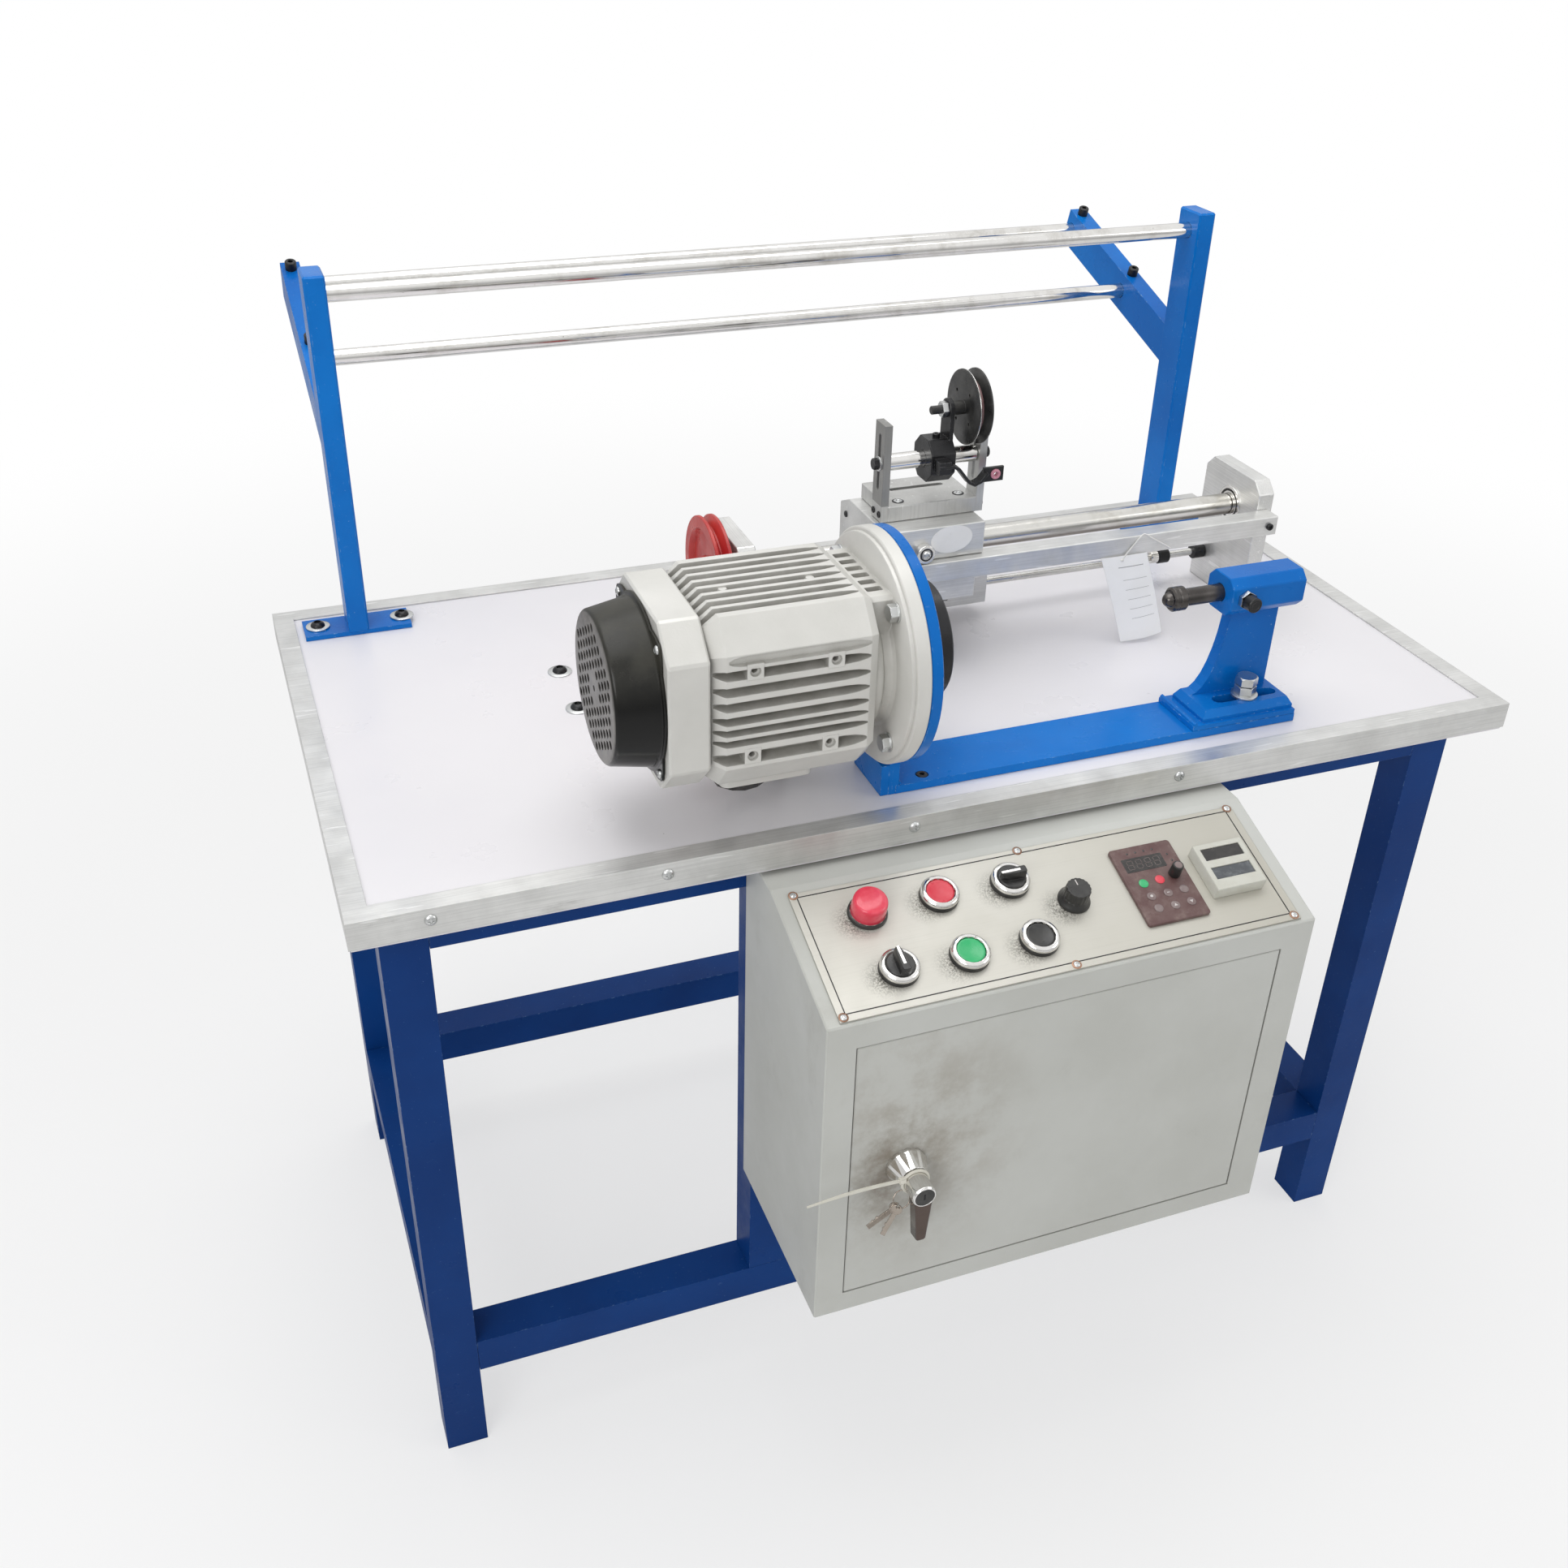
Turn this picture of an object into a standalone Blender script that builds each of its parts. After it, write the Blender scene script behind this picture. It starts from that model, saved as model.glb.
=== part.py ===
"""Electric winding machine on a welded steel bench.

Sizes are metres, +Z up. While a piece is being drawn its places are told in bench
coordinates: x from the table's left edge, y from its front edge towards the back,
z up from the laminate. The finished pieces are then set down with the origin on the
floor under the middle of the whole machine.
"""
import math

import bmesh
import bpy
from mathutils import Matrix, Vector

# Gaps between pieces
rest_gap = 0.0003
slide_gap = 0.0004
door_gap = 0.0010

# Facets round the turned pieces
wide_steps = 28
wheel_steps = 24
shaft_steps = 18
rod_steps = 14
switch_steps = 14
pin_steps = 12
thin_steps = 10
small_hole_steps = 6
round_end_steps = 5
curve_steps = 8

# Broken edges, and how far pieces of one solid run into each other
edge_break = 0.0008
moulded_break = 0.0012
cast_break = 0.0018
end_break = 0.0010
set_in = 0.0002
run_in = 0.0030
tool_reach = 0.010

# Bench
table_length = 1.100
table_depth = 0.560
table_height = 0.690
board_thickness = 0.0265
trim_wall = 0.0015
trim_top_width = 0.0195
trim_drop = 0.0240
tube_side = 0.040
tube_wall = 0.002
foot_plate_thick = 0.003
frame_inset_side = 0.025
frame_inset_front = 0.040
frame_inset_back = 0.020
stretcher_drop = 0.546
upright_left = 0.344
cable_hole_clearance = 0.0015

# Rod stand
stand_inset_left = 0.069
stand_inset_right = 0.079
post_width = 0.020
post_depth = 0.040
post_front = 0.4875
post_top = 0.357
post_foot_length = 0.105
post_foot_depth = 0.038
post_foot_thick = 0.005
brace_height = 0.040
brace_start = 0.209
brace_slope = math.radians(17.5)
brace_reach = 0.250
brace_middle_rod = 0.104
brace_rear_rod = 0.237
stand_rod_radius = 0.008
rod_seat_depth = 0.012
post_rod_drop = 0.021

# Spindle line
spindle_y = 0.070
spindle_z = 0.132
cover_left = 0.218

# Motor
cover_length = 0.0387
cover_small_radius = 0.062
cover_large_radius = 0.069
cover_wall = 0.0025
cover_lip_radius = 0.0725
cover_lip_thick = 0.0022
cover_nose_round = 0.0045
cover_ear_root = 0.065
cover_ear_tip = 0.0815
cover_ear_root_half = 0.022
cover_ear_tip_half = 0.008
cover_ear_hole = 0.077
cover_ear_hole_radius = 0.0022
vent_radius = 0.0033
vent_pitch = 0.0106
vent_field_radius = 0.0535
vent_ring_radius = 0.0117
vent_sides = 4
shroud_length = 0.034
shroud_half = 0.074
shroud_chamfer = 0.027
shroud_wall = 0.004
corner_share = 2 - math.sqrt(2)
end_shield_length = 0.008
motor_body_length = 0.124
fin_root_half = 0.061
fin_tip_half = 0.0745
fin_count = 7
fin_thick = 0.0034
fin_pitch = 0.0118
fin_taper_length = 0.011
fin_end_share = 0.25
side_panel_half = 0.046
neck_length = 0.034
neck_radius_large = 0.067
neck_radius_small = 0.060
neck_taper_start = 0.25
neck_taper_end = 0.45
flange_radius = 0.100
flange_thick = 0.016
flange_step = 0.0035
flange_step_start = 0.45
flange_step_end = 0.55
vent_box_half = 0.044
vent_box_low_share = 0.6
vent_box_wall = 0.004
vent_slot_count = 6
vent_slot_width = 0.0075
vent_slot_pitch = 0.0135
vent_slot_depth = 0.013
foot_pad_size = 0.016
foot_pad_depth = 0.020
foot_pad_left_in = 0.032
foot_pad_right_in = 0.028
foot_pad_drop = 0.035
foot_pad_rise = 0.040
terminal_box_length = 0.080
terminal_box_width = 0.070
terminal_box_drop = 0.018
motor_shaft_radius = 0.0095
fan_radius = 0.057
fan_hub_radius = 0.017
fan_blade_count = 7
fan_blade_thick = 0.0024
fan_width = 0.018
fan_plate_thick = 0.0020
fan_clearance = 0.0020
shaft_stub_left = 0.006

# Motor cable
cable_radius = 0.0060
cable_steps = 28
cable_fine_steps = 20
cable_hole_along = 0.108
cable_hole_back = 0.048
cable_entry_drop = 0.026
cable_inside = 0.012
gland_radius = 0.0095
gland_length = 0.006
gland_socket_depth = 0.004
gland_set_back = 0.010
gland_clearance = 0.0008
cable_entry_straight = 0.012

# Stops on the cable's way as x, y and z: a slack loop told from the gland's lower end, its way back
# told across from the board's hole and down from the gland, its drop told from the board's
# underside, and its turn towards the cabinet told from the height of the entry
cable_loop = ((0.0, 0.0, -0.0055), (0.0, 0.0, -0.0090), (0.009, 0.0, -0.0180), (0.030, 0.001, -0.0225),
              (0.048, 0.006, -0.0170), (0.060, 0.014, -0.0090))
cable_return = ((-0.016, -0.010, -0.0080), (-0.003, -0.002, -0.0210))
cable_drop = ((0.0, 0.0, 0.010), (0.0, 0.0, -0.010), (0.0, -0.006, -0.040))
cable_turn = ((0.0, -0.024, 0.008), (0.0, -0.048, 0.0))

# Headstock and bar
disc_radius = 0.0995
disc_thick = 0.010
head_foot_width = 0.059
head_block_thick = 0.0072
head_block_height = 0.030
bar_width = 0.060
bar_thick = 0.008
bar_length = 0.405
face_plate_radius = 0.050
face_plate_thick = 0.010
face_plate_hub_radius = 0.020
face_plate_bore = 0.008
face_plate_bore_depth = 0.006
face_plate_hole_radius = 0.0032
face_plate_hole_circle = 0.037
face_plate_hole_count = 6
face_plate_clearance = 0.0025
face_plate_break = 0.0015
hub_clearance = 0.0015
hub_set_in = 0.003

# Tailstock
tailstock_base_left = 0.770
tailstock_base_length = 0.110
tailstock_base_depth = 0.060
tailstock_base_thick = 0.0045
tailstock_boss_height = 0.0095
tailstock_boss_inset = 0.004
tailstock_boss_bevel = 0.006
tailstock_lip = 0.006
tailstock_lip_rise = 0.003
tailstock_slot_width = 0.0125
tailstock_slot_length = 0.068
tailstock_slot_back = 0.006
tailstock_web_thick = 0.013
tailstock_web_sweep = 0.030
tailstock_web_top_in = 0.024
tailstock_web_set_in = 0.004
tailstock_web_right_inset = 0.002
head_left = 0.795
head_length = 0.077
head_half_width = 0.020
head_half_height = 0.018
head_chamfer = 0.008
quill_radius = 0.008
quill_out = 0.038
quill_tail_in = 0.004
centre_pin_radius = 0.004
centre_radius = 0.011
centre_length = 0.020
centre_nose_length = 0.006
centre_collar_break = 0.002
centre_socket_depth = 0.008
lock_screw_radius = 0.004
lock_screw_head_radius = 0.0068
lock_screw_head_length = 0.009
lock_screw_nut_thick = 0.005
lock_screw_nut_radius = 0.0085
lock_screw_place = 0.014
clamp_bolt_radius = 0.006
clamp_bolt_place = 0.838
clamp_bolt_flat = 0.018
clamp_bolt_head = 0.0085
clamp_washer_radius = 0.0125
clamp_washer_thick = 0.0025

# Traverse
plate_thick = 0.018
plate_height = 0.139
plate_chamfer = 0.012
plate_front = 0.266
plate_back = 0.364
right_plate_left = 0.972
left_plate_left = 0.408
drive_y = 0.313
drive_z = 0.101
drive_radius = 0.011
bearing_radius = 0.0185
bearing_proud = 0.0015
bearing_root = 0.004
drive_stub_right = 0.006
wheel_radius = 0.055
wheel_width = 0.016
wheel_groove = 0.009
wheel_web = 0.006
wheel_rim = 0.012
wheel_hub_radius = 0.016
wheel_standoff = 0.006
wheel_lip = 0.0035
wheel_stub = 0.002
beam_side = 0.020
beam_top = 0.111
beam_overhang_right = 0.0125
beam_overhang_left = 0.004
trip_rod_radius = 0.004
trip_y = 0.347
trip_z = 0.033
trip_rod_set_in = 0.002
trip_collar_radius = 0.0080
trip_collar_length = 0.0135
trip_stop_length = 0.022
trip_stop_set_in = 0.067

# Carriage
carriage_left = 0.548
carriage_length = 0.104
carriage_front = 0.255
carriage_back = 0.3675
carriage_top_z = 0.144
carriage_low_z = 0.060
carriage_cut_back = 0.022
carriage_cut_drop = 0.010
trip_block_left = 0.030
trip_block_reach = 0.048
trip_block_depth = 0.034
trip_block_low = 0.018
pitch_knob_x = 0.645
pitch_knob_z = 0.044
pitch_knob_radius = 0.012
pitch_knob_depth = 0.013
pitch_knob_collar = 0.003
pitch_knob_flutes = 9
flute_depth = 0.0010
roller_radius = 0.0093
roller_width = 0.0075
roller_inset = 0.040
roller_pin_radius = 0.0030
roller_pin_depth = 0.007
roller_head_radius = 0.0042
roller_head_proud = 0.0025
top_plate_left = 0.560
top_plate_length = 0.093
top_plate_front = 0.279
top_plate_depth = 0.066
top_plate_thick = 0.0155
top_slot_width = 0.006
top_slot_length = 0.058
top_slot_back = 0.041
upright_thick = 0.0075
upright_lap = 0.0005
upright_set_back = 0.001
upright_depth = 0.022
upright_height = 0.095
upright_slot_width = 0.0055
upright_slot_start = 0.030
upright_slot_end = 0.085
cross_rod_radius = 0.008
cross_rod_z = 0.200
cross_bolt_radius = 0.0023
cross_bolt_head_radius = 0.0055
cross_bolt_head = 0.006

# Wire guide
clamp_half = 0.0205
clamp_chamfer = 0.011
clamp_left = 0.598
clamp_length = 0.025
arm_thick = 0.004
arm_width = 0.020
axle_y = 0.290
axle_z = 0.2466
axle_radius = 0.004
axle_left_reach = 0.016
axle_right_reach = 0.030
axle_nut_radius = 0.0075
axle_nut_thick = 0.006
pulley_left = 0.6355
pulley_radius = 0.035
pulley_width = 0.0155
pulley_groove = 0.009
pulley_rim_thick = 0.0018
pulley_root_width = 0.002
pulley_hub_radius = 0.007
guide_strip_thick = 0.0028
guide_strip_width = 0.010
guide_strip_front = 0.258
guide_strip_drop = 0.0205
guide_strip_rise = 0.0105
guide_strip_end = 0.0538
guide_base_width = 0.012
eyelet_plate_length = 0.021
eyelet_plate_height = 0.014
eyelet_plate_back = 0.004
eyelet_place = 0.0125
eyelet_radius = 0.0035

# Cabinet
cabinet_left = 0.336
cabinet_width = 0.450
cabinet_wall = 0.0015
cabinet_top_drop = 0.030
cabinet_shelf_front = -0.020
cabinet_front = -0.151
cabinet_front_top = -0.074
cabinet_bottom = -0.403
door_left = 0.363
door_right = 0.755
door_top = -0.100
door_bottom = -0.379
door_return = 0.012
door_lip = 0.009
lock_stem_radius = 0.0065
lock_barrel_radius = 0.0124
lock_tongue_thick = 0.003
lock_x = 0.413
lock_z = -0.241
lock_cone_radius = 0.018
lock_cone_tip_radius = 0.0125
lock_cone_length = 0.018
lock_cone_rim = 0.003
lock_shaft_radius = 0.0105
lock_shaft_length = 0.022
lock_arm_length = 0.052
lock_arm_thick = 0.0115
lock_arm_width = 0.017
lock_arm_tip_width = 0.0094
lock_tongue_length = 0.050
lock_tongue_width = 0.016

# Operator panel, places told down the slope from its upper edge
panel_left = 0.348
panel_right = 0.772
panel_upper = 0.009
panel_lower = 0.135
panel_thick = 0.0015
bezel_radius = 0.0155
bezel_height = 0.0085
bezel_wall = 0.0030
switch_hole_radius = 0.0112
contact_block_side = 0.028
contact_block_length = 0.040
contact_neck_length = 0.012
keypad_cut_in = 0.004
keypad_body_in = 0.006
counter_window_in = 0.0075
counter_window_height = 0.0125
counter_window_depth = 0.0012
counter_window_drops = (0.0065, 0.0255)
button_height = 0.0075
button_travel = 0.003
lamp_height = 0.020
lamp_round = 0.004
cap_round = 0.0018
selector_height = 0.018
selector_bar_width = 0.0075
selector_collar_proud = 0.0015
selector_point_in = 0.0015
power_turn = 0.0
inching_turn = 90.0
knob_radius = 0.0115
knob_height = 0.018
knob_ribs = 10
knob_taper = 0.0010
knob_skirt_reach = 0.0020
knob_skirt_height = 0.0045
lamp_place = (0.406, 0.042)
stop_place = (0.471, 0.040)
inching_place = (0.536, 0.041)
speed_place = (0.583, 0.071)
power_place = (0.411, 0.100)
start_place = (0.473, 0.101)
reset_place = (0.536, 0.101)
keypad_left = 0.634
keypad_right = 0.694
keypad_upper = 0.032
keypad_lower = 0.113
keypad_thick = 0.003
keypad_body_depth = 0.012
keypad_knob_place = (0.681, 0.068)
keypad_knob_radius = 0.0052
keypad_knob_height = 0.0125
counter_left = 0.705
counter_side = 0.049
counter_upper = 0.050
counter_proud = 0.012
counter_body_side = 0.044
counter_body_depth = 0.052
cut_out_clearance = 0.0010

# Cabinet contents
backplate_width = 0.360
backplate_height = 0.250
backplate_thick = 0.002
inverter_size = (0.085, 0.105, 0.140)
contactor_size = (0.045, 0.075, 0.075)
terminal_size = (0.120, 0.030, 0.030)
inverter_place = (-0.085, -0.020)
contactor_places = ((0.010, 0.010), (0.070, 0.010))
terminal_place = (0.060, -0.085)

# Places worked out from the sizes above
slope = math.atan2(-cabinet_front_top - cabinet_top_drop, cabinet_shelf_front - cabinet_front)
shroud_left = cover_left + cover_length + rest_gap
motor_left = shroud_left + shroud_length + rest_gap
motor_right = motor_left + motor_body_length
flange_left = motor_right + neck_length
flange_right = flange_left + flange_thick
disc_left = flange_right + rest_gap
disc_right = disc_left + disc_thick
face_plate_left = disc_right + face_plate_clearance
face_plate_right = face_plate_left + face_plate_thick
frame_top = -board_thickness - rest_gap
lock_handle_front = cabinet_front - rest_gap - lock_cone_length - lock_shaft_length
brace_end_y = post_front + post_depth + brace_reach * math.cos(brace_slope)
machine_front = lock_handle_front
machine_back = brace_end_y + brace_height / 2 * math.sin(brace_slope)
origin_shift = Vector((-table_length / 2, -(machine_front + machine_back) / 2, table_height))

# Colours: base colour, roughness, metallic
bench_blue = ((0.010, 0.080, 0.330), 0.35, 0.0)
machine_blue = ((0.015, 0.170, 0.560), 0.32, 0.0)
laminate = ((0.80, 0.79, 0.82), 0.35, 0.0)
bare_aluminium = ((0.72, 0.72, 0.70), 0.35, 1.0)
grey_casting = ((0.55, 0.56, 0.55), 0.45, 0.3)
black_plastic = ((0.015, 0.015, 0.016), 0.35, 0.0)
black_steel = ((0.020, 0.020, 0.022), 0.35, 0.4)
bright_steel = ((0.62, 0.62, 0.62), 0.25, 1.0)
chrome_finish = ((0.75, 0.75, 0.76), 0.08, 1.0)
cabinet_grey = ((0.47, 0.49, 0.44), 0.50, 0.0)
panel_silver = ((0.60, 0.60, 0.58), 0.40, 0.8)
red_paint = ((0.45, 0.020, 0.015), 0.35, 0.0)
red_plastic = ((0.70, 0.020, 0.040), 0.25, 0.0)
green_plastic = ((0.010, 0.350, 0.120), 0.25, 0.0)
maroon_plastic = ((0.120, 0.030, 0.035), 0.40, 0.0)
beige_plastic = ((0.62, 0.62, 0.56), 0.45, 0.0)
zinc_plate = ((0.60, 0.60, 0.56), 0.35, 1.0)


# Drawing helpers
def clear_scene():
    for thing in list(bpy.data.objects):
        bpy.data.objects.remove(thing, do_unlink=True)


def closed(bm):
    bmesh.ops.recalc_face_normals(bm, faces=bm.faces)
    return bm


def spot(axis, u, v, along):
    """A point from its two places square to an axis and its place along it."""
    if axis == "x":
        return (along, u, v)
    if axis == "y":
        return (u, along, v)
    return (u, v, along)


def rectangle(u_low, v_low, u_high, v_high):
    return [(u_low, v_low), (u_high, v_low), (u_high, v_high), (u_low, v_high)]


def chamfered(u_mid, v_mid, half_u, half_v, chamfer):
    """An outline with its four corners cut off at 45 degrees."""
    points = []
    for side_u, side_v, first in ((-1, -1, "v"), (1, -1, "u"), (1, 1, "v"), (-1, 1, "u")):
        near_u = (u_mid + side_u * (half_u - chamfer), v_mid + side_v * half_v)
        near_v = (u_mid + side_u * half_u, v_mid + side_v * (half_v - chamfer))
        points += [near_v, near_u] if first == "v" else [near_u, near_v]
    return points


def arc(u_mid, v_mid, radius, start, end, steps):
    """Points on an arc, angles in degrees."""
    points = []
    for i in range(steps + 1):
        angle = math.radians(start + (end - start) * i / steps)
        points.append((u_mid + radius * math.cos(angle), v_mid + radius * math.sin(angle)))
    return points


def ribbed(u_mid, v_mid, radius, depth, ribs):
    """Round outline with ribs round it, as on a knob."""
    points = []
    for i in range(ribs * 2):
        angle = math.pi * (i + 0.5) / ribs
        reach = radius - (depth if i % 2 else 0.0)
        points.append((u_mid + reach * math.cos(angle), v_mid + reach * math.sin(angle)))
    return points


def slot_outline(u_mid, v_mid, length, width, steps=round_end_steps):
    """A slot with round ends, long along u."""
    reach = (length - width) / 2
    return (arc(u_mid + reach, v_mid, width / 2, -90, 90, steps)
            + arc(u_mid - reach, v_mid, width / 2, 90, 270, steps))


def prism(outline, axis, low, high):
    """Extrude an outline along an axis from low to high."""
    bm = bmesh.new()
    ends = [[bm.verts.new(spot(axis, u, v, level)) for u, v in outline] for level in (low, high)]
    bm.faces.new(ends[0])
    bm.faces.new(ends[1])
    bridge(bm, ends[0], ends[1])
    return closed(bm)


def bridge(bm, first, second):
    """Join two closed loops that have the same number of points."""
    count = len(first)
    for i in range(count):
        j = (i + 1) % count
        bm.faces.new((first[i], first[j], second[j], second[i]))


def box(low, high):
    return prism(rectangle(low[0], low[1], high[0], high[1]), "z", low[2], high[2])


def loft(outlines, axis, levels):
    """Run a solid through outlines of equal point count, one at each level."""
    bm = bmesh.new()
    loops = []
    for outline, level in zip(outlines, levels):
        loops.append([bm.verts.new(spot(axis, u, v, level)) for u, v in outline])
    bm.faces.new(loops[0])
    bm.faces.new(loops[-1])
    for first, second in zip(loops, loops[1:]):
        bridge(bm, first, second)
    return closed(bm)


def sleeve(outer, inner, axis, low, high):
    """A wall between two outlines of equal point count, open at both ends."""
    bm = bmesh.new()
    loops = []
    for outline, level in ((outer, low), (outer, high), (inner, high), (inner, low)):
        loops.append([bm.verts.new(spot(axis, u, v, level)) for u, v in outline])
    for i in range(4):
        bridge(bm, loops[i], loops[(i + 1) % 4])
    return closed(bm)


def turned(profile, axis, middle, steps, ring=False):
    """Turn a profile of (place along the axis, radius) about an axis through middle."""
    bm = bmesh.new()
    loops = []
    for along, radius in profile:
        loop = []
        for i in range(steps):
            angle = 2 * math.pi * (i + 0.5) / steps
            u = middle[0] + radius * math.cos(angle)
            v = middle[1] + radius * math.sin(angle)
            loop.append(bm.verts.new(spot(axis, u, v, along)))
        loops.append(loop)
    for first, second in zip(loops, loops[1:]):
        bridge(bm, first, second)
    if ring:
        bridge(bm, loops[-1], loops[0])
    else:
        bm.faces.new(loops[0])
        bm.faces.new(loops[-1])
    return closed(bm)


def rod(axis, middle, radius, low, high, steps=rod_steps):
    return turned([(low, radius), (high, radius)], axis, middle, steps)


def hexagon(axis, middle, radius, low, high):
    return turned([(low, radius), (high, radius)], axis, middle, 6)


def moved(bm, matrix):
    bmesh.ops.transform(bm, matrix=matrix, verts=bm.verts)
    return bm


def bevelled(bm, width, segments=1, sharper_than=30):
    """Break every edge whose faces turn by more than the given angle."""
    limit = math.radians(sharper_than)
    edges = [edge for edge in bm.edges if edge.calc_face_angle(0) > limit]
    bmesh.ops.bevel(bm, geom=edges, offset=width, segments=segments, affect="EDGES",
                    profile=0.5, clamp_overlap=True)
    return closed(bm)


def as_object(bm):
    mesh = bpy.data.meshes.new("working")
    bm.to_mesh(mesh)
    bm.free()
    thing = bpy.data.objects.new("working", mesh)
    bpy.context.scene.collection.objects.link(thing)
    return thing


def combined(base, tools, operation):
    """The base with each tool united or taken away."""
    base_object = as_object(base)
    tool_objects = [as_object(tool) for tool in tools]
    for tool_object in tool_objects:
        modifier = base_object.modifiers.new("boolean", "BOOLEAN")
        modifier.operation = operation
        modifier.solver = "EXACT"
        modifier.object = tool_object
    depsgraph = bpy.context.evaluated_depsgraph_get()
    mesh = bpy.data.meshes.new_from_object(base_object.evaluated_get(depsgraph))
    result = bmesh.new()
    result.from_mesh(mesh)
    bmesh.ops.remove_doubles(result, verts=result.verts, dist=0.000002)
    bmesh.ops.dissolve_degenerate(result, edges=result.edges, dist=0.000002)
    for thing in [base_object] + tool_objects:
        bpy.data.objects.remove(thing, do_unlink=True)
    bpy.data.meshes.remove(mesh)
    return result


def united(base, *tools):
    return combined(base, tools, "UNION")


def cut(base, *tools):
    return combined(base, tools, "DIFFERENCE")


def material(name, finish):
    colour, roughness, metallic = finish
    made = bpy.data.materials.new(name)
    made.use_nodes = True
    shader = made.node_tree.nodes["Principled BSDF"]
    shader.inputs["Base Color"].default_value = (*colour, 1.0)
    shader.inputs["Roughness"].default_value = roughness
    shader.inputs["Metallic"].default_value = metallic
    made.diffuse_color = (*colour, 1.0)
    return made


def add(name, bm, finish, pivot=(0.0, 0.0, 0.0), parent=None):
    """Make the named piece, with its origin at pivot in the coordinates it was drawn in."""
    moved(bm, Matrix.Translation(-Vector(pivot)))
    mesh = bpy.data.meshes.new(name)
    bm.to_mesh(mesh)
    bm.free()
    mesh.materials.append(material(name, finish))
    mesh.shade_smooth()
    mesh.set_sharp_from_angle(angle=math.radians(32))
    piece = bpy.data.objects.new(name, mesh)
    bpy.context.scene.collection.objects.link(piece)
    if parent is None:
        piece.location = Vector(pivot) + origin_shift
    else:
        piece.parent = parent
        piece.location = pivot
    return piece


# Bench
def tube(axis, u_low, v_low, low, high):
    """Square steel tube, open at both ends."""
    outer = rectangle(u_low, v_low, u_low + tube_side, v_low + tube_side)
    inner = rectangle(u_low + tube_wall, v_low + tube_wall,
                      u_low + tube_side - tube_wall, v_low + tube_side - tube_wall)
    return sleeve(outer, inner, axis, low, high)


def bench_frame():
    left = frame_inset_side
    right = table_length - frame_inset_side - tube_side
    front = frame_inset_front
    back = table_depth - frame_inset_back - tube_side
    floor = -table_height
    rail_low = frame_top - tube_side
    stretcher_low = -stretcher_drop - tube_side

    for name, x, y in (("leg_front_left", left, front), ("leg_front_right", right, front),
                       ("leg_rear_left", left, back), ("leg_rear_right", right, back)):
        hollow = box((x + tube_wall, y + tube_wall, floor + foot_plate_thick),
                     (x + tube_side - tube_wall, y + tube_side - tube_wall, frame_top + tube_side))
        leg = cut(box((x, y, floor), (x + tube_side, y + tube_side, frame_top)), hollow)
        add(name, leg, bench_blue)

    along_low = left + tube_side + rest_gap
    along_high = right - rest_gap
    across_low = front + tube_side + rest_gap
    across_high = back - rest_gap
    add("rail_front", tube("x", front, rail_low, along_low, along_high), bench_blue)
    add("rail_rear", tube("x", back, rail_low, along_low, along_high), bench_blue)
    add("rail_left", tube("y", left, rail_low, across_low, across_high), bench_blue)
    add("rail_right", tube("y", right, rail_low, across_low, across_high), bench_blue)
    add("stretcher_front", tube("x", front, stretcher_low, along_low, along_high), bench_blue)
    add("stretcher_rear", tube("x", back, stretcher_low, along_low, along_high), bench_blue)
    add("stretcher_left", tube("y", left, stretcher_low, across_low, across_high), bench_blue)
    add("stretcher_right", tube("y", right, stretcher_low, across_low, across_high), bench_blue)
    add("cabinet_upright", tube("z", upright_left, front, -stretcher_drop + rest_gap,
                                rail_low - rest_gap), bench_blue)


def tabletop():
    edge = trim_wall + rest_gap
    board = box((edge, edge, -board_thickness), (table_length - edge, table_depth - edge, 0.0))
    hole = rod("z", cable_hole(), cable_radius + cable_hole_clearance, -board_thickness * 2,
               board_thickness, pin_steps)
    add("tabletop", cut(board, hole), laminate)


def table_trim():
    """Aluminium angle run round the board with mitred corners."""
    top = rest_gap + trim_wall
    section = [(0.0, -trim_drop), (trim_wall, -trim_drop), (trim_wall, rest_gap),
               (trim_top_width, rest_gap), (trim_top_width, top), (0.0, top)]
    bm = bmesh.new()
    corners = []
    for side_x, side_y in ((0, 0), (1, 0), (1, 1), (0, 1)):
        corner = []
        for inward, height in section:
            x = table_length - inward if side_x else inward
            y = table_depth - inward if side_y else inward
            corner.append(bm.verts.new((x, y, height)))
        corners.append(corner)
    for i in range(4):
        bridge(bm, corners[i], corners[(i + 1) % 4])
    add("table_trim", closed(bm), bare_aluminium)


# Rod stand
def brace_point(distance):
    """Centre of the brace at a distance along it from the post's back face."""
    y = post_front + post_depth + distance * math.cos(brace_slope)
    z = brace_start + distance * math.sin(brace_slope)
    return y, z


def stand_rod_places():
    return {"rod_front": (post_front + post_depth / 2, post_top - post_rod_drop),
            "rod_middle": brace_point(brace_middle_rod),
            "rod_rear": brace_point(brace_rear_rod)}


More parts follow.
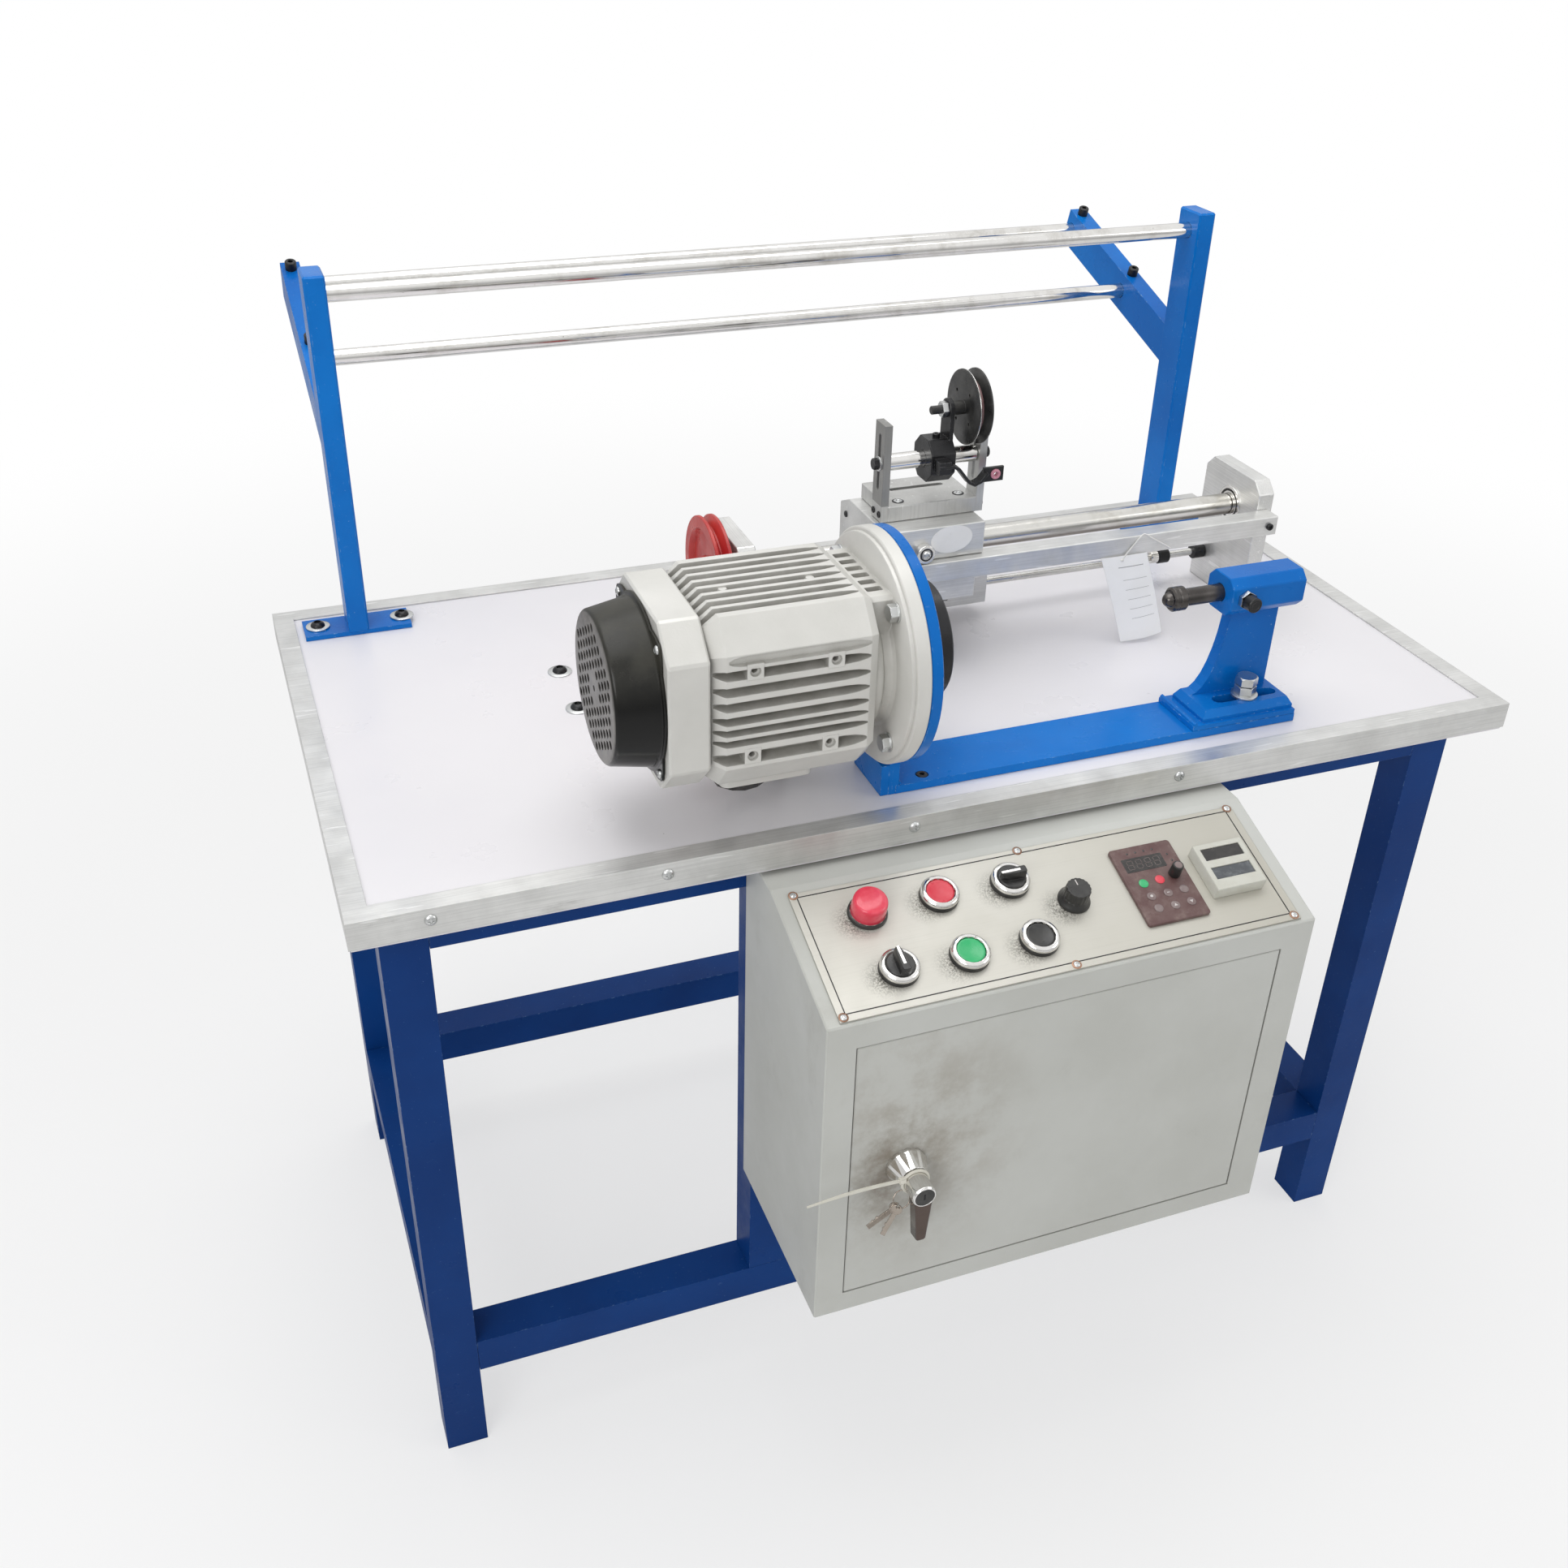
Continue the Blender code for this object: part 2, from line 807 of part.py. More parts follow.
def stand(name, post_left, seat_side):
    """One welded post, foot and brace, with seats for the rods on its inner side."""
    middle_x = post_left + post_width / 2
    post = box((post_left, post_front, post_foot_thick / 2),
               (post_left + post_width, post_front + post_depth, post_top))
    foot_front = post_front + (post_depth - post_foot_depth) / 2
    foot = box((middle_x - post_foot_length / 2, foot_front, rest_gap),
               (middle_x + post_foot_length / 2, foot_front + post_foot_depth, post_foot_thick))
    root_y, root_z = brace_point(-post_depth / 2)
    end_y, end_z = brace_point(brace_reach)
    lift_y = -brace_height / 2 * math.sin(brace_slope)
    lift_z = brace_height / 2 * math.cos(brace_slope)
    outline = [(root_y - lift_y, root_z - lift_z), (end_y - lift_y, end_z - lift_z),
               (end_y + lift_y, end_z + lift_z), (root_y + lift_y, root_z + lift_z)]
    brace = prism(outline, "x", post_left + set_in, post_left + post_width - set_in)
    weldment = united(bevelled(post, cast_break), foot, brace)
    seats = []
    for middle in stand_rod_places().values():
        if seat_side > 0:
            low, high = post_left + post_width - rod_seat_depth, post_left + post_width + rod_seat_depth
        else:
            low, high = post_left - rod_seat_depth, post_left + rod_seat_depth
        seats.append(rod("x", middle, stand_rod_radius + slide_gap, low, high))
    add(name, cut(weldment, *seats), machine_blue)


def rod_stands():
    left_post = stand_inset_left
    right_post = table_length - stand_inset_right - post_width
    stand("stand_left", left_post, 1)
    stand("stand_right", right_post, -1)
    low = left_post + post_width - rod_seat_depth + rest_gap
    high = right_post + rod_seat_depth - rest_gap
    for name, middle in stand_rod_places().items():
        add(name, rod("x", middle, stand_rod_radius, low, high), chrome_finish)


# Motor
def spindle_middle():
    return spindle_y, spindle_z


def finned_outline(tip_half):
    """Section of the motor body: upright fins above and below, level fins at the sides."""
    points = []
    for side in range(4):
        turn = math.radians(90 * side)
        across = [(-side_panel_half, tip_half)]
        for i in range(fin_count):
            centre = (i - (fin_count - 1) / 2) * fin_pitch
            half = fin_thick / 2
            across += [(centre - half, fin_root_half), (centre - half, tip_half),
                       (centre + half, tip_half), (centre + half, fin_root_half)]
        across.append((side_panel_half, tip_half))
        across[1:1] = [(-side_panel_half + fin_thick, tip_half), (-side_panel_half + fin_thick, fin_root_half)]
        across[-1:-1] = [(side_panel_half - fin_thick, fin_root_half), (side_panel_half - fin_thick, tip_half)]
        for u, v in across:
            points.append((spindle_y + u * math.cos(turn) + v * math.sin(turn),
                           spindle_z - u * math.sin(turn) + v * math.cos(turn)))
    return points


def motor_housing():
    low_tip = fin_root_half + (fin_tip_half - fin_root_half) * fin_end_share
    outlines = [finned_outline(low_tip), finned_outline(fin_tip_half),
                finned_outline(fin_tip_half), finned_outline(low_tip)]
    levels = [motor_left, motor_left + fin_taper_length, motor_right - fin_taper_length, motor_right]
    body = loft(outlines, "x", levels)

    core_radius = fin_root_half - end_break
    neck_profile = [(motor_right - run_in, core_radius),
                    (motor_right + set_in, core_radius),
                    (motor_right + set_in, neck_radius_large),
                    (motor_right + neck_length * neck_taper_start, neck_radius_large),
                    (motor_right + neck_length * neck_taper_end, neck_radius_small),
                    (flange_left, neck_radius_small),
                    (flange_left + cast_break, flange_radius - flange_step),
                    (flange_left + flange_thick * flange_step_start, flange_radius - flange_step),
                    (flange_left + flange_thick * flange_step_end, flange_radius),
                    (flange_right, flange_radius)]
    neck = turned(neck_profile, "x", spindle_middle(), wide_steps)

    vent_box = box((motor_right - run_in * 2, spindle_y - vent_box_half,
                    spindle_z + neck_radius_small * vent_box_low_share),
                   (flange_left + run_in, spindle_y + vent_box_half, spindle_z + fin_tip_half - end_break))
    slots = []
    for i in range(vent_slot_count):
        centre = spindle_y + (i - (vent_slot_count - 1) / 2) * vent_slot_pitch
        slots.append(box((motor_right + vent_box_wall, centre - vent_slot_width / 2,
                          spindle_z + fin_tip_half - vent_slot_depth),
                         (flange_left - vent_box_wall, centre + vent_slot_width / 2,
                          spindle_z + fin_tip_half + tool_reach)))

    pads = []
    face = spindle_y - fin_tip_half
    for x in (motor_left + foot_pad_left_in, motor_right - foot_pad_right_in):
        for z in (spindle_z - foot_pad_drop, spindle_z + foot_pad_rise):
            pads.append(box((x - foot_pad_size / 2, face + set_in, z - foot_pad_size / 2),
                            (x + foot_pad_size / 2, face + foot_pad_depth, z + foot_pad_size / 2)))

    box_mid = (motor_left + motor_right) / 2
    under = spindle_z - fin_tip_half
    terminal_box = box((box_mid - terminal_box_length / 2, spindle_y - terminal_box_width / 2,
                        under - terminal_box_drop),
                       (box_mid + terminal_box_length / 2, spindle_y + terminal_box_width / 2,
                        spindle_z - fin_root_half + run_in))

    bore = rod("x", spindle_middle(), motor_shaft_radius + slide_gap,
               motor_left - end_shield_length - tool_reach, flange_right + tool_reach)
    gland_x, gland_y, gland_z = cable_gland()
    gland = turned([(gland_z, gland_radius - end_break), (gland_z + end_break, gland_radius),
                    (gland_z + gland_length * 2, gland_radius)], "z", (gland_x, gland_y), pin_steps)
    socket = rod("z", (gland_x, gland_y), cable_radius + gland_clearance, gland_z - tool_reach,
                 gland_z + gland_socket_depth, pin_steps)
    end_shield = prism(shroud_inside(rest_gap), "x", motor_left - end_shield_length, motor_left + run_in)
    whole = united(body, end_shield, neck, vent_box, bevelled(terminal_box, cast_break), gland, *pads)
    add("motor_housing", cut(whole, bore, socket, *slots), grey_casting)


def shroud_inside(clearance):
    """Octagon of the shroud's bore, drawn in by a clearance."""
    half = shroud_half - shroud_wall - clearance
    return chamfered(spindle_y, spindle_z, half, half, shroud_chamfer - (shroud_half - half) * corner_share)


def fan_shroud():
    """Octagonal rear shield round the cooling fan."""
    outer = chamfered(spindle_y, spindle_z, shroud_half, shroud_half, shroud_chamfer)
    inner = shroud_inside(0.0)
    shell = bevelled(prism(outer, "x", shroud_left, shroud_left + shroud_length), cast_break)
    hollow = prism(inner, "x", shroud_left + shroud_wall, shroud_left + shroud_length * 2)
    mouth = rod("x", spindle_middle(), cover_large_radius - cover_wall - end_break,
                shroud_left - shroud_wall, shroud_left + shroud_wall * 2, wide_steps)
    add("fan_shroud", cut(shell, hollow, mouth), grey_casting)


def vent_places():
    """Centres of the air holes, in rows set over by half a pitch."""
    places = []
    row_height = vent_pitch * math.sqrt(3) / 2
    rows = int(vent_field_radius / row_height) + 1
    for row in range(-rows, rows + 1):
        shift = 0.5 * vent_pitch * (row % 2)
        for column in range(-rows - 1, rows + 2):
            u = column * vent_pitch + shift
            v = row * row_height
            if vent_ring_radius < math.hypot(u, v) < vent_field_radius - vent_radius:
                places.append((spindle_y + u, spindle_z + v))
    return places


def fan_cover():
    right = cover_left + cover_length
    lip_left = right - cover_lip_thick
    third = cover_nose_round / 3
    outer_profile = [(cover_left, cover_small_radius - cover_nose_round),
                     (cover_left + third, cover_small_radius - third),
                     (cover_left + cover_nose_round, cover_small_radius),
                     (lip_left, cover_large_radius), (lip_left, cover_lip_radius), (right, cover_lip_radius)]
    inner_profile = [(right, cover_large_radius - cover_wall),
                     (cover_left + cover_wall, cover_small_radius - cover_wall * 2)]
    cover = turned(outer_profile + inner_profile, "x", spindle_middle(), wide_steps)
    ears = []
    screw_holes = []
    for corner in range(4):
        turn = (Matrix.Translation((0, spindle_y, spindle_z))
                @ Matrix.Rotation(math.radians(45 + 90 * corner), 4, "X"))
        outline = [(cover_ear_root, -cover_ear_root_half), (cover_ear_tip, -cover_ear_tip_half),
                   (cover_ear_tip, cover_ear_tip_half), (cover_ear_root, cover_ear_root_half)]
        ears.append(moved(prism(outline, "x", lip_left + set_in, right - set_in / 2), turn))
        screw_holes.append(moved(rod("x", (cover_ear_hole, 0.0), cover_ear_hole_radius, lip_left - tool_reach,
                                     right + tool_reach, small_hole_steps), turn))
    inside = turned([(cover_left + cover_wall * 2, cover_small_radius - cover_wall * 2),
                     (right + tool_reach, cover_large_radius - cover_wall)], "x", spindle_middle(), wide_steps)
    cover = cut(united(cover, *ears), inside, *screw_holes)
    holes = bmesh.new()
    for middle in vent_places():
        hole = turned([(cover_left - run_in, vent_radius), (cover_left + cover_wall + run_in, vent_radius)],
                      "x", middle, vent_sides)
        mesh = bpy.data.meshes.new("hole")
        hole.to_mesh(mesh)
        hole.free()
        holes.from_mesh(mesh)
        bpy.data.meshes.remove(mesh)
    add("fan_cover", cut(cover, holes), black_plastic)


def motor_rotor():
    """Motor shaft with the cooling fan on its rear end."""
    fan_right = motor_left - end_shield_length - fan_clearance
    fan_left = fan_right - fan_width
    shaft_left = fan_left - shaft_stub_left
    shaft_right = face_plate_right - face_plate_bore_depth - rest_gap
    shaft = turned([(shaft_left, motor_shaft_radius - end_break), (shaft_left + end_break, motor_shaft_radius),
                    (shaft_right, motor_shaft_radius)], "x", spindle_middle(), rod_steps)
    hub = rod("x", spindle_middle(), fan_hub_radius, fan_left, fan_right)
    plate = rod("x", spindle_middle(), fan_radius, fan_right - fan_plate_thick, fan_right - set_in, wheel_steps)
    blades = []
    for i in range(fan_blade_count):
        blade = box((fan_left + end_break, fan_hub_radius - run_in, -fan_blade_thick / 2),
                    (fan_right - fan_plate_thick / 2, fan_radius - end_break, fan_blade_thick / 2))
        turn = Matrix.Rotation(2 * math.pi * i / fan_blade_count, 4, "X")
        blades.append(moved(blade, Matrix.Translation((0, spindle_y, spindle_z)) @ turn))
    rotor = united(shaft, hub, plate, *blades)
    add("motor_rotor", rotor, bright_steel, pivot=(shaft_right, spindle_y, spindle_z))


def cable_gland():
    """Middle of the gland's lower end, under the terminal box."""
    x = (motor_left + motor_right - terminal_box_length) / 2 + gland_radius
    z = spindle_z - fin_tip_half - terminal_box_drop - gland_length
    return x, spindle_y + gland_set_back, z


def cable_hole():
    """Where the cable goes through the board, as x and y."""
    return motor_left + cable_hole_along, spindle_y + cable_hole_back


def cable_entry_z():
    """Height at which the cable goes into the cabinet, clear of the front rail."""
    return frame_top - tube_side - cable_entry_drop


def smooth_route(stops, steps):
    """Points at equal steps on a smooth curve through the stops."""
    stops = [Vector(stop) for stop in stops]
    padded = [stops[0] * 2 - stops[1]] + stops + [stops[-1] * 2 - stops[-2]]
    fine = []
    for i in range(1, len(padded) - 2):
        before, start, end, after = padded[i - 1:i + 3]
        for k in range(cable_fine_steps):
            t = k / cable_fine_steps
            fine.append(0.5 * (2 * start + (end - before) * t
                               + (2 * before - 5 * start + 4 * end - after) * t ** 2
                               + (3 * start - before - 3 * end + after) * t ** 3))
    fine.append(stops[-1])
    lengths = [0.0]
    for first, second in zip(fine, fine[1:]):
        lengths.append(lengths[-1] + (second - first).length)
    points = []
    for i in range(steps + 1):
        wanted = lengths[-1] * i / steps
        k = max(j for j in range(len(fine) - 1) if lengths[j] <= wanted)
        share = (wanted - lengths[k]) / (lengths[k + 1] - lengths[k])
        points.append(fine[k].lerp(fine[k + 1], min(share, 1.0)))
    return points


def cable_route():
    """Down from the gland, in a slack loop over the board and down through it to the cabinet."""
    gland = Vector(cable_gland())
    hole = Vector(cable_hole()).to_3d()
    entry = hole + Vector((0, 0, cable_entry_z()))
    far_end = Vector((hole.x, frame_inset_front - cabinet_wall - cable_inside, entry.z))
    stops = [gland + Vector((0, 0, gland_socket_depth - rest_gap)), gland]
    for base, shifts in ((gland, cable_loop), (hole + Vector((0, 0, gland.z)), cable_return),
                         (hole - Vector((0, 0, board_thickness)), cable_drop), (entry, cable_turn)):
        stops += [base + Vector(shift) for shift in shifts]
    return stops + [Vector((hole.x, frame_inset_front + cable_entry_straight, entry.z)), far_end]


def motor_cable():
    points = smooth_route(cable_route(), cable_steps)
    curve = bpy.data.curves.new("motor_cable", "CURVE")
    curve.dimensions = "3D"
    curve.bevel_depth = cable_radius
    curve.bevel_resolution = 2
    curve.use_fill_caps = True
    spline = curve.splines.new("POLY")
    spline.points.add(len(points) - 1)
    for target, point in zip(spline.points, points):
        target.co = (*point, 1.0)
    curve.materials.append(material("motor_cable", black_plastic))
    piece = bpy.data.objects.new("motor_cable", curve)
    bpy.context.scene.collection.objects.link(piece)
    piece.location = origin_shift


# Headstock, bar and face plate
def headstock():
    """Blue disc on its foot, welded to the bar that carries the tailstock."""
    bar_front = spindle_y - bar_width / 2
    disc = turned([(disc_left, disc_radius - end_break), (disc_left + end_break, disc_radius),
                   (disc_right - end_break, disc_radius), (disc_right, disc_radius - end_break)],
                  "x", spindle_middle(), wide_steps)
    foot_front = spindle_y - head_foot_width / 2
    stem = box((disc_left + set_in, foot_front, rest_gap),
               (disc_right - set_in, foot_front + head_foot_width, spindle_z - disc_radius * 0.6))
    block = box((disc_left - head_block_thick, foot_front + set_in, rest_gap + set_in / 2),
                (disc_left + run_in, foot_front + head_foot_width - set_in, head_block_height))
    bar = box((disc_right - run_in, bar_front, rest_gap + set_in),
              (disc_right + bar_length, bar_front + bar_width, bar_top()))
    bore = rod("x", spindle_middle(), face_plate_hub_radius + hub_clearance, disc_left - tool_reach,
               disc_right + tool_reach, wheel_steps)
    slot_y = tailstock_slot_middle()
    bolt_hole = rod("z", (clamp_bolt_place, slot_y), clamp_bolt_radius + slide_gap, -tool_reach,
                    bar_top() + tool_reach, pin_steps)
    whole = united(disc, stem, block, bevelled(bar, edge_break))
    add("headstock", cut(whole, bore, bolt_hole), machine_blue)


def bar_top():
    return rest_gap + bar_thick


def face_plate():
    """Black driving plate on the motor shaft, with a centre recess and a circle of holes."""
    hub_left = disc_left + hub_set_in
    profile = [(hub_left, face_plate_hub_radius), (face_plate_left, face_plate_hub_radius),
               (face_plate_left, face_plate_radius), (face_plate_right - face_plate_break, face_plate_radius),
               (face_plate_right, face_plate_radius - face_plate_break)]
    plate = turned(profile, "x", spindle_middle(), wheel_steps)
    shaft_bore = rod("x", spindle_middle(), motor_shaft_radius + rest_gap, hub_left - tool_reach,
                     face_plate_right - face_plate_bore_depth)
    recess = rod("x", spindle_middle(), face_plate_bore, face_plate_right - face_plate_bore_depth - end_break,
                 face_plate_right + tool_reach)
    holes = []
    for i in range(face_plate_hole_count):
        angle = 2 * math.pi * i / face_plate_hole_count
        middle = (spindle_y + face_plate_hole_circle * math.cos(angle),
                  spindle_z + face_plate_hole_circle * math.sin(angle))
        holes.append(rod("x", middle, face_plate_hole_radius, face_plate_left - run_in,
                         face_plate_right + run_in, small_hole_steps))
    add("face_plate", cut(plate, shaft_bore, recess, *holes), black_steel,
        pivot=(face_plate_left, spindle_y, spindle_z))


# Tailstock
def tailstock_slot_middle():
    return spindle_y - tailstock_slot_back


def tailstock():
    low = bar_top() + rest_gap
    left = tailstock_base_left
    right = left + tailstock_base_length
    front = spindle_y - tailstock_base_depth / 2
    back = spindle_y + tailstock_base_depth / 2
    boss_low = low + tailstock_base_thick
    boss_top = boss_low + tailstock_boss_height
    base = box((left, front, low), (right, back, boss_low))
    lip = prism([(left - set_in, low + set_in), (left + tailstock_lip, low + set_in),
                 (left + tailstock_lip / 2, boss_low + tailstock_lip_rise),
                 (left + end_break, boss_low + tailstock_lip_rise - end_break)],
                "y", front + set_in, back - set_in)

    boss_left = left + tailstock_lip * 2
    boss_right = right - end_break
    inset = tailstock_boss_inset
    lower = rectangle(boss_left, front + inset, boss_right, back - inset)
    upper = rectangle(boss_left + tailstock_boss_bevel, front + inset + tailstock_boss_bevel,
                      boss_right - tailstock_boss_bevel / 2, back - inset - tailstock_boss_bevel / 3)
    boss = loft([lower, lower, upper], "z", [boss_low - run_in, boss_top - tailstock_boss_bevel, boss_top])

    web_back = back - inset - tailstock_web_set_in
    web_front = web_back - tailstock_web_thick
    head_low = spindle_z - head_half_height
    web_right = head_left + head_length - tailstock_web_right_inset
    web_top_left = head_left + tailstock_web_top_in
    sweep_height = head_low - boss_top
    web_outline = [(web_right, boss_low), (web_right, head_low + run_in), (web_top_left, head_low + run_in)]
    for i in range(curve_steps + 1):
        share = i / curve_steps
        drop = (1 - math.cos(share * math.pi / 2)) * tailstock_web_sweep
        web_outline.append((web_top_left - drop, head_low - sweep_height * math.sin(share * math.pi / 2)))
    web_outline.append((web_top_left - tailstock_web_sweep, boss_low))
    web = prism(web_outline, "y", web_front, web_back)

    head = prism(chamfered(spindle_y, spindle_z, head_half_width, head_half_height, head_chamfer),
                 "x", head_left, head_left + head_length)
    whole = united(base, lip, boss, web, bevelled(head, edge_break))

    bore = rod("x", spindle_middle(), quill_radius + slide_gap, head_left - tool_reach,
               head_left + head_length + tool_reach, shaft_steps)
    slot = prism(slot_outline(clamp_bolt_place, tailstock_slot_middle(), tailstock_slot_length,
                              tailstock_slot_width), "z", low - tool_reach, boss_top + tool_reach)
    screw_hole = rod("y", (head_left + lock_screw_place, spindle_z), lock_screw_radius + slide_gap,
                     spindle_y - head_half_width - tool_reach, spindle_y, pin_steps)
    add("tailstock_body", cut(whole, bore, slot, screw_hole), machine_blue)


def tailstock_quill():
    """The bar that slides in the head, and the turning centre on its nose."""
    nose = head_left - quill_out
    tail = head_left + head_length - quill_tail_in
    profile = [(nose, quill_radius - end_break), (nose + end_break, quill_radius),
               (tail - end_break, quill_radius), (tail, quill_radius - end_break)]
    quill = turned(profile, "x", spindle_middle(), shaft_steps)
    socket = rod("x", spindle_middle(), centre_pin_radius + slide_gap, nose - tool_reach,
                 nose + centre_socket_depth, pin_steps)
    add("tailstock_quill", cut(quill, socket), bright_steel, pivot=(nose, spindle_y, spindle_z))

    back = nose - rest_gap
    front = back - centre_length
    collar = front + centre_nose_length
    profile = [(nose + centre_socket_depth - rest_gap, centre_pin_radius), (back, centre_pin_radius),
               (back, centre_radius - end_break), (back - end_break, centre_radius),
               (collar + centre_collar_break, centre_radius), (collar, centre_radius - centre_collar_break),
               (collar, centre_radius * 0.6), (front + centre_nose_length / 3, centre_radius * 0.55),
               (front, centre_radius / 4)]
    add("live_centre", turned(profile, "x", spindle_middle(), rod_steps), black_steel,
        pivot=(back, spindle_y, spindle_z))


def tailstock_screws():
    face = spindle_y - head_half_width
    middle = (head_left + lock_screw_place, spindle_z)
    nut_front = face - rest_gap - lock_screw_nut_thick
    head_back = nut_front - end_break
    head_front = head_back - lock_screw_head_length
    shank = rod("y", middle, lock_screw_radius, head_front + run_in, spindle_y - quill_radius - rest_gap,
                pin_steps)
    nut = hexagon("y", middle, lock_screw_nut_radius, nut_front, face - rest_gap)
    head = turned([(head_front, lock_screw_head_radius - end_break),
                   (head_front + end_break, lock_screw_head_radius),
                   (head_back, lock_screw_head_radius)], "y", middle, pin_steps)
    add("tailstock_lock_screw", united(shank, nut, head), black_steel,
        pivot=(middle[0], face, spindle_z))

    slot_y = tailstock_slot_middle()
    low = bar_top() + rest_gap + tailstock_base_thick + tailstock_boss_height + rest_gap
    washer_top = low + clamp_washer_thick
    corner = clamp_bolt_flat / math.sqrt(3)
    place = (clamp_bolt_place, slot_y)
    washer = rod("z", place, clamp_washer_radius, low, washer_top)
    nut_top = washer_top + clamp_bolt_head
    nut = hexagon("z", place, corner, washer_top - set_in, nut_top)
    neck = rod("z", place, clamp_bolt_radius, bar_top() - bar_thick, nut_top + run_in, pin_steps)
    head = turned([(nut_top + end_break, corner), (nut_top + clamp_bolt_head, corner),
                   (nut_top + clamp_bolt_head + moulded_break, clamp_bolt_flat / 2)], "z", place, 6)
    add("tailstock_clamp_bolt", united(washer, nut, neck, head), zinc_plate,
        pivot=(clamp_bolt_place, slot_y, low))


# Traverse
def drive_middle():
    return drive_y, drive_z


def traverse_plates():
    for name, left, inner_side in (("traverse_plate_left", left_plate_left, 1),
                                   ("traverse_plate_right", right_plate_left, -1)):
        right = left + plate_thick
        outline = [(plate_front, rest_gap), (plate_back, rest_gap), (plate_back, plate_height - plate_chamfer),
                   (plate_back - plate_chamfer, plate_height), (plate_front + plate_chamfer, plate_height),
                   (plate_front, plate_height - plate_chamfer)]
        plate = bevelled(prism(outline, "x", left, right), edge_break)
        if inner_side > 0:
            ring_low, ring_high = right - bearing_root, right + bearing_proud
        else:
            ring_low, ring_high = left - bearing_proud, left + bearing_root
        ring = rod("x", drive_middle(), bearing_radius, ring_low, ring_high, shaft_steps)
        bore = rod("x", drive_middle(), drive_radius + slide_gap, left - tool_reach,
                   right + tool_reach, shaft_steps)
        trip_bore = rod("x", (trip_y, trip_z), trip_rod_radius + rest_gap, left - tool_reach,
                        right + tool_reach, thin_steps)
        add(name, cut(united(plate, ring), bore, trip_bore), bare_aluminium)


def traverse_drive():
    low = left_plate_left - wheel_standoff - wheel_width - wheel_stub
    high = right_plate_left + plate_thick + drive_stub_right
    shaft = turned([(low, drive_radius - end_break), (low + end_break, drive_radius),
                    (high - end_break, drive_radius), (high, drive_radius - end_break)],
                   "x", drive_middle(), shaft_steps)
    add("traverse_shaft", shaft, bright_steel, pivot=(low, drive_y, drive_z))

    wheel_right = left_plate_left - wheel_standoff
    wheel_left = wheel_right - wheel_width
    middle = (wheel_left + wheel_right) / 2
    inner_rim = wheel_radius - wheel_rim
    lip = wheel_lip
    bore = drive_radius + rest_gap
    profile = [(wheel_left, bore), (wheel_left, wheel_hub_radius), (middle - wheel_web / 2, wheel_hub_radius),
               (middle - wheel_web / 2, inner_rim), (wheel_left, inner_rim), (wheel_left, wheel_radius),
               (wheel_left + lip, wheel_radius), (middle, wheel_radius - wheel_groove),
               (wheel_right - lip, wheel_radius), (wheel_right, wheel_radius), (wheel_right, inner_rim),
               (middle + wheel_web / 2, inner_rim), (middle + wheel_web / 2, wheel_hub_radius),
               (wheel_right, wheel_hub_radius), (wheel_right, bore)]
    add("traverse_pulley", turned(profile, "x", drive_middle(), wheel_steps, ring=True), red_paint,
        pivot=(wheel_left, drive_y, drive_z))


def traverse_beam():
    back = plate_front - rest_gap
    low = left_plate_left - beam_overhang_left
    high = right_plate_left + beam_overhang_right
    beam = box((low, back - beam_side, beam_top - beam_side), (high, back, beam_top))
    add("traverse_beam", bevelled(beam, edge_break), bare_aluminium)


def trip_rod():
    low = left_plate_left + trip_rod_set_in
    high = right_plate_left + plate_thick - trip_rod_set_in
    middle = (trip_y, trip_z)
    shaft = rod("x", middle, trip_rod_radius, low, high, thin_steps)
    collars = []
    left_plate_right = left_plate_left + plate_thick
    for start, end in ((left_plate_right + rest_gap, left_plate_right + rest_gap + trip_collar_length),
                       (left_plate_right + trip_stop_set_in - trip_stop_length,
                        left_plate_right + trip_stop_set_in),
                       (right_plate_left - trip_stop_set_in,
                        right_plate_left - trip_stop_set_in + trip_stop_length),
                       (right_plate_left - rest_gap - trip_collar_length, right_plate_left - rest_gap)):
        collars.append(rod("x", middle, trip_collar_radius, start, end, thin_steps))
    add("trip_rod", united(shaft, *collars), zinc_plate)


# Carriage
def carriage_pivot():
    return (carriage_left, drive_y, drive_z)


def carriage_body():
    """Block that rides on the drive shaft and over the beam, with the reversing block below."""
    beam_clear = beam_top + slide_gap
    behind_beam = plate_front + slide_gap
    outline = [(carriage_front, beam_clear), (carriage_front, carriage_top_z),
               (carriage_back - carriage_cut_back, carriage_top_z),
               (carriage_back, carriage_top_z - carriage_cut_drop),
               (carriage_back, carriage_low_z), (behind_beam, carriage_low_z), (behind_beam, beam_clear)]
    right = carriage_left + carriage_length
    body = bevelled(prism(outline, "x", carriage_left, right), edge_break)
    block_back = trip_y + trip_block_depth / 2
    block = box((carriage_left + trip_block_left, block_back - trip_block_depth, trip_block_low),
                (right + trip_block_reach, block_back, carriage_low_z + run_in))
    bore = rod("x", drive_middle(), drive_radius + slide_gap, carriage_left - tool_reach,
               right + tool_reach, shaft_steps)
    trip_bore = rod("x", (trip_y, trip_z), trip_rod_radius + slide_gap, carriage_left - tool_reach,
                    right + trip_block_reach + tool_reach, thin_steps)
    pin_hole = rod("y", roller_middle(), roller_pin_radius + slide_gap, carriage_front - tool_reach,
                   carriage_front + roller_pin_depth + slide_gap, pin_steps)
    body = cut(united(body, block), bore, trip_bore, pin_hole)
    add("carriage_body", body, bare_aluminium, pivot=carriage_pivot())


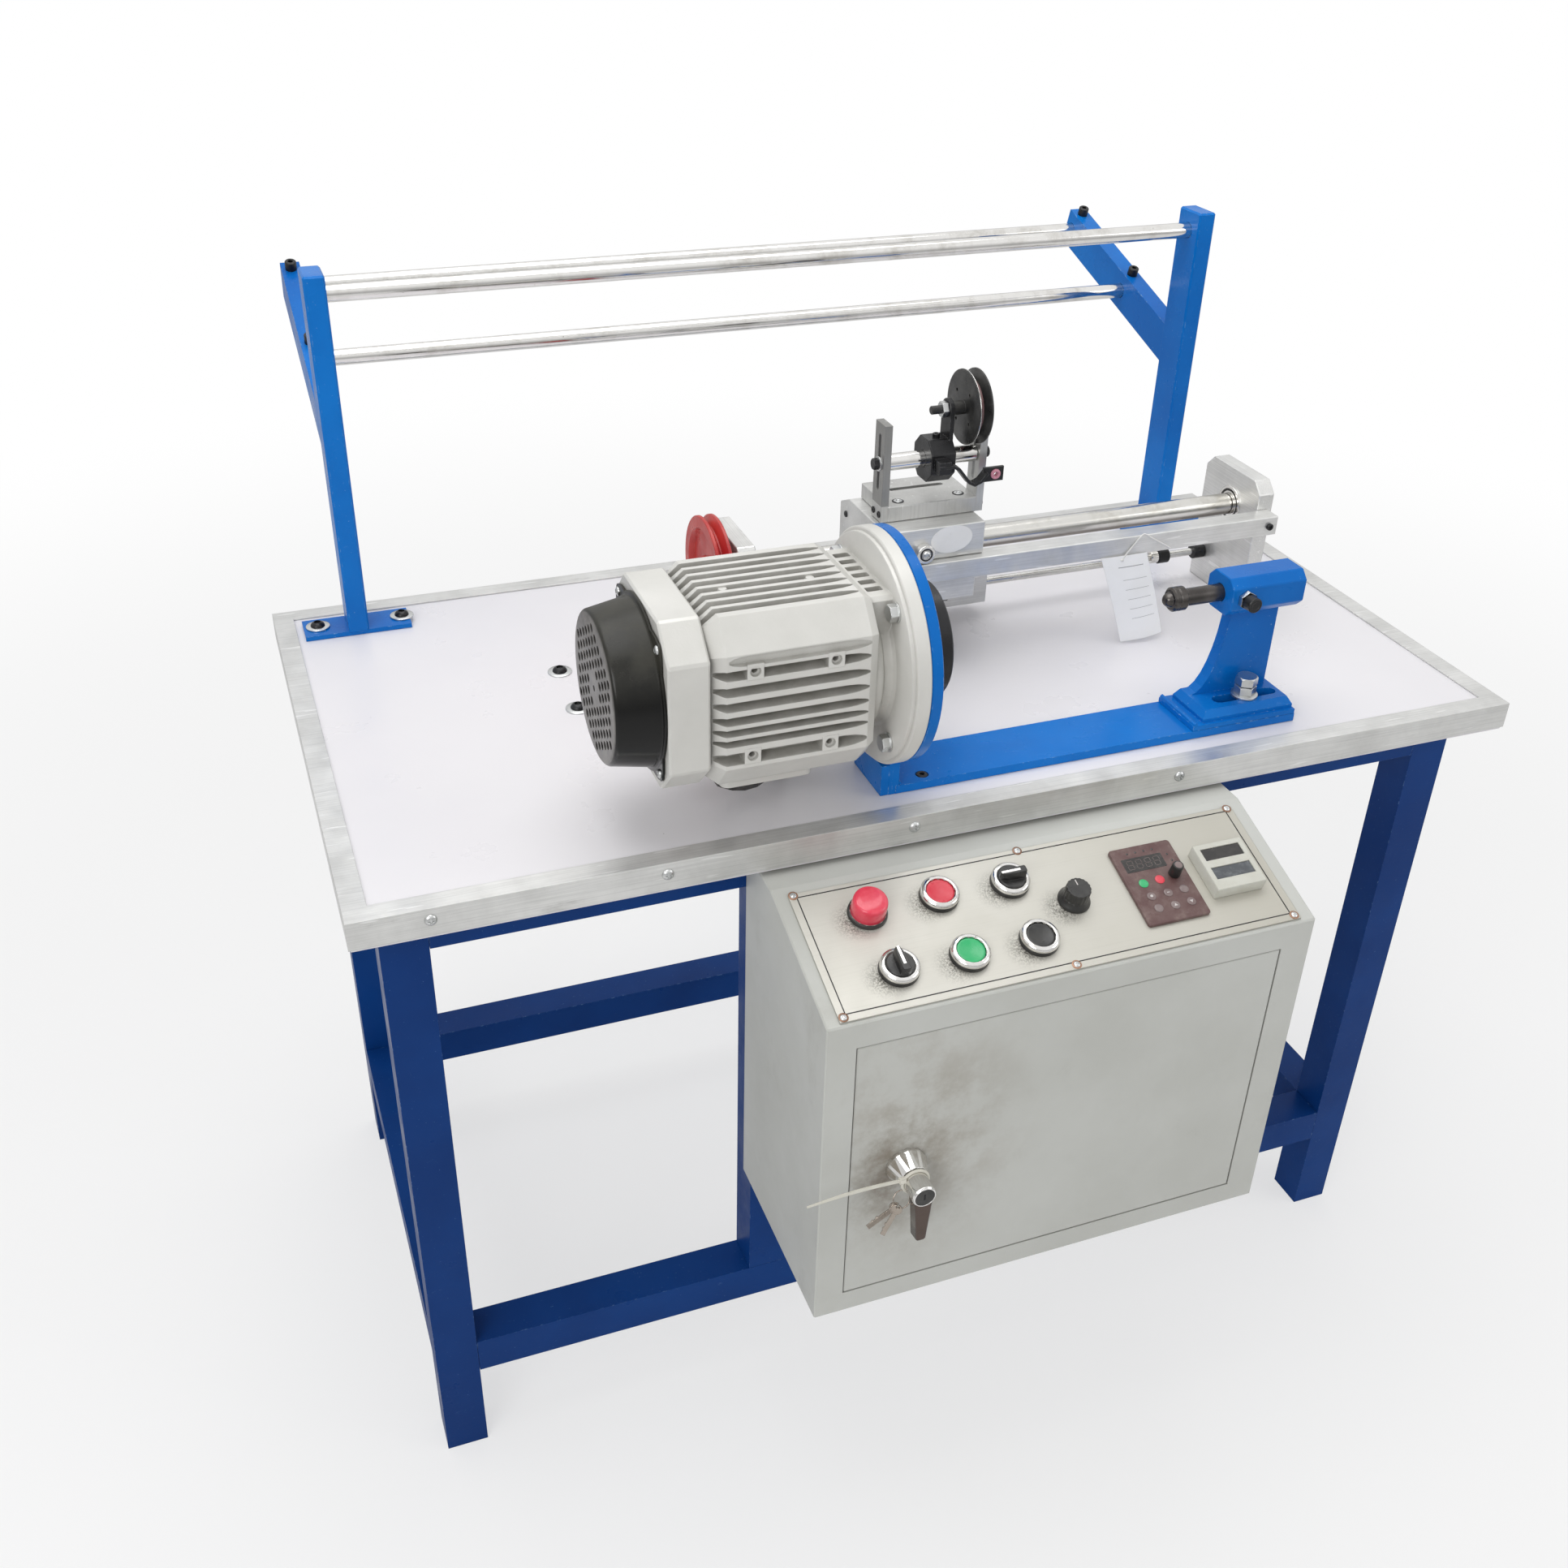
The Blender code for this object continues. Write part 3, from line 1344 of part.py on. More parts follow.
def pitch_knob():
    """Fluted knob on the front of the reversing block."""
    front_face = trip_y + trip_block_depth / 2 - trip_block_depth
    back = front_face - rest_gap
    front = back - pitch_knob_depth
    outline = ribbed(pitch_knob_x, pitch_knob_z, pitch_knob_radius, flute_depth, pitch_knob_flutes)
    grip = prism(outline, "y", front, back - pitch_knob_collar)
    collar = rod("y", (pitch_knob_x, pitch_knob_z), pitch_knob_radius * 0.7,
                 back - pitch_knob_collar - end_break, back, pin_steps)
    add("pitch_knob", united(grip, collar), black_plastic, pivot=(pitch_knob_x, back, pitch_knob_z))


def roller_middle():
    return carriage_left + roller_inset, beam_top + rest_gap + roller_radius


def carriage_roller():
    back = carriage_front - rest_gap
    front = back - roller_width
    profile = [(front, roller_radius - edge_break), (front + edge_break, roller_radius),
               (back - edge_break, roller_radius), (back, roller_radius - edge_break)]
    wheel = turned(profile, "y", roller_middle(), rod_steps)
    head_front = front - roller_head_proud
    pin = turned([(head_front, roller_pin_radius), (head_front + end_break, roller_head_radius),
                  (front + end_break, roller_head_radius), (front + end_break + set_in, roller_pin_radius),
                  (carriage_front + roller_pin_depth, roller_pin_radius)], "y", roller_middle(), pin_steps)
    x, z = roller_middle()
    add("carriage_roller", united(wheel, pin), bright_steel, pivot=(x, back, z))


def upright_middle_y():
    return top_plate_front + upright_set_back + upright_depth / 2


def carriage_top():
    """Slotted top plate with the two slotted uprights screwed to its ends."""
    low = carriage_top_z + rest_gap
    high = low + top_plate_thick
    plate = box((top_plate_left, top_plate_front, low),
                (top_plate_left + top_plate_length, top_plate_front + top_plate_depth, high))
    plate = bevelled(plate, edge_break)
    slot = prism(slot_outline(top_plate_left + top_plate_length / 2, top_plate_front + top_slot_back,
                              top_slot_length, top_slot_width), "z", low - tool_reach, high + tool_reach)
    uprights = []
    slots = [slot]
    middle_y = upright_middle_y()
    for left in (top_plate_left - upright_thick + upright_lap, top_plate_left + top_plate_length - upright_lap):
        uprights.append(box((left, middle_y - upright_depth / 2, low + set_in),
                            (left + upright_thick, middle_y + upright_depth / 2, low + upright_height)))
        middle_z = low + (upright_slot_start + upright_slot_end) / 2
        outline = slot_outline(middle_z, middle_y, upright_slot_end - upright_slot_start, upright_slot_width)
        slots.append(prism([(y, z) for z, y in outline], "x", left - tool_reach,
                           left + upright_thick + tool_reach))
    add("carriage_top", cut(united(plate, *uprights), *slots), bare_aluminium, pivot=carriage_pivot())


def cross_rod():
    """Chromed rod between the uprights, with a bolt into each end."""
    low = top_plate_left + upright_lap + rest_gap
    high = top_plate_left + top_plate_length - upright_lap - rest_gap
    middle = (upright_middle_y(), cross_rod_z)
    bar = rod("x", middle, cross_rod_radius, low, high)
    reach = upright_thick + rest_gap * 2
    bolts = []
    for shank_start, shank_end, head_start in (
            (low - reach - end_break, low + run_in, low - reach - cross_bolt_head),
            (high - run_in, high + reach + end_break, high + reach)):
        bolts.append(rod("x", middle, cross_bolt_radius, shank_start, shank_end, thin_steps))
        bolts.append(hexagon("x", middle, cross_bolt_head_radius, head_start, head_start + cross_bolt_head))
    add("cross_rod", united(bar, *bolts), chrome_finish, pivot=carriage_pivot())


# Wire guide
def clamp_middle():
    return upright_middle_y(), cross_rod_z


def guide_pivot():
    return (clamp_left, upright_middle_y(), cross_rod_z)


def guide_strip():
    """Bent strip from the clamp's front to the eyelet plate, as an outline in x and z."""
    start_z = cross_rod_z + end_break
    low_z = start_z - guide_strip_drop
    bend_left = clamp_left + clamp_length * 0.7
    low_x = clamp_left + guide_strip_end * 0.76
    end_x = clamp_left + guide_strip_end
    path = [Vector((clamp_left + run_in, start_z)), Vector((bend_left, start_z))]
    for i in range(1, curve_steps // 2 + 1):
        share = i / (curve_steps // 2)
        path.append(Vector((bend_left + (low_x - bend_left) * share,
                            start_z - guide_strip_drop * (1 - math.cos(math.pi * share)) / 2)))
    for share in (0.5, 1.0):
        path.append(Vector((low_x + (end_x - low_x) * share, low_z + guide_strip_rise * share ** 2)))
    half = guide_strip_thick / 2
    upper, lower = [], []
    for i, point in enumerate(path):
        ahead = path[min(i + 1, len(path) - 1)]
        behind = path[max(i - 1, 0)]
        along = (ahead - behind).normalized()
        side = Vector((-along.y, along.x)) * half
        upper.append(tuple(point + side))
        lower.append(tuple(point - side))
    return path[-1], lower + upper[::-1]


def guide_arm():
    """Black clamp with the pulley's arm above and the eyelet strip in front."""
    y_mid, z_mid = clamp_middle()
    right = clamp_left + clamp_length
    block = prism(chamfered(y_mid, z_mid, clamp_half, clamp_half, clamp_chamfer), "x", clamp_left, right)
    arm_left = right - arm_thick - set_in
    half = arm_width / 2
    outline = [(axle_y - half, z_mid), (axle_y + half, z_mid)] + arc(axle_y, axle_z, half, 0, 180, curve_steps)
    arm = prism(outline, "x", arm_left, arm_left + arm_thick)
    strip_end, outline = guide_strip()
    strip_back = guide_strip_front + guide_strip_width
    strip = prism(outline, "y", guide_strip_front, strip_back)
    base_left = clamp_left + run_in
    base = box((base_left, guide_strip_front + end_break, z_mid - guide_base_width / 2),
               (base_left + guide_base_width, y_mid - clamp_half + run_in, z_mid + guide_base_width / 2))
    plate_left = strip_end.x - run_in
    plate_front = guide_strip_front + eyelet_plate_back
    plate_middle = strip_end.y - run_in
    plate = box((plate_left, plate_front, plate_middle - eyelet_plate_height / 2),
                (plate_left + eyelet_plate_length, plate_front + guide_strip_thick,
                 plate_middle + eyelet_plate_height / 2))
    bore = rod("x", (y_mid, z_mid), cross_rod_radius + slide_gap, clamp_left - tool_reach, right + tool_reach)
    axle_hole = rod("x", (axle_y, axle_z), axle_radius + slide_gap, arm_left - tool_reach,
                    arm_left + arm_thick + tool_reach)
    eyelet = rod("y", (plate_left + eyelet_place, plate_middle), eyelet_radius, plate_front - tool_reach,
                 plate_front + tool_reach, thin_steps)
    whole = united(bevelled(block, edge_break), arm, strip, base, plate)
    add("guide_arm", cut(whole, bore, axle_hole, eyelet), black_steel, pivot=guide_pivot())


def guide_pulley():
    """Two black dished discs with a groove between them, on a stub axle."""
    arm_right = clamp_left + clamp_length - set_in
    arm_left = arm_right - arm_thick
    groove = pulley_radius - pulley_groove
    left, right = pulley_left, pulley_left + pulley_width
    middle = (left + right) / 2
    wall = pulley_rim_thick
    hub_right = right + moulded_break
    axle_profile = [(arm_left - axle_left_reach, axle_radius),
                    (arm_left - rest_gap - axle_nut_thick, axle_radius),
                    (arm_left - rest_gap - axle_nut_thick, axle_nut_radius),
                    (arm_left - rest_gap, axle_nut_radius), (arm_left - rest_gap, axle_radius),
                    (arm_right + rest_gap, axle_radius), (arm_right + rest_gap, pulley_hub_radius),
                    (hub_right, pulley_hub_radius)]
    axle = turned(axle_profile, "x", (axle_y, axle_z), pin_steps)
    profile = [(left, pulley_radius), (left + wall, pulley_radius), (middle - pulley_root_width / 2, groove),
               (middle + pulley_root_width / 2, groove), (right - wall, pulley_radius), (right, pulley_radius)]
    discs = turned(profile, "x", (axle_y, axle_z), wheel_steps)
    add("guide_pulley", united(axle, discs), black_plastic, pivot=(pulley_left, axle_y, axle_z))


# Cabinet
def panel_matrix():
    """From the sloping panel's coordinates to bench coordinates: x across, y up the slope, z out."""
    return (Matrix.Translation((0.0, cabinet_shelf_front, -cabinet_top_drop))
            @ Matrix.Rotation(slope, 4, "X"))


def panel_frame():
    frame = bpy.data.objects.new("panel_frame", None)
    bpy.context.scene.collection.objects.link(frame)
    frame.location = Vector((0.0, cabinet_shelf_front, -cabinet_top_drop)) + origin_shift
    frame.rotation_euler = (slope, 0.0, 0.0)
    return frame


def cabinet_outline(inset):
    """Side view of the cabinet as y and z, moved inwards by inset."""
    back = frame_inset_front - rest_gap
    lean = math.tan(slope / 2) * inset
    steep = math.tan((math.pi / 2 - slope) / 2) * inset
    return [(back - inset, -cabinet_top_drop - inset),
            (cabinet_shelf_front + lean, -cabinet_top_drop - inset),
            (cabinet_front + inset, cabinet_front_top - steep),
            (cabinet_front + inset, cabinet_bottom + inset),
            (back - inset, cabinet_bottom + inset)]


def switch_places():
    return (lamp_place, stop_place, inching_place, power_place, start_place, reset_place)


def panel_openings(clearance):
    """Tools that cut the holes behind the panel's instruments, in panel coordinates."""
    tools = []
    deep, proud = -tool_reach, tool_reach
    for x, down in switch_places():
        tools.append(rod("z", (x, -down), switch_hole_radius + clearance, deep, proud, pin_steps))
    side = (counter_side - counter_body_side) / 2 - clearance
    tools.append(box((counter_left + side, -counter_upper - counter_side + side, deep),
                     (counter_left + counter_side - side, -counter_upper - side, proud)))
    edge = keypad_cut_in - clearance
    tools.append(box((keypad_left + edge, -keypad_lower + edge, deep),
                     (keypad_right - edge, -keypad_upper - edge, proud)))
    return tools


def cabinet_shell():
    left, right = cabinet_left, cabinet_left + cabinet_width
    wall = cabinet_wall
    shell = bevelled(prism(cabinet_outline(0.0), "x", left, right), moulded_break)
    hollow = prism(cabinet_outline(wall), "x", left + wall, right - wall)
    doorway = box((door_left - door_gap, cabinet_front - tool_reach, door_bottom - door_gap),
                  (door_right + door_gap, cabinet_front + wall + run_in, door_top + door_gap))
    hole_x, hole_y = cable_hole()
    cable_entry = rod("y", (hole_x, cable_entry_z()), cable_radius + gland_clearance,
                      frame_inset_front - tool_reach, frame_inset_front + tool_reach, pin_steps)
    shell = cut(shell, hollow, doorway, cable_entry)
    openings = [moved(tool, panel_matrix()) for tool in panel_openings(cut_out_clearance)]
    shell = cut(shell, *openings)
    stop_back = cabinet_front + door_return + rest_gap + wall
    low_x, high_x = door_left - door_gap, door_right + door_gap
    low_z, high_z = door_bottom - door_gap, door_top + door_gap
    reveal_outer = rectangle(low_x - wall, low_z - wall, high_x + wall, high_z + wall)
    reveal_inner = rectangle(low_x, low_z, high_x, high_z)
    reveal = sleeve(reveal_outer, reveal_inner, "y", cabinet_front + wall - set_in, stop_back)
    stop_inner = rectangle(low_x + door_lip, low_z + door_lip, high_x - door_lip, high_z - door_lip)
    stop = sleeve(rectangle(low_x - wall / 2, low_z - wall / 2, high_x + wall / 2, high_z + wall / 2),
                  stop_inner, "y", stop_back - wall, stop_back - set_in)
    add("cabinet_shell", united(shell, united(reveal, stop)), cabinet_grey)


def door_hinge_x():
    return door_right + door_gap / 2


def cabinet_door():
    """Tray-shaped door with its returns, and the lock's chromed collar."""
    wall = cabinet_wall
    front = cabinet_front
    tray = box((door_left, front, door_bottom), (door_right, front + door_return, door_top))
    hollow = box((door_left + wall, front + wall, door_bottom + wall),
                 (door_right - wall, front + door_return + tool_reach, door_top - wall))
    tray = cut(bevelled(tray, edge_break), hollow)
    middle = (lock_x, lock_z)
    tip = front - lock_cone_length
    rim = front - lock_cone_rim
    collar = turned([(front + wall / 2, lock_cone_radius), (rim, lock_cone_radius),
                     (rim - end_break, lock_cone_radius - set_in), (tip, lock_cone_tip_radius)],
                    "y", middle, shaft_steps)
    barrel = rod("y", middle, lock_barrel_radius, front + wall / 2, front + door_return - end_break)
    bore = rod("y", middle, lock_stem_radius + slide_gap, tip - tool_reach, front + door_return + tool_reach)
    door = cut(united(tray, collar, barrel), bore)
    add("cabinet_door", door, cabinet_grey, pivot=(door_hinge_x(), cabinet_front, lock_z))


def lock_handle():
    """Turning handle with its spindle through the door and the tongue that holds it shut."""
    middle = (lock_x, lock_z)
    collar_tip = cabinet_front - lock_cone_length - rest_gap
    front = lock_handle_front
    tongue_back = cabinet_front + door_return + rest_gap * 2 + cabinet_wall * 2 + lock_tongue_thick
    hub = turned([(front, lock_shaft_radius - end_break), (front + end_break, lock_shaft_radius),
                  (collar_tip, lock_shaft_radius)], "y", middle, rod_steps)
    stem = rod("y", middle, lock_stem_radius, front + run_in, tongue_back)
    half = lock_arm_width / 2
    tip_half = lock_arm_tip_width / 2
    low = lock_z - lock_arm_length
    outline = ([(lock_x - tip_half, low), (lock_x + tip_half, low), (lock_x + half, lock_z)]
               + arc(lock_x, lock_z, half, 0, 180, curve_steps)[1:])
    arm = prism(outline, "y", front + set_in, front + set_in + lock_arm_thick)
    tongue_front = tongue_back - lock_tongue_thick
    tongue = box((lock_x - lock_tongue_width / 2, tongue_front, lock_z - lock_tongue_width / 2),
                 (lock_x + lock_tongue_width / 2, tongue_back - set_in, lock_z + lock_tongue_length))
    add("lock_handle", united(hub, stem, bevelled(arm, moulded_break), tongue),
        chrome_finish, pivot=(lock_x, cabinet_front, lock_z))


# Operator panel
def control_panel(frame):
    """Plate with its switch bezels in front and their contact blocks behind."""
    low = rest_gap
    high = low + panel_thick
    plate = box((panel_left, -panel_lower, low), (panel_right, -panel_upper, high))
    openings = panel_openings(0.0)
    plate = cut(plate, *openings[len(switch_places()):])
    bezels = []
    blocks = []
    for x, down in switch_places():
        inner = bezel_radius - bezel_wall
        rim = high + bezel_height
        profile = [(high - set_in, inner), (high - set_in, bezel_radius),
                   (high + bezel_height / 2, bezel_radius), (rim, inner)]
        bezels.append(turned(profile, "z", (x, -down), switch_steps, ring=True))
        blocks.append(rod("z", (x, -down), switch_hole_radius, -contact_neck_length, high - set_in, pin_steps))
        half = contact_block_side / 2
        blocks.append(box((x - half, -down - half, -contact_block_length),
                          (x + half, -down + half, run_in - contact_neck_length)))
    add("control_panel", united(plate, *bezels, *blocks), panel_silver, parent=frame)


def cap_radius():
    return bezel_radius - bezel_wall - slide_gap


def panel_face():
    return rest_gap + panel_thick


def buttons(frame):
    for name, place, finish in (("stop_button", stop_place, red_plastic),
                                ("start_button", start_place, green_plastic),
                                ("reset_button", reset_place, black_plastic)):
        low = panel_face() + button_travel + rest_gap
        high = panel_face() + button_height
        radius = cap_radius()
        profile = [(low, radius), (high - cap_round, radius), (high, radius - cap_round)]
        x, down = place
        add(name, turned(profile, "z", (x, -down), switch_steps), finish, pivot=(x, -down, low), parent=frame)


def pilot_lamp(frame):
    x, down = lamp_place
    low = panel_face() + rest_gap
    radius = cap_radius()
    wide = bezel_radius - edge_break
    base = panel_face() + bezel_height + rest_gap
    high = panel_face() + lamp_height
    profile = [(low, radius), (base, radius), (base, wide), (high - lamp_round, wide - set_in),
               (high - lamp_round / 3, wide - lamp_round / 2), (high, wide - lamp_round)]
    add("pilot_lamp", turned(profile, "z", (x, -down), switch_steps), red_plastic, pivot=(x, -down, low),
        parent=frame)


def selectors(frame):
    """Two switches with a turned collar and a raised finger bar."""
    for name, place, turn in (("power_switch", power_place, power_turn),
                              ("inching_switch", inching_place, inching_turn)):
        x, down = place
        low = panel_face() + rest_gap
        radius = cap_radius()
        collar_high = panel_face() + bezel_height + selector_collar_proud
        collar = turned([(low, radius), (collar_high - end_break, radius), (collar_high, radius - end_break)],
                        "z", (0, 0), switch_steps)
        half = selector_bar_width / 2
        high = panel_face() + selector_height
        tail = -radius + end_break
        shoulder = radius - set_in - selector_point_in
        outline = [(-half, tail), (half, tail), (half * 0.75, shoulder), (0.0, radius - set_in),
                   (-half * 0.75, shoulder)]
        bar = bevelled(prism(outline, "z", collar_high - run_in, high), edge_break)
        whole = united(collar, bar)
        moved(whole, Matrix.Translation((x, -down, 0)) @ Matrix.Rotation(math.radians(turn), 4, "Z"))
        add(name, whole, black_plastic, pivot=(x, -down, low), parent=frame)


def speed_knob(frame):
    """Ribbed knob with a skirt."""
    x, down = speed_place
    low = panel_face() + rest_gap
    high = panel_face() + knob_height
    outlines = []
    levels = [low + run_in, high - moulded_break, high]
    for narrow in (0.0, knob_taper, knob_taper + moulded_break):
        outlines.append(ribbed(x, -down, knob_radius - narrow, flute_depth, knob_ribs))
    body = loft(outlines, "z", levels)
    skirt = turned([(low, knob_radius + knob_skirt_reach), (low + end_break, knob_radius + knob_skirt_reach),
                    (low + knob_skirt_height, knob_radius - set_in)], "z", (x, -down), switch_steps)
    add("speed_knob", united(skirt, body), black_plastic, pivot=(x, -down, low), parent=frame)


def inverter_keypad(frame):
    low = panel_face() + rest_gap
    high = low + keypad_thick
    plate = bevelled(box((keypad_left, -keypad_lower, low), (keypad_right, -keypad_upper, high)), edge_break)
    edge = keypad_body_in
    body = box((keypad_left + edge, -keypad_lower + edge, -keypad_body_depth),
               (keypad_right - edge, -keypad_upper - edge, low + end_break))
    add("inverter_keypad", united(plate, body), maroon_plastic, parent=frame)

    x, down = keypad_knob_place
    knob_low = high + rest_gap
    knob_high = knob_low + keypad_knob_height
    profile = [(knob_low, keypad_knob_radius), (knob_high - end_break, keypad_knob_radius - edge_break),
               (knob_high, keypad_knob_radius - edge_break - end_break)]
    add("keypad_knob", turned(profile, "z", (x, -down), pin_steps), black_plastic,
        pivot=(x, -down, knob_low), parent=frame)


def counter(frame):
    low = panel_face() + rest_gap
    high = low + counter_proud
    upper = -counter_upper
    lower = -counter_upper - counter_side
    face = bevelled(box((counter_left, lower, low), (counter_left + counter_side, upper, high)), moulded_break)
    side = (counter_side - counter_body_side) / 2
    body = box((counter_left + side, lower + side, -counter_body_depth),
               (counter_left + counter_side - side, upper - side, low + end_break))
    windows = []
    for drop in counter_window_drops:
        windows.append(box((counter_left + counter_window_in, upper - drop - counter_window_height,
                            high - counter_window_depth),
                           (counter_left + counter_side - counter_window_in, upper - drop, high + tool_reach)))
    add("counter", cut(united(face, body), *windows), beige_plastic, parent=frame)


def electrics_plate():
    """Mounting plate on the back wall with the inverter, contactor and terminal strip."""
    back = frame_inset_front - rest_gap - cabinet_wall - rest_gap
    front = back - backplate_thick
    middle_x = cabinet_left + cabinet_width / 2
    middle_z = (door_top + door_bottom) / 2
    plate = box((middle_x - backplate_width / 2, front, middle_z - backplate_height / 2),
                (middle_x + backplate_width / 2, back, middle_z + backplate_height / 2))
    units = []
    placed = [(inverter_size, inverter_place), (terminal_size, terminal_place)]
    placed += [(contactor_size, place) for place in contactor_places]
    for (wide, deep, tall), (across, up) in placed:
        centre_x, centre_z = middle_x + across, middle_z + up
        unit = box((centre_x - wide / 2, front - deep, centre_z - tall / 2),
                   (centre_x + wide / 2, front + backplate_thick / 2, centre_z + tall / 2))
        units.append(bevelled(unit, moulded_break))
    add("electrics_plate", united(plate, *units), zinc_plate)


def build():
    clear_scene()
    bench_frame()
    tabletop()
    table_trim()
    rod_stands()
    motor_housing()
    fan_shroud()
    fan_cover()
    motor_rotor()
    motor_cable()
    headstock()
    face_plate()
    tailstock()
    tailstock_quill()
    tailstock_screws()
    traverse_plates()
    traverse_drive()
    traverse_beam()
    trip_rod()
    carriage_body()
    pitch_knob()
    carriage_roller()
    carriage_top()
    cross_rod()
    guide_arm()
    guide_pulley()
    cabinet_shell()
    cabinet_door()
    lock_handle()
    frame = panel_frame()
    control_panel(frame)
    pilot_lamp(frame)
    buttons(frame)
    selectors(frame)
    speed_knob(frame)
    inverter_keypad(frame)
    counter(frame)
    electrics_plate()


build()
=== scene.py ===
"""Looks of the electric winding machine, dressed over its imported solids.

Places are told in bench coordinates, as the solids are: x from the table's left edge,
y from its front edge, z up from the laminate. Sizes are metres.
"""
import math

import bmesh
import bpy
from mathutils import Matrix, Vector


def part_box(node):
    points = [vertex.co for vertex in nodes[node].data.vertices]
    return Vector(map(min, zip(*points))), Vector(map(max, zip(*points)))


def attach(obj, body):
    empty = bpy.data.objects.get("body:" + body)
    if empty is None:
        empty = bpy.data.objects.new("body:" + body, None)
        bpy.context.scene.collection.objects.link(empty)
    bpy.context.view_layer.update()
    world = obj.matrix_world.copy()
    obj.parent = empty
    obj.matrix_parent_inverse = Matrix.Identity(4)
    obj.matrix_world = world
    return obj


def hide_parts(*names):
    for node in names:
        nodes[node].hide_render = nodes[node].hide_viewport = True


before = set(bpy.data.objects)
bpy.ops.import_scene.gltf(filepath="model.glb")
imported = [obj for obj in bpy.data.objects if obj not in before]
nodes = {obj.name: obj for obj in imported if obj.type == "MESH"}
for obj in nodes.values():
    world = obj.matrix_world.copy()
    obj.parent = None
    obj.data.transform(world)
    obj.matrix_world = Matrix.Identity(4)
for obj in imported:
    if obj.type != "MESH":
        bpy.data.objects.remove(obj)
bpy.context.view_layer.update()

# Where the bench's own coordinates start
trim_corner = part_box("table_trim")[0]
board_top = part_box("tabletop")[1]
origin = Vector((trim_corner.x, trim_corner.y, board_top.z))

# Camera, fitted to the edges of the table in the photograph
photo_side = 1932
focal_pixels = 2002.2
sensor_width = 36.0
camera_heading = math.radians(21.04)
camera_pitch = math.radians(31.98)
camera_roll = math.radians(1.39)
camera_place = Vector((-0.0445, -1.0351, 0.7501))

# Places on the machine that the details are set from
panel_shelf_front = -0.020
panel_top_drop = 0.030
cabinet_front = -0.151
cabinet_front_top = -0.074
panel_face = 0.0018
lock_axis = (0.413, -0.241)
spindle = (0.070, 0.132)
flange_back = 0.4493
drive_shaft = (0.313, 0.101)
back_plate_front = 0.0359

# Painted shade on the carriage's left upright, which renders darker than the right one: its middle along x,
# how far to each side, from what height
shaded_upright = (0.557, 0.0055, 0.1605)


def set_camera():
    data = bpy.data.cameras.new("camera")
    data.sensor_width = sensor_width
    data.lens = focal_pixels / photo_side * sensor_width
    data.clip_start = 0.05
    data.clip_end = 60.0
    camera = bpy.data.objects.new("camera", data)
    bpy.context.scene.collection.objects.link(camera)
    forward = Vector((math.sin(camera_heading) * math.cos(camera_pitch),
                      math.cos(camera_heading) * math.cos(camera_pitch), -math.sin(camera_pitch)))
    level_right = Vector((math.cos(camera_heading), -math.sin(camera_heading), 0.0))
    level_down = forward.cross(level_right)
    right = math.cos(camera_roll) * level_right - math.sin(camera_roll) * level_down
    down = math.sin(camera_roll) * level_right + math.cos(camera_roll) * level_down
    turn = Matrix((right, -down, -forward)).transposed().to_4x4()
    camera.matrix_world = Matrix.Translation(origin + camera_place) @ turn
    bpy.context.scene.camera = camera


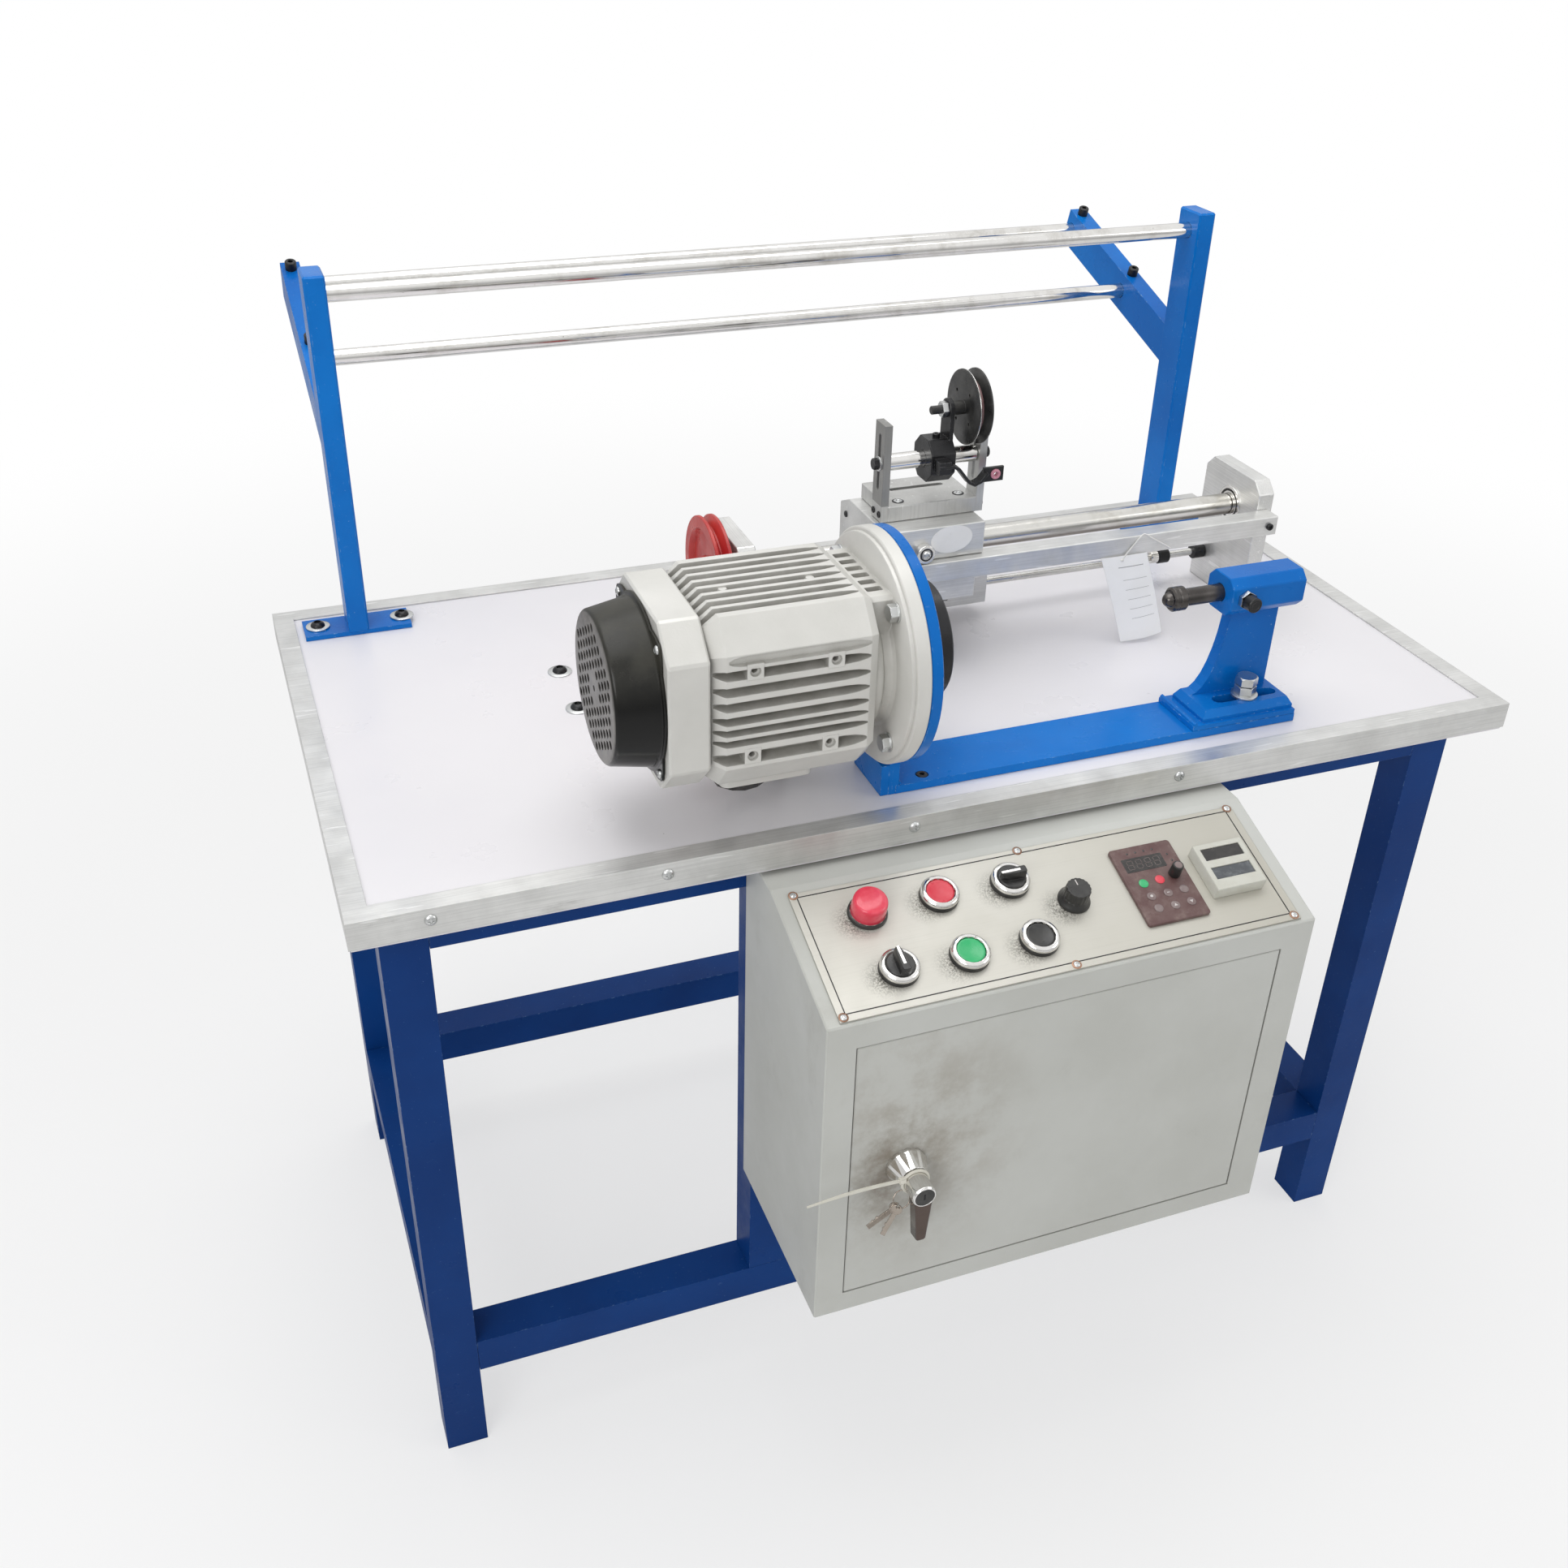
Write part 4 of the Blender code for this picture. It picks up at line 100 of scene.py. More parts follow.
# Materials
class Surface:
    """A node material being built up."""

    def __init__(self, name, roughness, metallic=0.0, rounding=0.0007):
        self.material = bpy.data.materials.new(name)
        self.material.use_nodes = True
        self.tree = self.material.node_tree
        self.shader = self.tree.nodes["Principled BSDF"]
        self.set("Roughness", roughness)
        self.set("Metallic", metallic)
        self.place = self.make("ShaderNodeTexCoord").outputs["Object"]
        self.colour = None
        rounded_edges = self.make("ShaderNodeBevel", samples=4)
        rounded_edges.inputs["Radius"].default_value = rounding
        self.height = rounded_edges.outputs["Normal"]

    def make(self, kind, **settings):
        made = self.tree.nodes.new(kind)
        for name, value in settings.items():
            setattr(made, name, value)
        return made

    def feed(self, socket, value):
        if isinstance(value, bpy.types.NodeSocket):
            self.tree.links.new(value, socket)
        elif socket.type == "RGBA" and len(value) == 3:
            socket.default_value = (*value, 1.0)
        else:
            socket.default_value = value

    def set(self, name, value):
        self.feed(self.shader.inputs[name], value)

    def stretched(self, scale, turn=(0.0, 0.0, 0.0)):
        made = self.make("ShaderNodeMapping")
        self.feed(made.inputs["Vector"], self.place)
        made.inputs["Scale"].default_value = scale
        made.inputs["Rotation"].default_value = turn
        return made.outputs["Vector"]

    def drawn_out(self, across, along, axis, turn=(0.0, 0.0, 0.0)):
        """Coordinates for marks that run along one axis."""
        scale = [across, across, across]
        scale["xyz".index(axis)] = along
        return self.stretched(scale, turn)

    def noise(self, scale, detail, roughness=0.55, vector=None):
        made = self.make("ShaderNodeTexNoise")
        self.feed(made.inputs["Vector"], self.place if vector is None else vector)
        made.inputs["Scale"].default_value = scale
        made.inputs["Detail"].default_value = detail
        made.inputs["Roughness"].default_value = roughness
        return made.outputs["Fac"]

    def cells(self, scale):
        made = self.make("ShaderNodeTexVoronoi", feature="F1")
        self.feed(made.inputs["Vector"], self.place)
        made.inputs["Scale"].default_value = scale
        return made.outputs["Distance"]

    def ranged(self, value, low, high, to_low=0.0, to_high=1.0):
        made = self.make("ShaderNodeMapRange", interpolation_type="SMOOTHSTEP")
        self.feed(made.inputs["Value"], value)
        for name, number in (("From Min", low), ("From Max", high), ("To Min", to_low), ("To Max", to_high)):
            made.inputs[name].default_value = number
        return made.outputs["Result"]

    def maths(self, operation, first, second=0.0):
        made = self.make("ShaderNodeMath", operation=operation)
        self.feed(made.inputs[0], first)
        self.feed(made.inputs[1], second)
        return made.outputs["Value"]

    def times(self, first, second):
        return self.maths("MULTIPLY", first, second)

    def patches(self, scale, detail, low, high, roughness=0.55, vector=None, to_low=0.0, to_high=1.0):
        """Noise with the part between low and high brought out."""
        return self.ranged(self.noise(scale, detail, roughness, vector), low, high, to_low, to_high)

    def mix(self, share, first, second):
        made = self.make("ShaderNodeMix", data_type="RGBA")
        self.feed(made.inputs["Factor"], share)
        self.feed(made.inputs[6], first)
        self.feed(made.inputs[7], second)
        return made.outputs[2]

    def tones(self, share, first, second):
        """Begin the colour with two tones."""
        self.colour = self.mix(share, first, second)

    def blend(self, share, tint):
        """Lay a tint over the colour so far."""
        self.colour = self.mix(share, self.colour, tint)

    def over(self, share, strength, tint):
        """Lay a tint over the colour so far, where share and strength meet."""
        self.blend(self.times(share, strength), tint)

    def wear(self, width, scale, detail, low, high, strength, tint):
        """Rub the sharp edges to a tint, in patches."""
        rubbed = self.times(self.edges(width), self.patches(scale, detail, low, high, 0.7))
        self.over(rubbed, strength, tint)

    def finish(self, scale, detail, low, high):
        """Hand the colour on, with a roughness that wanders between low and high."""
        self.set("Base Color", self.colour)
        self.set("Roughness", self.patches(scale, detail, 0.2, 0.8, to_low=low, to_high=high))

    def coat(self, weight, roughness):
        self.set("Coat Weight", weight)
        self.set("Coat Roughness", roughness)

    def part_of_place(self, axis):
        made = self.make("ShaderNodeSeparateXYZ")
        self.feed(made.inputs["Vector"], self.place)
        return made.outputs[axis]

    def near(self, centre, reach, squeeze=(1.0, 1.0, 1.0)):
        """1 at the centre, falling to 0 at reach from it."""
        made = self.make("ShaderNodeMapping")
        self.feed(made.inputs["Vector"], self.place)
        made.inputs["Location"].default_value = [-centre[i] * squeeze[i] for i in range(3)]
        made.inputs["Scale"].default_value = squeeze
        length = self.make("ShaderNodeVectorMath", operation="LENGTH")
        self.feed(length.inputs[0], made.outputs["Vector"])
        return self.ranged(length.outputs["Value"], reach, 0.0)

    def edges(self, width):
        """1 along the sharp edges, 0 on the open faces."""
        rounded = self.make("ShaderNodeBevel", samples=4)
        rounded.inputs["Radius"].default_value = width
        plain = self.make("ShaderNodeNewGeometry")
        dot = self.make("ShaderNodeVectorMath", operation="DOT_PRODUCT")
        self.feed(dot.inputs[0], rounded.outputs["Normal"])
        self.feed(dot.inputs[1], plain.outputs["Normal"])
        return self.ranged(self.maths("SUBTRACT", 1.0, dot.outputs["Value"]), 0.03, 0.22)

    def crevices(self, distance, low, high):
        """1 in corners and narrow gaps, 0 in the open."""
        made = self.make("ShaderNodeAmbientOcclusion", samples=6)
        made.inputs["Distance"].default_value = distance
        return self.ranged(made.outputs["AO"], high, low)

    def bump(self, height, distance, strength):
        made = self.make("ShaderNodeBump")
        made.inputs["Strength"].default_value = strength
        made.inputs["Distance"].default_value = distance
        self.feed(made.inputs["Height"], height)
        self.feed(made.inputs["Normal"], self.height)
        self.height = made.outputs["Normal"]
        self.feed(self.shader.inputs["Normal"], self.height)
        return self


def enamel(name, deep, bright, chip_and_highlight, roughness, coat):
    """Sprayed enamel on steel: slow change of tone, orange peel, light chips on the edges, and light streaks
    that are partly runs in the paint and partly painted highlight.
    """
    made = Surface(name, roughness)
    made.tones(made.patches(5.0, 4.0, 0.30, 0.72), deep, bright)
    made.over(made.edges(0.0016), made.patches(140.0, 5.0, 0.52, 0.66, 0.7), chip_and_highlight)
    made.over(made.patches(420.0, 2.0, 0.70, 0.78, 0.6), 0.45, chip_and_highlight)
    # Light streaks: partly runs in the paint, partly painted highlight
    runs_and_highlight_streaks = made.stretched((1.0, 6.0, 1.6), (0.3, 0.2, 0.7))
    made.over(made.patches(30.0, 6.0, 0.66, 0.80, 0.7, runs_and_highlight_streaks), 0.22, chip_and_highlight)
    made.finish(22.0, 4.0, roughness - 0.08, roughness + 0.14)
    made.set("Specular IOR Level", 0.10)
    made.coat(coat, 0.10)
    made.bump(made.noise(260.0, 2.0), 0.00012, 0.6)
    return made.bump(made.noise(26.0, 3.0), 0.0006, 0.35).material


def laminate():
    """Pale table board, faintly wiped, with a few specks."""
    made = Surface("laminate", 0.35)
    made.tones(made.patches(3.2, 4.0, 0.35, 0.75), (0.800, 0.785, 0.806), (0.765, 0.750, 0.776))
    wiped = made.stretched((0.6, 2.6, 1.0), (0.0, 0.0, 0.35))
    made.over(made.patches(7.0, 6.0, 0.62, 0.86, 0.65, wiped), 0.05, (0.56, 0.54, 0.54))
    specks = made.ranged(made.cells(70.0), 0.040, 0.015)
    made.over(specks, made.patches(14.0, 2.0, 0.64, 0.68), (0.22, 0.20, 0.18))
    made.finish(14.0, 5.0, 0.24, 0.44)
    return made.bump(made.noise(90.0, 3.0), 0.00008, 0.5).material


def bare_aluminium(name, along, colour, shade, painted_shade_bar=None):
    """Milled aluminium: fine lines along one way, cloudy tone, dark rubs and scratches, and where asked a
    painted shade over one upright.
    """
    made = Surface(name, 0.36, 0.72)
    lines = made.noise(1.0, 2.0, 0.6, made.drawn_out(900.0, 9.0, along))
    made.tones(made.patches(16.0, 5.0, 0.30, 0.74, 0.62), colour, shade)
    made.blend(made.ranged(lines, 0.40, 0.75, 0.0, 0.30), (0.40, 0.40, 0.39))
    rubbed = made.drawn_out(26.0, 7.0, along)
    made.over(made.patches(1.0, 6.0, 0.60, 0.78, 0.7, rubbed), 0.42, (0.19, 0.185, 0.175))
    scratched = made.drawn_out(260.0, 24.0, along, (0.15, 0.1, 0.25))
    made.over(made.patches(1.0, 1.0, 0.70, 0.74, 0.4, scratched), 0.55, (0.92, 0.92, 0.91))
    # Painted shade: one upright darkened above a height
    if painted_shade_bar:
        middle, half, floor_height = painted_shade_bar
        away = made.maths("ABSOLUTE", made.maths("SUBTRACT", made.part_of_place("X"), origin.x + middle))
        above = made.maths("GREATER_THAN", made.part_of_place("Z"), origin.z + floor_height)
        made.over(made.times(made.maths("LESS_THAN", away, half), above), 0.62, (0.150, 0.146, 0.136))
    made.finish(38.0, 4.0, 0.28, 0.50)
    return made.bump(lines, 0.00005, 0.6).material


def motor_casting():
    """Silver-white paint over a die casting, with grain, and painted shade between the fins."""
    made = Surface("motor_casting", 0.42, 0.15, 0.0011)
    made.tones(made.patches(12.0, 4.0, 0.30, 0.74), (0.690, 0.682, 0.650), (0.610, 0.604, 0.570))
    # Painted shade: the hollows between the fins are darkened, broken up by noise
    broken = made.patches(55.0, 4.0, 0.25, 0.70, 0.6, to_low=0.55)
    made.over(made.times(made.crevices(0.020, 0.30, 0.92), broken), 0.62, (0.200, 0.188, 0.160))
    made.wear(0.0012, 90.0, 4.0, 0.46, 0.66, 0.55, (0.86, 0.86, 0.84))
    made.finish(40.0, 4.0, 0.34, 0.54)
    made.bump(made.noise(520.0, 3.0, 0.6), 0.00014, 0.75)
    return made.bump(made.noise(60.0, 3.0), 0.0005, 0.28).material


def black_cover():
    """Pressed cover in glossy black, dusty on its upper side and grey on its perforated end."""
    made = Surface("black_cover", 0.22)
    centre = origin.z + spindle[1]
    dust = made.times(made.ranged(made.part_of_place("Z"), centre + 0.006, centre + 0.060),
                      made.patches(34.0, 5.0, 0.28, 0.72, 0.65, to_low=0.35))
    made.tones(made.times(dust, 0.34), (0.0060, 0.0060, 0.0058), (0.120, 0.116, 0.090))
    scuffs = made.patches(60.0, 6.0, 0.66, 0.80, 0.7, made.stretched((3.0, 1.0, 1.0)))
    made.over(scuffs, 0.20, (0.16, 0.155, 0.145))
    face = made.ranged(made.part_of_place("X"), origin.x + 0.2192, origin.x + 0.2181)
    film = made.patches(60.0, 5.0, 0.25, 0.70, 0.65)
    made.blend(face, made.mix(film, (0.105, 0.101, 0.097), (0.220, 0.209, 0.200)))
    made.set("Base Color", made.colour)
    made.set("Specular IOR Level", 0.26)
    uneven = made.patches(30.0, 4.0, 0.2, 0.8, to_low=0.12, to_high=0.28)
    dull = made.maths("ADD", made.times(dust, 0.30), uneven)
    made.set("Roughness", made.maths("ADD", dull, made.times(face, 0.18)))
    return made.bump(made.noise(160.0, 2.0), 0.00010, 0.5).material


def dark_steel(name, colour, worn, roughness, metallic=0.35):
    """Black-oxide or black-painted steel that shines through on its edges."""
    made = Surface(name, roughness, metallic)
    lighter = tuple(min(1.0, channel * 1.9 + 0.004) for channel in colour)
    made.tones(made.patches(40.0, 4.0, 0.30, 0.72), colour, lighter)
    made.wear(0.0009, 150.0, 4.0, 0.42, 0.62, 0.75, worn)
    made.finish(60.0, 4.0, roughness - 0.10, roughness + 0.14)
    return made.bump(made.noise(340.0, 2.0), 0.00006, 0.6).material


def shiny_metal(name, colour, shade, roughness, lines, along="x", painted_shade_below=None):
    """Ground or plated metal: lines round it or along it, small cloudy stains, and where asked a painted
    shade along its underside.
    """
    made = Surface(name, roughness, 1.0)
    fine = made.noise(1.0, 2.0, 0.6, made.drawn_out(700.0, 22.0, along))
    made.tones(made.patches(26.0, 5.0, 0.44, 0.80, 0.66), colour, shade)
    made.blend(made.ranged(fine, 0.45, 0.75, 0.0, 0.22 * lines), shade)
    spots = made.times(made.ranged(made.cells(120.0), 0.10, 0.04), made.patches(20.0, 2.0, 0.58, 0.66))
    made.over(spots, 0.7, (0.16, 0.13, 0.10))
    # Painted shade: darker on the underside, below the given height
    if painted_shade_below:
        shaded_underside = made.ranged(made.part_of_place("Z"), painted_shade_below, painted_shade_below - 0.0045)
        made.over(shaded_underside, 0.82, (0.150, 0.128, 0.105))
    made.finish(30.0, 4.0, roughness * 0.6, roughness * 1.6)
    return made.bump(fine, 0.00003, 0.5 * lines).material


def cabinet_paint(name, lock=None):
    """Fine-textured powder coat with smudges, darkest round the lock where hands go."""
    made = Surface(name, 0.48)
    made.tones(made.patches(5.5, 5.0, 0.30, 0.74, 0.6), (0.560, 0.568, 0.538), (0.500, 0.506, 0.472))
    stains = made.patches(11.0, 6.0, 0.56, 0.80, 0.68, made.stretched((1.2, 1.2, 0.8)))
    made.over(stains, 0.30, (0.275, 0.262, 0.222))
    if lock is not None:
        patch = made.patches(24.0, 6.0, 0.34, 0.66, 0.7, to_low=0.15)
        wide = made.near(lock + Vector((0.010, 0, 0.020)), 0.120, (0.9, 1.0, 0.62))
        close = made.near(lock + Vector((-0.012, 0, -0.010)), 0.062, (1.0, 1.0, 0.70))
        made.over(made.times(wide, patch), 0.62, (0.250, 0.205, 0.150))
        made.over(made.times(close, patch), 0.66, (0.150, 0.112, 0.074))
    made.wear(0.0012, 70.0, 5.0, 0.50, 0.70, 0.5, (0.62, 0.62, 0.60))
    # Painted shade: darker in corners and narrow gaps
    made.over(made.crevices(0.010, 0.30, 0.85), 0.35, (0.17, 0.165, 0.145))
    made.finish(26.0, 4.0, 0.40, 0.58)
    made.bump(made.noise(900.0, 2.0), 0.00010, 0.75)
    return made.bump(made.noise(9.0, 2.0), 0.0008, 0.20).material


def panel_plate(smudge_spots):
    """Light grey anodised plate with dirt below and beside the switches."""
    made = Surface("panel_plate", 0.40, 0.30)
    made.tones(made.patches(9.0, 5.0, 0.30, 0.74, 0.6), (0.600, 0.586, 0.535), (0.555, 0.541, 0.486))
    across = made.ranged(made.part_of_place("X"), origin.x + 0.45, origin.x + 0.78)
    made.over(across, 0.55, (0.430, 0.412, 0.345))
    patch = made.patches(650.0, 3.0, 0.38, 0.60, 0.75)
    for place in smudge_spots:
        made.over(made.times(made.near(place, 0.0235), patch), 0.95, (0.060, 0.055, 0.044))
    fine = made.noise(1.0, 2.0, 0.6, made.stretched((12.0, 800.0, 800.0)))
    made.blend(made.ranged(fine, 0.45, 0.8, 0.0, 0.18), (0.44, 0.43, 0.38))
    made.finish(30.0, 4.0, 0.34, 0.50)
    return made.bump(fine, 0.00004, 0.5).material


def moulded(name, colour, pale, roughness, dust):
    """Moulded plastic: faint tone, fine grain, dust in patches, scuffed edges."""
    made = Surface(name, roughness)
    lighter = tuple(channel + (target - channel) * 0.18 for channel, target in zip(colour, pale))
    made.tones(made.patches(60.0, 4.0, 0.30, 0.72), colour, lighter)
    made.wear(0.0007, 160.0, 4.0, 0.46, 0.66, 0.45, pale)
    made.over(made.patches(90.0, 5.0, 0.46, 0.76, 0.7), dust, pale)
    made.finish(80.0, 4.0, roughness - 0.08, roughness + 0.12)
    return made.bump(made.noise(700.0, 2.0), 0.00006, 0.6).material


def lamp_plastic():
    """Red lens with light caught inside it."""
    made = Surface("lamp_plastic", 0.16)
    tone = made.patches(70.0, 4.0, 0.30, 0.72)
    made.set("Base Color", made.mix(tone, (0.780, 0.040, 0.085), (0.860, 0.090, 0.140)))
    made.set("Subsurface Weight", 0.25)
    made.set("Subsurface Radius", (0.004, 0.001, 0.001))
    made.coat(0.25, 0.08)
    return made.bump(made.noise(240.0, 2.0), 0.00003, 0.3).material


def plate_with_units():
    """Zinc-plated mounting plate with dark plastic units that stand on it."""
    made = Surface("wired_plate", 0.42)
    front = origin.y + back_plate_front
    units = made.ranged(made.part_of_place("Y"), front - 0.0006, front - 0.0014)
    tone = made.patches(30.0, 4.0, 0.30, 0.75)
    made.tones(tone, (0.620, 0.630, 0.625), (0.500, 0.510, 0.510))
    made.blend(units, made.mix(tone, (0.024, 0.025, 0.027), (0.034, 0.035, 0.036)))
    made.set("Base Color", made.colour)
    made.set("Metallic", made.maths("SUBTRACT", 0.85, made.times(units, 0.85)))
    return made.bump(made.noise(240.0, 2.0), 0.00010, 0.4).material


def red_enamel():
    """Red paint, rubbed through to the metal on rims and spokes."""
    made = Surface("red_paint", 0.33)
    made.tones(made.patches(30.0, 4.0, 0.30, 0.72), (0.400, 0.018, 0.020), (0.520, 0.045, 0.036))
    made.wear(0.0014, 110.0, 5.0, 0.44, 0.62, 0.65, (0.34, 0.17, 0.13))
    made.finish(50.0, 4.0, 0.24, 0.44)
    return made.bump(made.noise(180.0, 3.0), 0.00022, 0.6).material


def card_paper():
    """White card, slightly bowed and finger-marked."""
    made = Surface("card_paper", 0.70)
    made.tones(made.patches(30.0, 5.0, 0.30, 0.74), (0.900, 0.900, 0.895), (0.850, 0.848, 0.835))
    made.over(made.patches(55.0, 6.0, 0.62, 0.80, 0.7), 0.35, (0.52, 0.50, 0.46))
    made.set("Base Color", made.colour)
    return made.bump(made.noise(600.0, 4.0, 0.7), 0.00006, 0.7).material


def display_glass(name, colour, pale):
    """Dark window with a faint film of dust."""
    made = Surface(name, 0.12)
    film = made.patches(120.0, 5.0, 0.40, 0.76, 0.7)
    made.set("Base Color", made.mix(made.times(film, 0.35), colour, pale))
    made.set("Roughness", made.ranged(film, 0.0, 1.0, 0.08, 0.30))
    made.coat(0.5, 0.04)
    return made.bump(made.noise(500.0, 2.0), 0.00003, 0.4).material


# Mesh helpers, the same shapes of outline as the solids use
def closed(bm):
    bmesh.ops.recalc_face_normals(bm, faces=bm.faces)
    return bm


def spot(axis, u, v, along):
    if axis == "x":
        return (along, u, v)
    if axis == "y":
        return (u, along, v)
    return (u, v, along)


def rectangle(u_low, v_low, u_high, v_high):
    return [(u_low, v_low), (u_high, v_low), (u_high, v_high), (u_low, v_high)]


def arc(u_mid, v_mid, radius, start, end, steps):
    points = []
    for i in range(steps + 1):
        angle = math.radians(start + (end - start) * i / steps)
        points.append((u_mid + radius * math.cos(angle), v_mid + radius * math.sin(angle)))
    return points


def rounded(u_low, v_low, u_high, v_high, radius, steps=5):
    """A rectangle with round corners."""
    return (arc(u_high - radius, v_high - radius, radius, 0, 90, steps)
            + arc(u_low + radius, v_high - radius, radius, 90, 180, steps)
            + arc(u_low + radius, v_low + radius, radius, 180, 270, steps)
            + arc(u_high - radius, v_low + radius, radius, 270, 360, steps))


def bridge(bm, first, second):
    count = len(first)
    for i in range(count):
        j = (i + 1) % count
        bm.faces.new((first[i], first[j], second[j], second[i]))


def skin(rings, joined_ends=False):
    """A closed skin over rings of points, with flat ends or joined to itself."""
    bm = bmesh.new()
    loops = [[bm.verts.new(point) for point in ring] for ring in rings]
    for first, second in zip(loops, loops[1:]):
        bridge(bm, first, second)
    if joined_ends:
        bridge(bm, loops[-1], loops[0])
    else:
        bm.faces.new(loops[0])
        bm.faces.new(loops[-1])
    return closed(bm)


def loft(outlines, axis, levels):
    return skin([[spot(axis, u, v, level) for u, v in outline] for outline, level in zip(outlines, levels)])


def prism(outline, axis, low, high):
    return loft([outline, outline], axis, [low, high])


def box(low, high):
    return prism(rectangle(low[0], low[1], high[0], high[1]), "z", low[2], high[2])


def turned(profile, axis="z", middle=(0.0, 0.0), steps=48, ring=False):
    """Turn a profile of (place along the axis, radius) about an axis through middle."""
    rings = []
    for along, radius in profile:
        points = []
        for i in range(steps):
            angle = 2 * math.pi * (i + 0.5) / steps
            u = middle[0] + radius * math.cos(angle)
            v = middle[1] + radius * math.sin(angle)
            points.append(spot(axis, u, v, along))
        rings.append(points)
    return skin(rings, ring)


def rod(low, high, radius, axis="z", middle=(0.0, 0.0), steps=48):
    return turned([(low, radius), (high, radius)], axis, middle, steps)


def tube(low, high, inner, outer, axis, middle, steps):
    return turned([(low, inner), (low, outer), (high, outer), (high, inner)], axis, middle, steps, ring=True)


def moved(bm, matrix):
    bmesh.ops.transform(bm, matrix=matrix, verts=bm.verts)
    return bm


def shifted(bm, x, y, z):
    return moved(bm, Matrix.Translation((x, y, z)))


def joined(*parts):
    whole = bmesh.new()
    for part in parts:
        mesh = bpy.data.meshes.new("part")
        part.to_mesh(mesh)
        part.free()
        whole.from_mesh(mesh)
        bpy.data.meshes.remove(mesh)
    return whole


def boolean(first, second, operation):
    objects = []
    for bm in (first, second):
        mesh = bpy.data.meshes.new("working")
        bm.to_mesh(mesh)
        bm.free()
        thing = bpy.data.objects.new("working", mesh)
        bpy.context.scene.collection.objects.link(thing)
        objects.append(thing)
    modifier = objects[0].modifiers.new("boolean", "BOOLEAN")
    modifier.operation = operation
    modifier.solver = "EXACT"
    modifier.object = objects[1]
    depsgraph = bpy.context.evaluated_depsgraph_get()
    mesh = bpy.data.meshes.new_from_object(objects[0].evaluated_get(depsgraph))
    result = bmesh.new()
    result.from_mesh(mesh)
    for thing in objects:
        bpy.data.objects.remove(thing, do_unlink=True)
    return result


def cut(base, *tools):
    """The base with the tools, which keep clear of each other, taken away."""
    return boolean(base, joined(*tools), "DIFFERENCE")


def tube_along(points, radius, steps=10, closed_loop=False):
    """A round tube through points, with flat ends unless it closes on itself."""
    points = [Vector(p) for p in points]
    last = len(points) - 1
    rings = []
    side = None
    for i, point in enumerate(points):
        if closed_loop:
            along = (points[(i + 1) % len(points)] - points[i - 1]).normalized()
        else:
            along = (points[min(i + 1, last)] - points[max(i - 1, 0)]).normalized()
        if side is None:
            side = along.orthogonal().normalized()
        side = (side - along * side.dot(along)).normalized()
        other = along.cross(side)
        ring = []
        for k in range(steps):
            angle = 2 * math.pi * k / steps
            ring.append(point + (side * math.cos(angle) + other * math.sin(angle)) * radius)
        rings.append(ring)
    return skin(rings, closed_loop)


def mesh_of(name, bm, material, smooth=35.0):
    mesh = bpy.data.meshes.new(name)
    bm.to_mesh(mesh)
    bm.free()
    mesh.materials.append(material)
    mesh.shade_smooth()
    mesh.set_sharp_from_angle(angle=math.radians(smooth))
    return mesh


def soften(thing, width):
    """Round the sharp edges, so that they catch the light."""
    made = thing.modifiers.new("soft_edges", "BEVEL")
    made.width = width
    made.segments = 2
    made.limit_method = "ANGLE"
    made.angle_limit = math.radians(32.0)
    made.use_clamp_overlap = True
    made.harden_normals = False


def piece(name, bm, body, material, soft=0.0, replaces=(), matrix=None, smooth=35.0):
    """A piece drawn in bench coordinates, or in those of matrix, that rides on a body."""
    whole = Matrix.Translation(origin) if matrix is None else Matrix.Translation(origin) @ matrix
    moved(bm, whole)
    thing = bpy.data.objects.new(name, mesh_of(name, bm, material, smooth))
    bpy.context.scene.collection.objects.link(thing)
    if soft:
        soften(thing, soft)
    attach(thing, body)
    if replaces:
        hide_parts(*replaces)
    return thing


def pointing(place, direction):
    """From a fastener's own coordinates, whose z is its axis, to bench coordinates."""
    turn = Vector((0.0, 0.0, 1.0)).rotation_difference(Vector(direction).normalized())
    return Matrix.Translation(Vector(place)) @ turn.to_matrix().to_4x4()


def hexagon(radius, low, high, chamfer=0.0):
    """Six-sided block; a chamfer rounds its upper corners off as on a bolt head."""
    block = rod(low, high, radius, steps=6)
    if not chamfer:
        return block
    wide = radius * 1.05
    cone = turned([(low - 0.001, wide), (high - chamfer, wide), (high + 0.0001, radius * 0.86)], steps=36)
    return boolean(block, cone, "INTERSECT")


def washer(outer, inner, thick):
    return turned([(0.0, inner), (0.0, outer), (thick * 0.8, outer), (thick, outer - thick * 0.3),
                   (thick, inner)], steps=36, ring=True)


def cross_screw(radius, height):
    """Domed screw head with a cross recess."""
    profile = [(0.0, radius)]
    for i in range(1, 7):
        angle = math.radians(15 * i)
        profile.append((height * math.sin(angle), max(radius * math.cos(angle), radius * 0.04)))
    head = turned(profile, steps=28)
    arm = radius * 0.52
    half = radius * 0.13
    depth = height * 0.45
    for u, v in ((arm, half), (half, arm)):
        head = cut(head, box((-u, -v, height - depth), (u, v, height + 0.002)))
    return head


def socket_screw(radius, height, dome=False):
    """Round screw head with a hexagon socket."""
    if dome:
        profile = [(0.0, radius)]
        for i in range(1, 6):
            angle = math.radians(13 * i)
            profile.append((height * math.sin(angle), radius * math.cos(angle)))
        profile.append((height, radius * 0.40))
    else:
        profile = [(0.0, radius), (height - radius * 0.12, radius), (height, radius * 0.88)]
    head = turned(profile, steps=28)
    return cut(head, rod(height * 0.35, height + 0.002, radius * 0.52, steps=6))


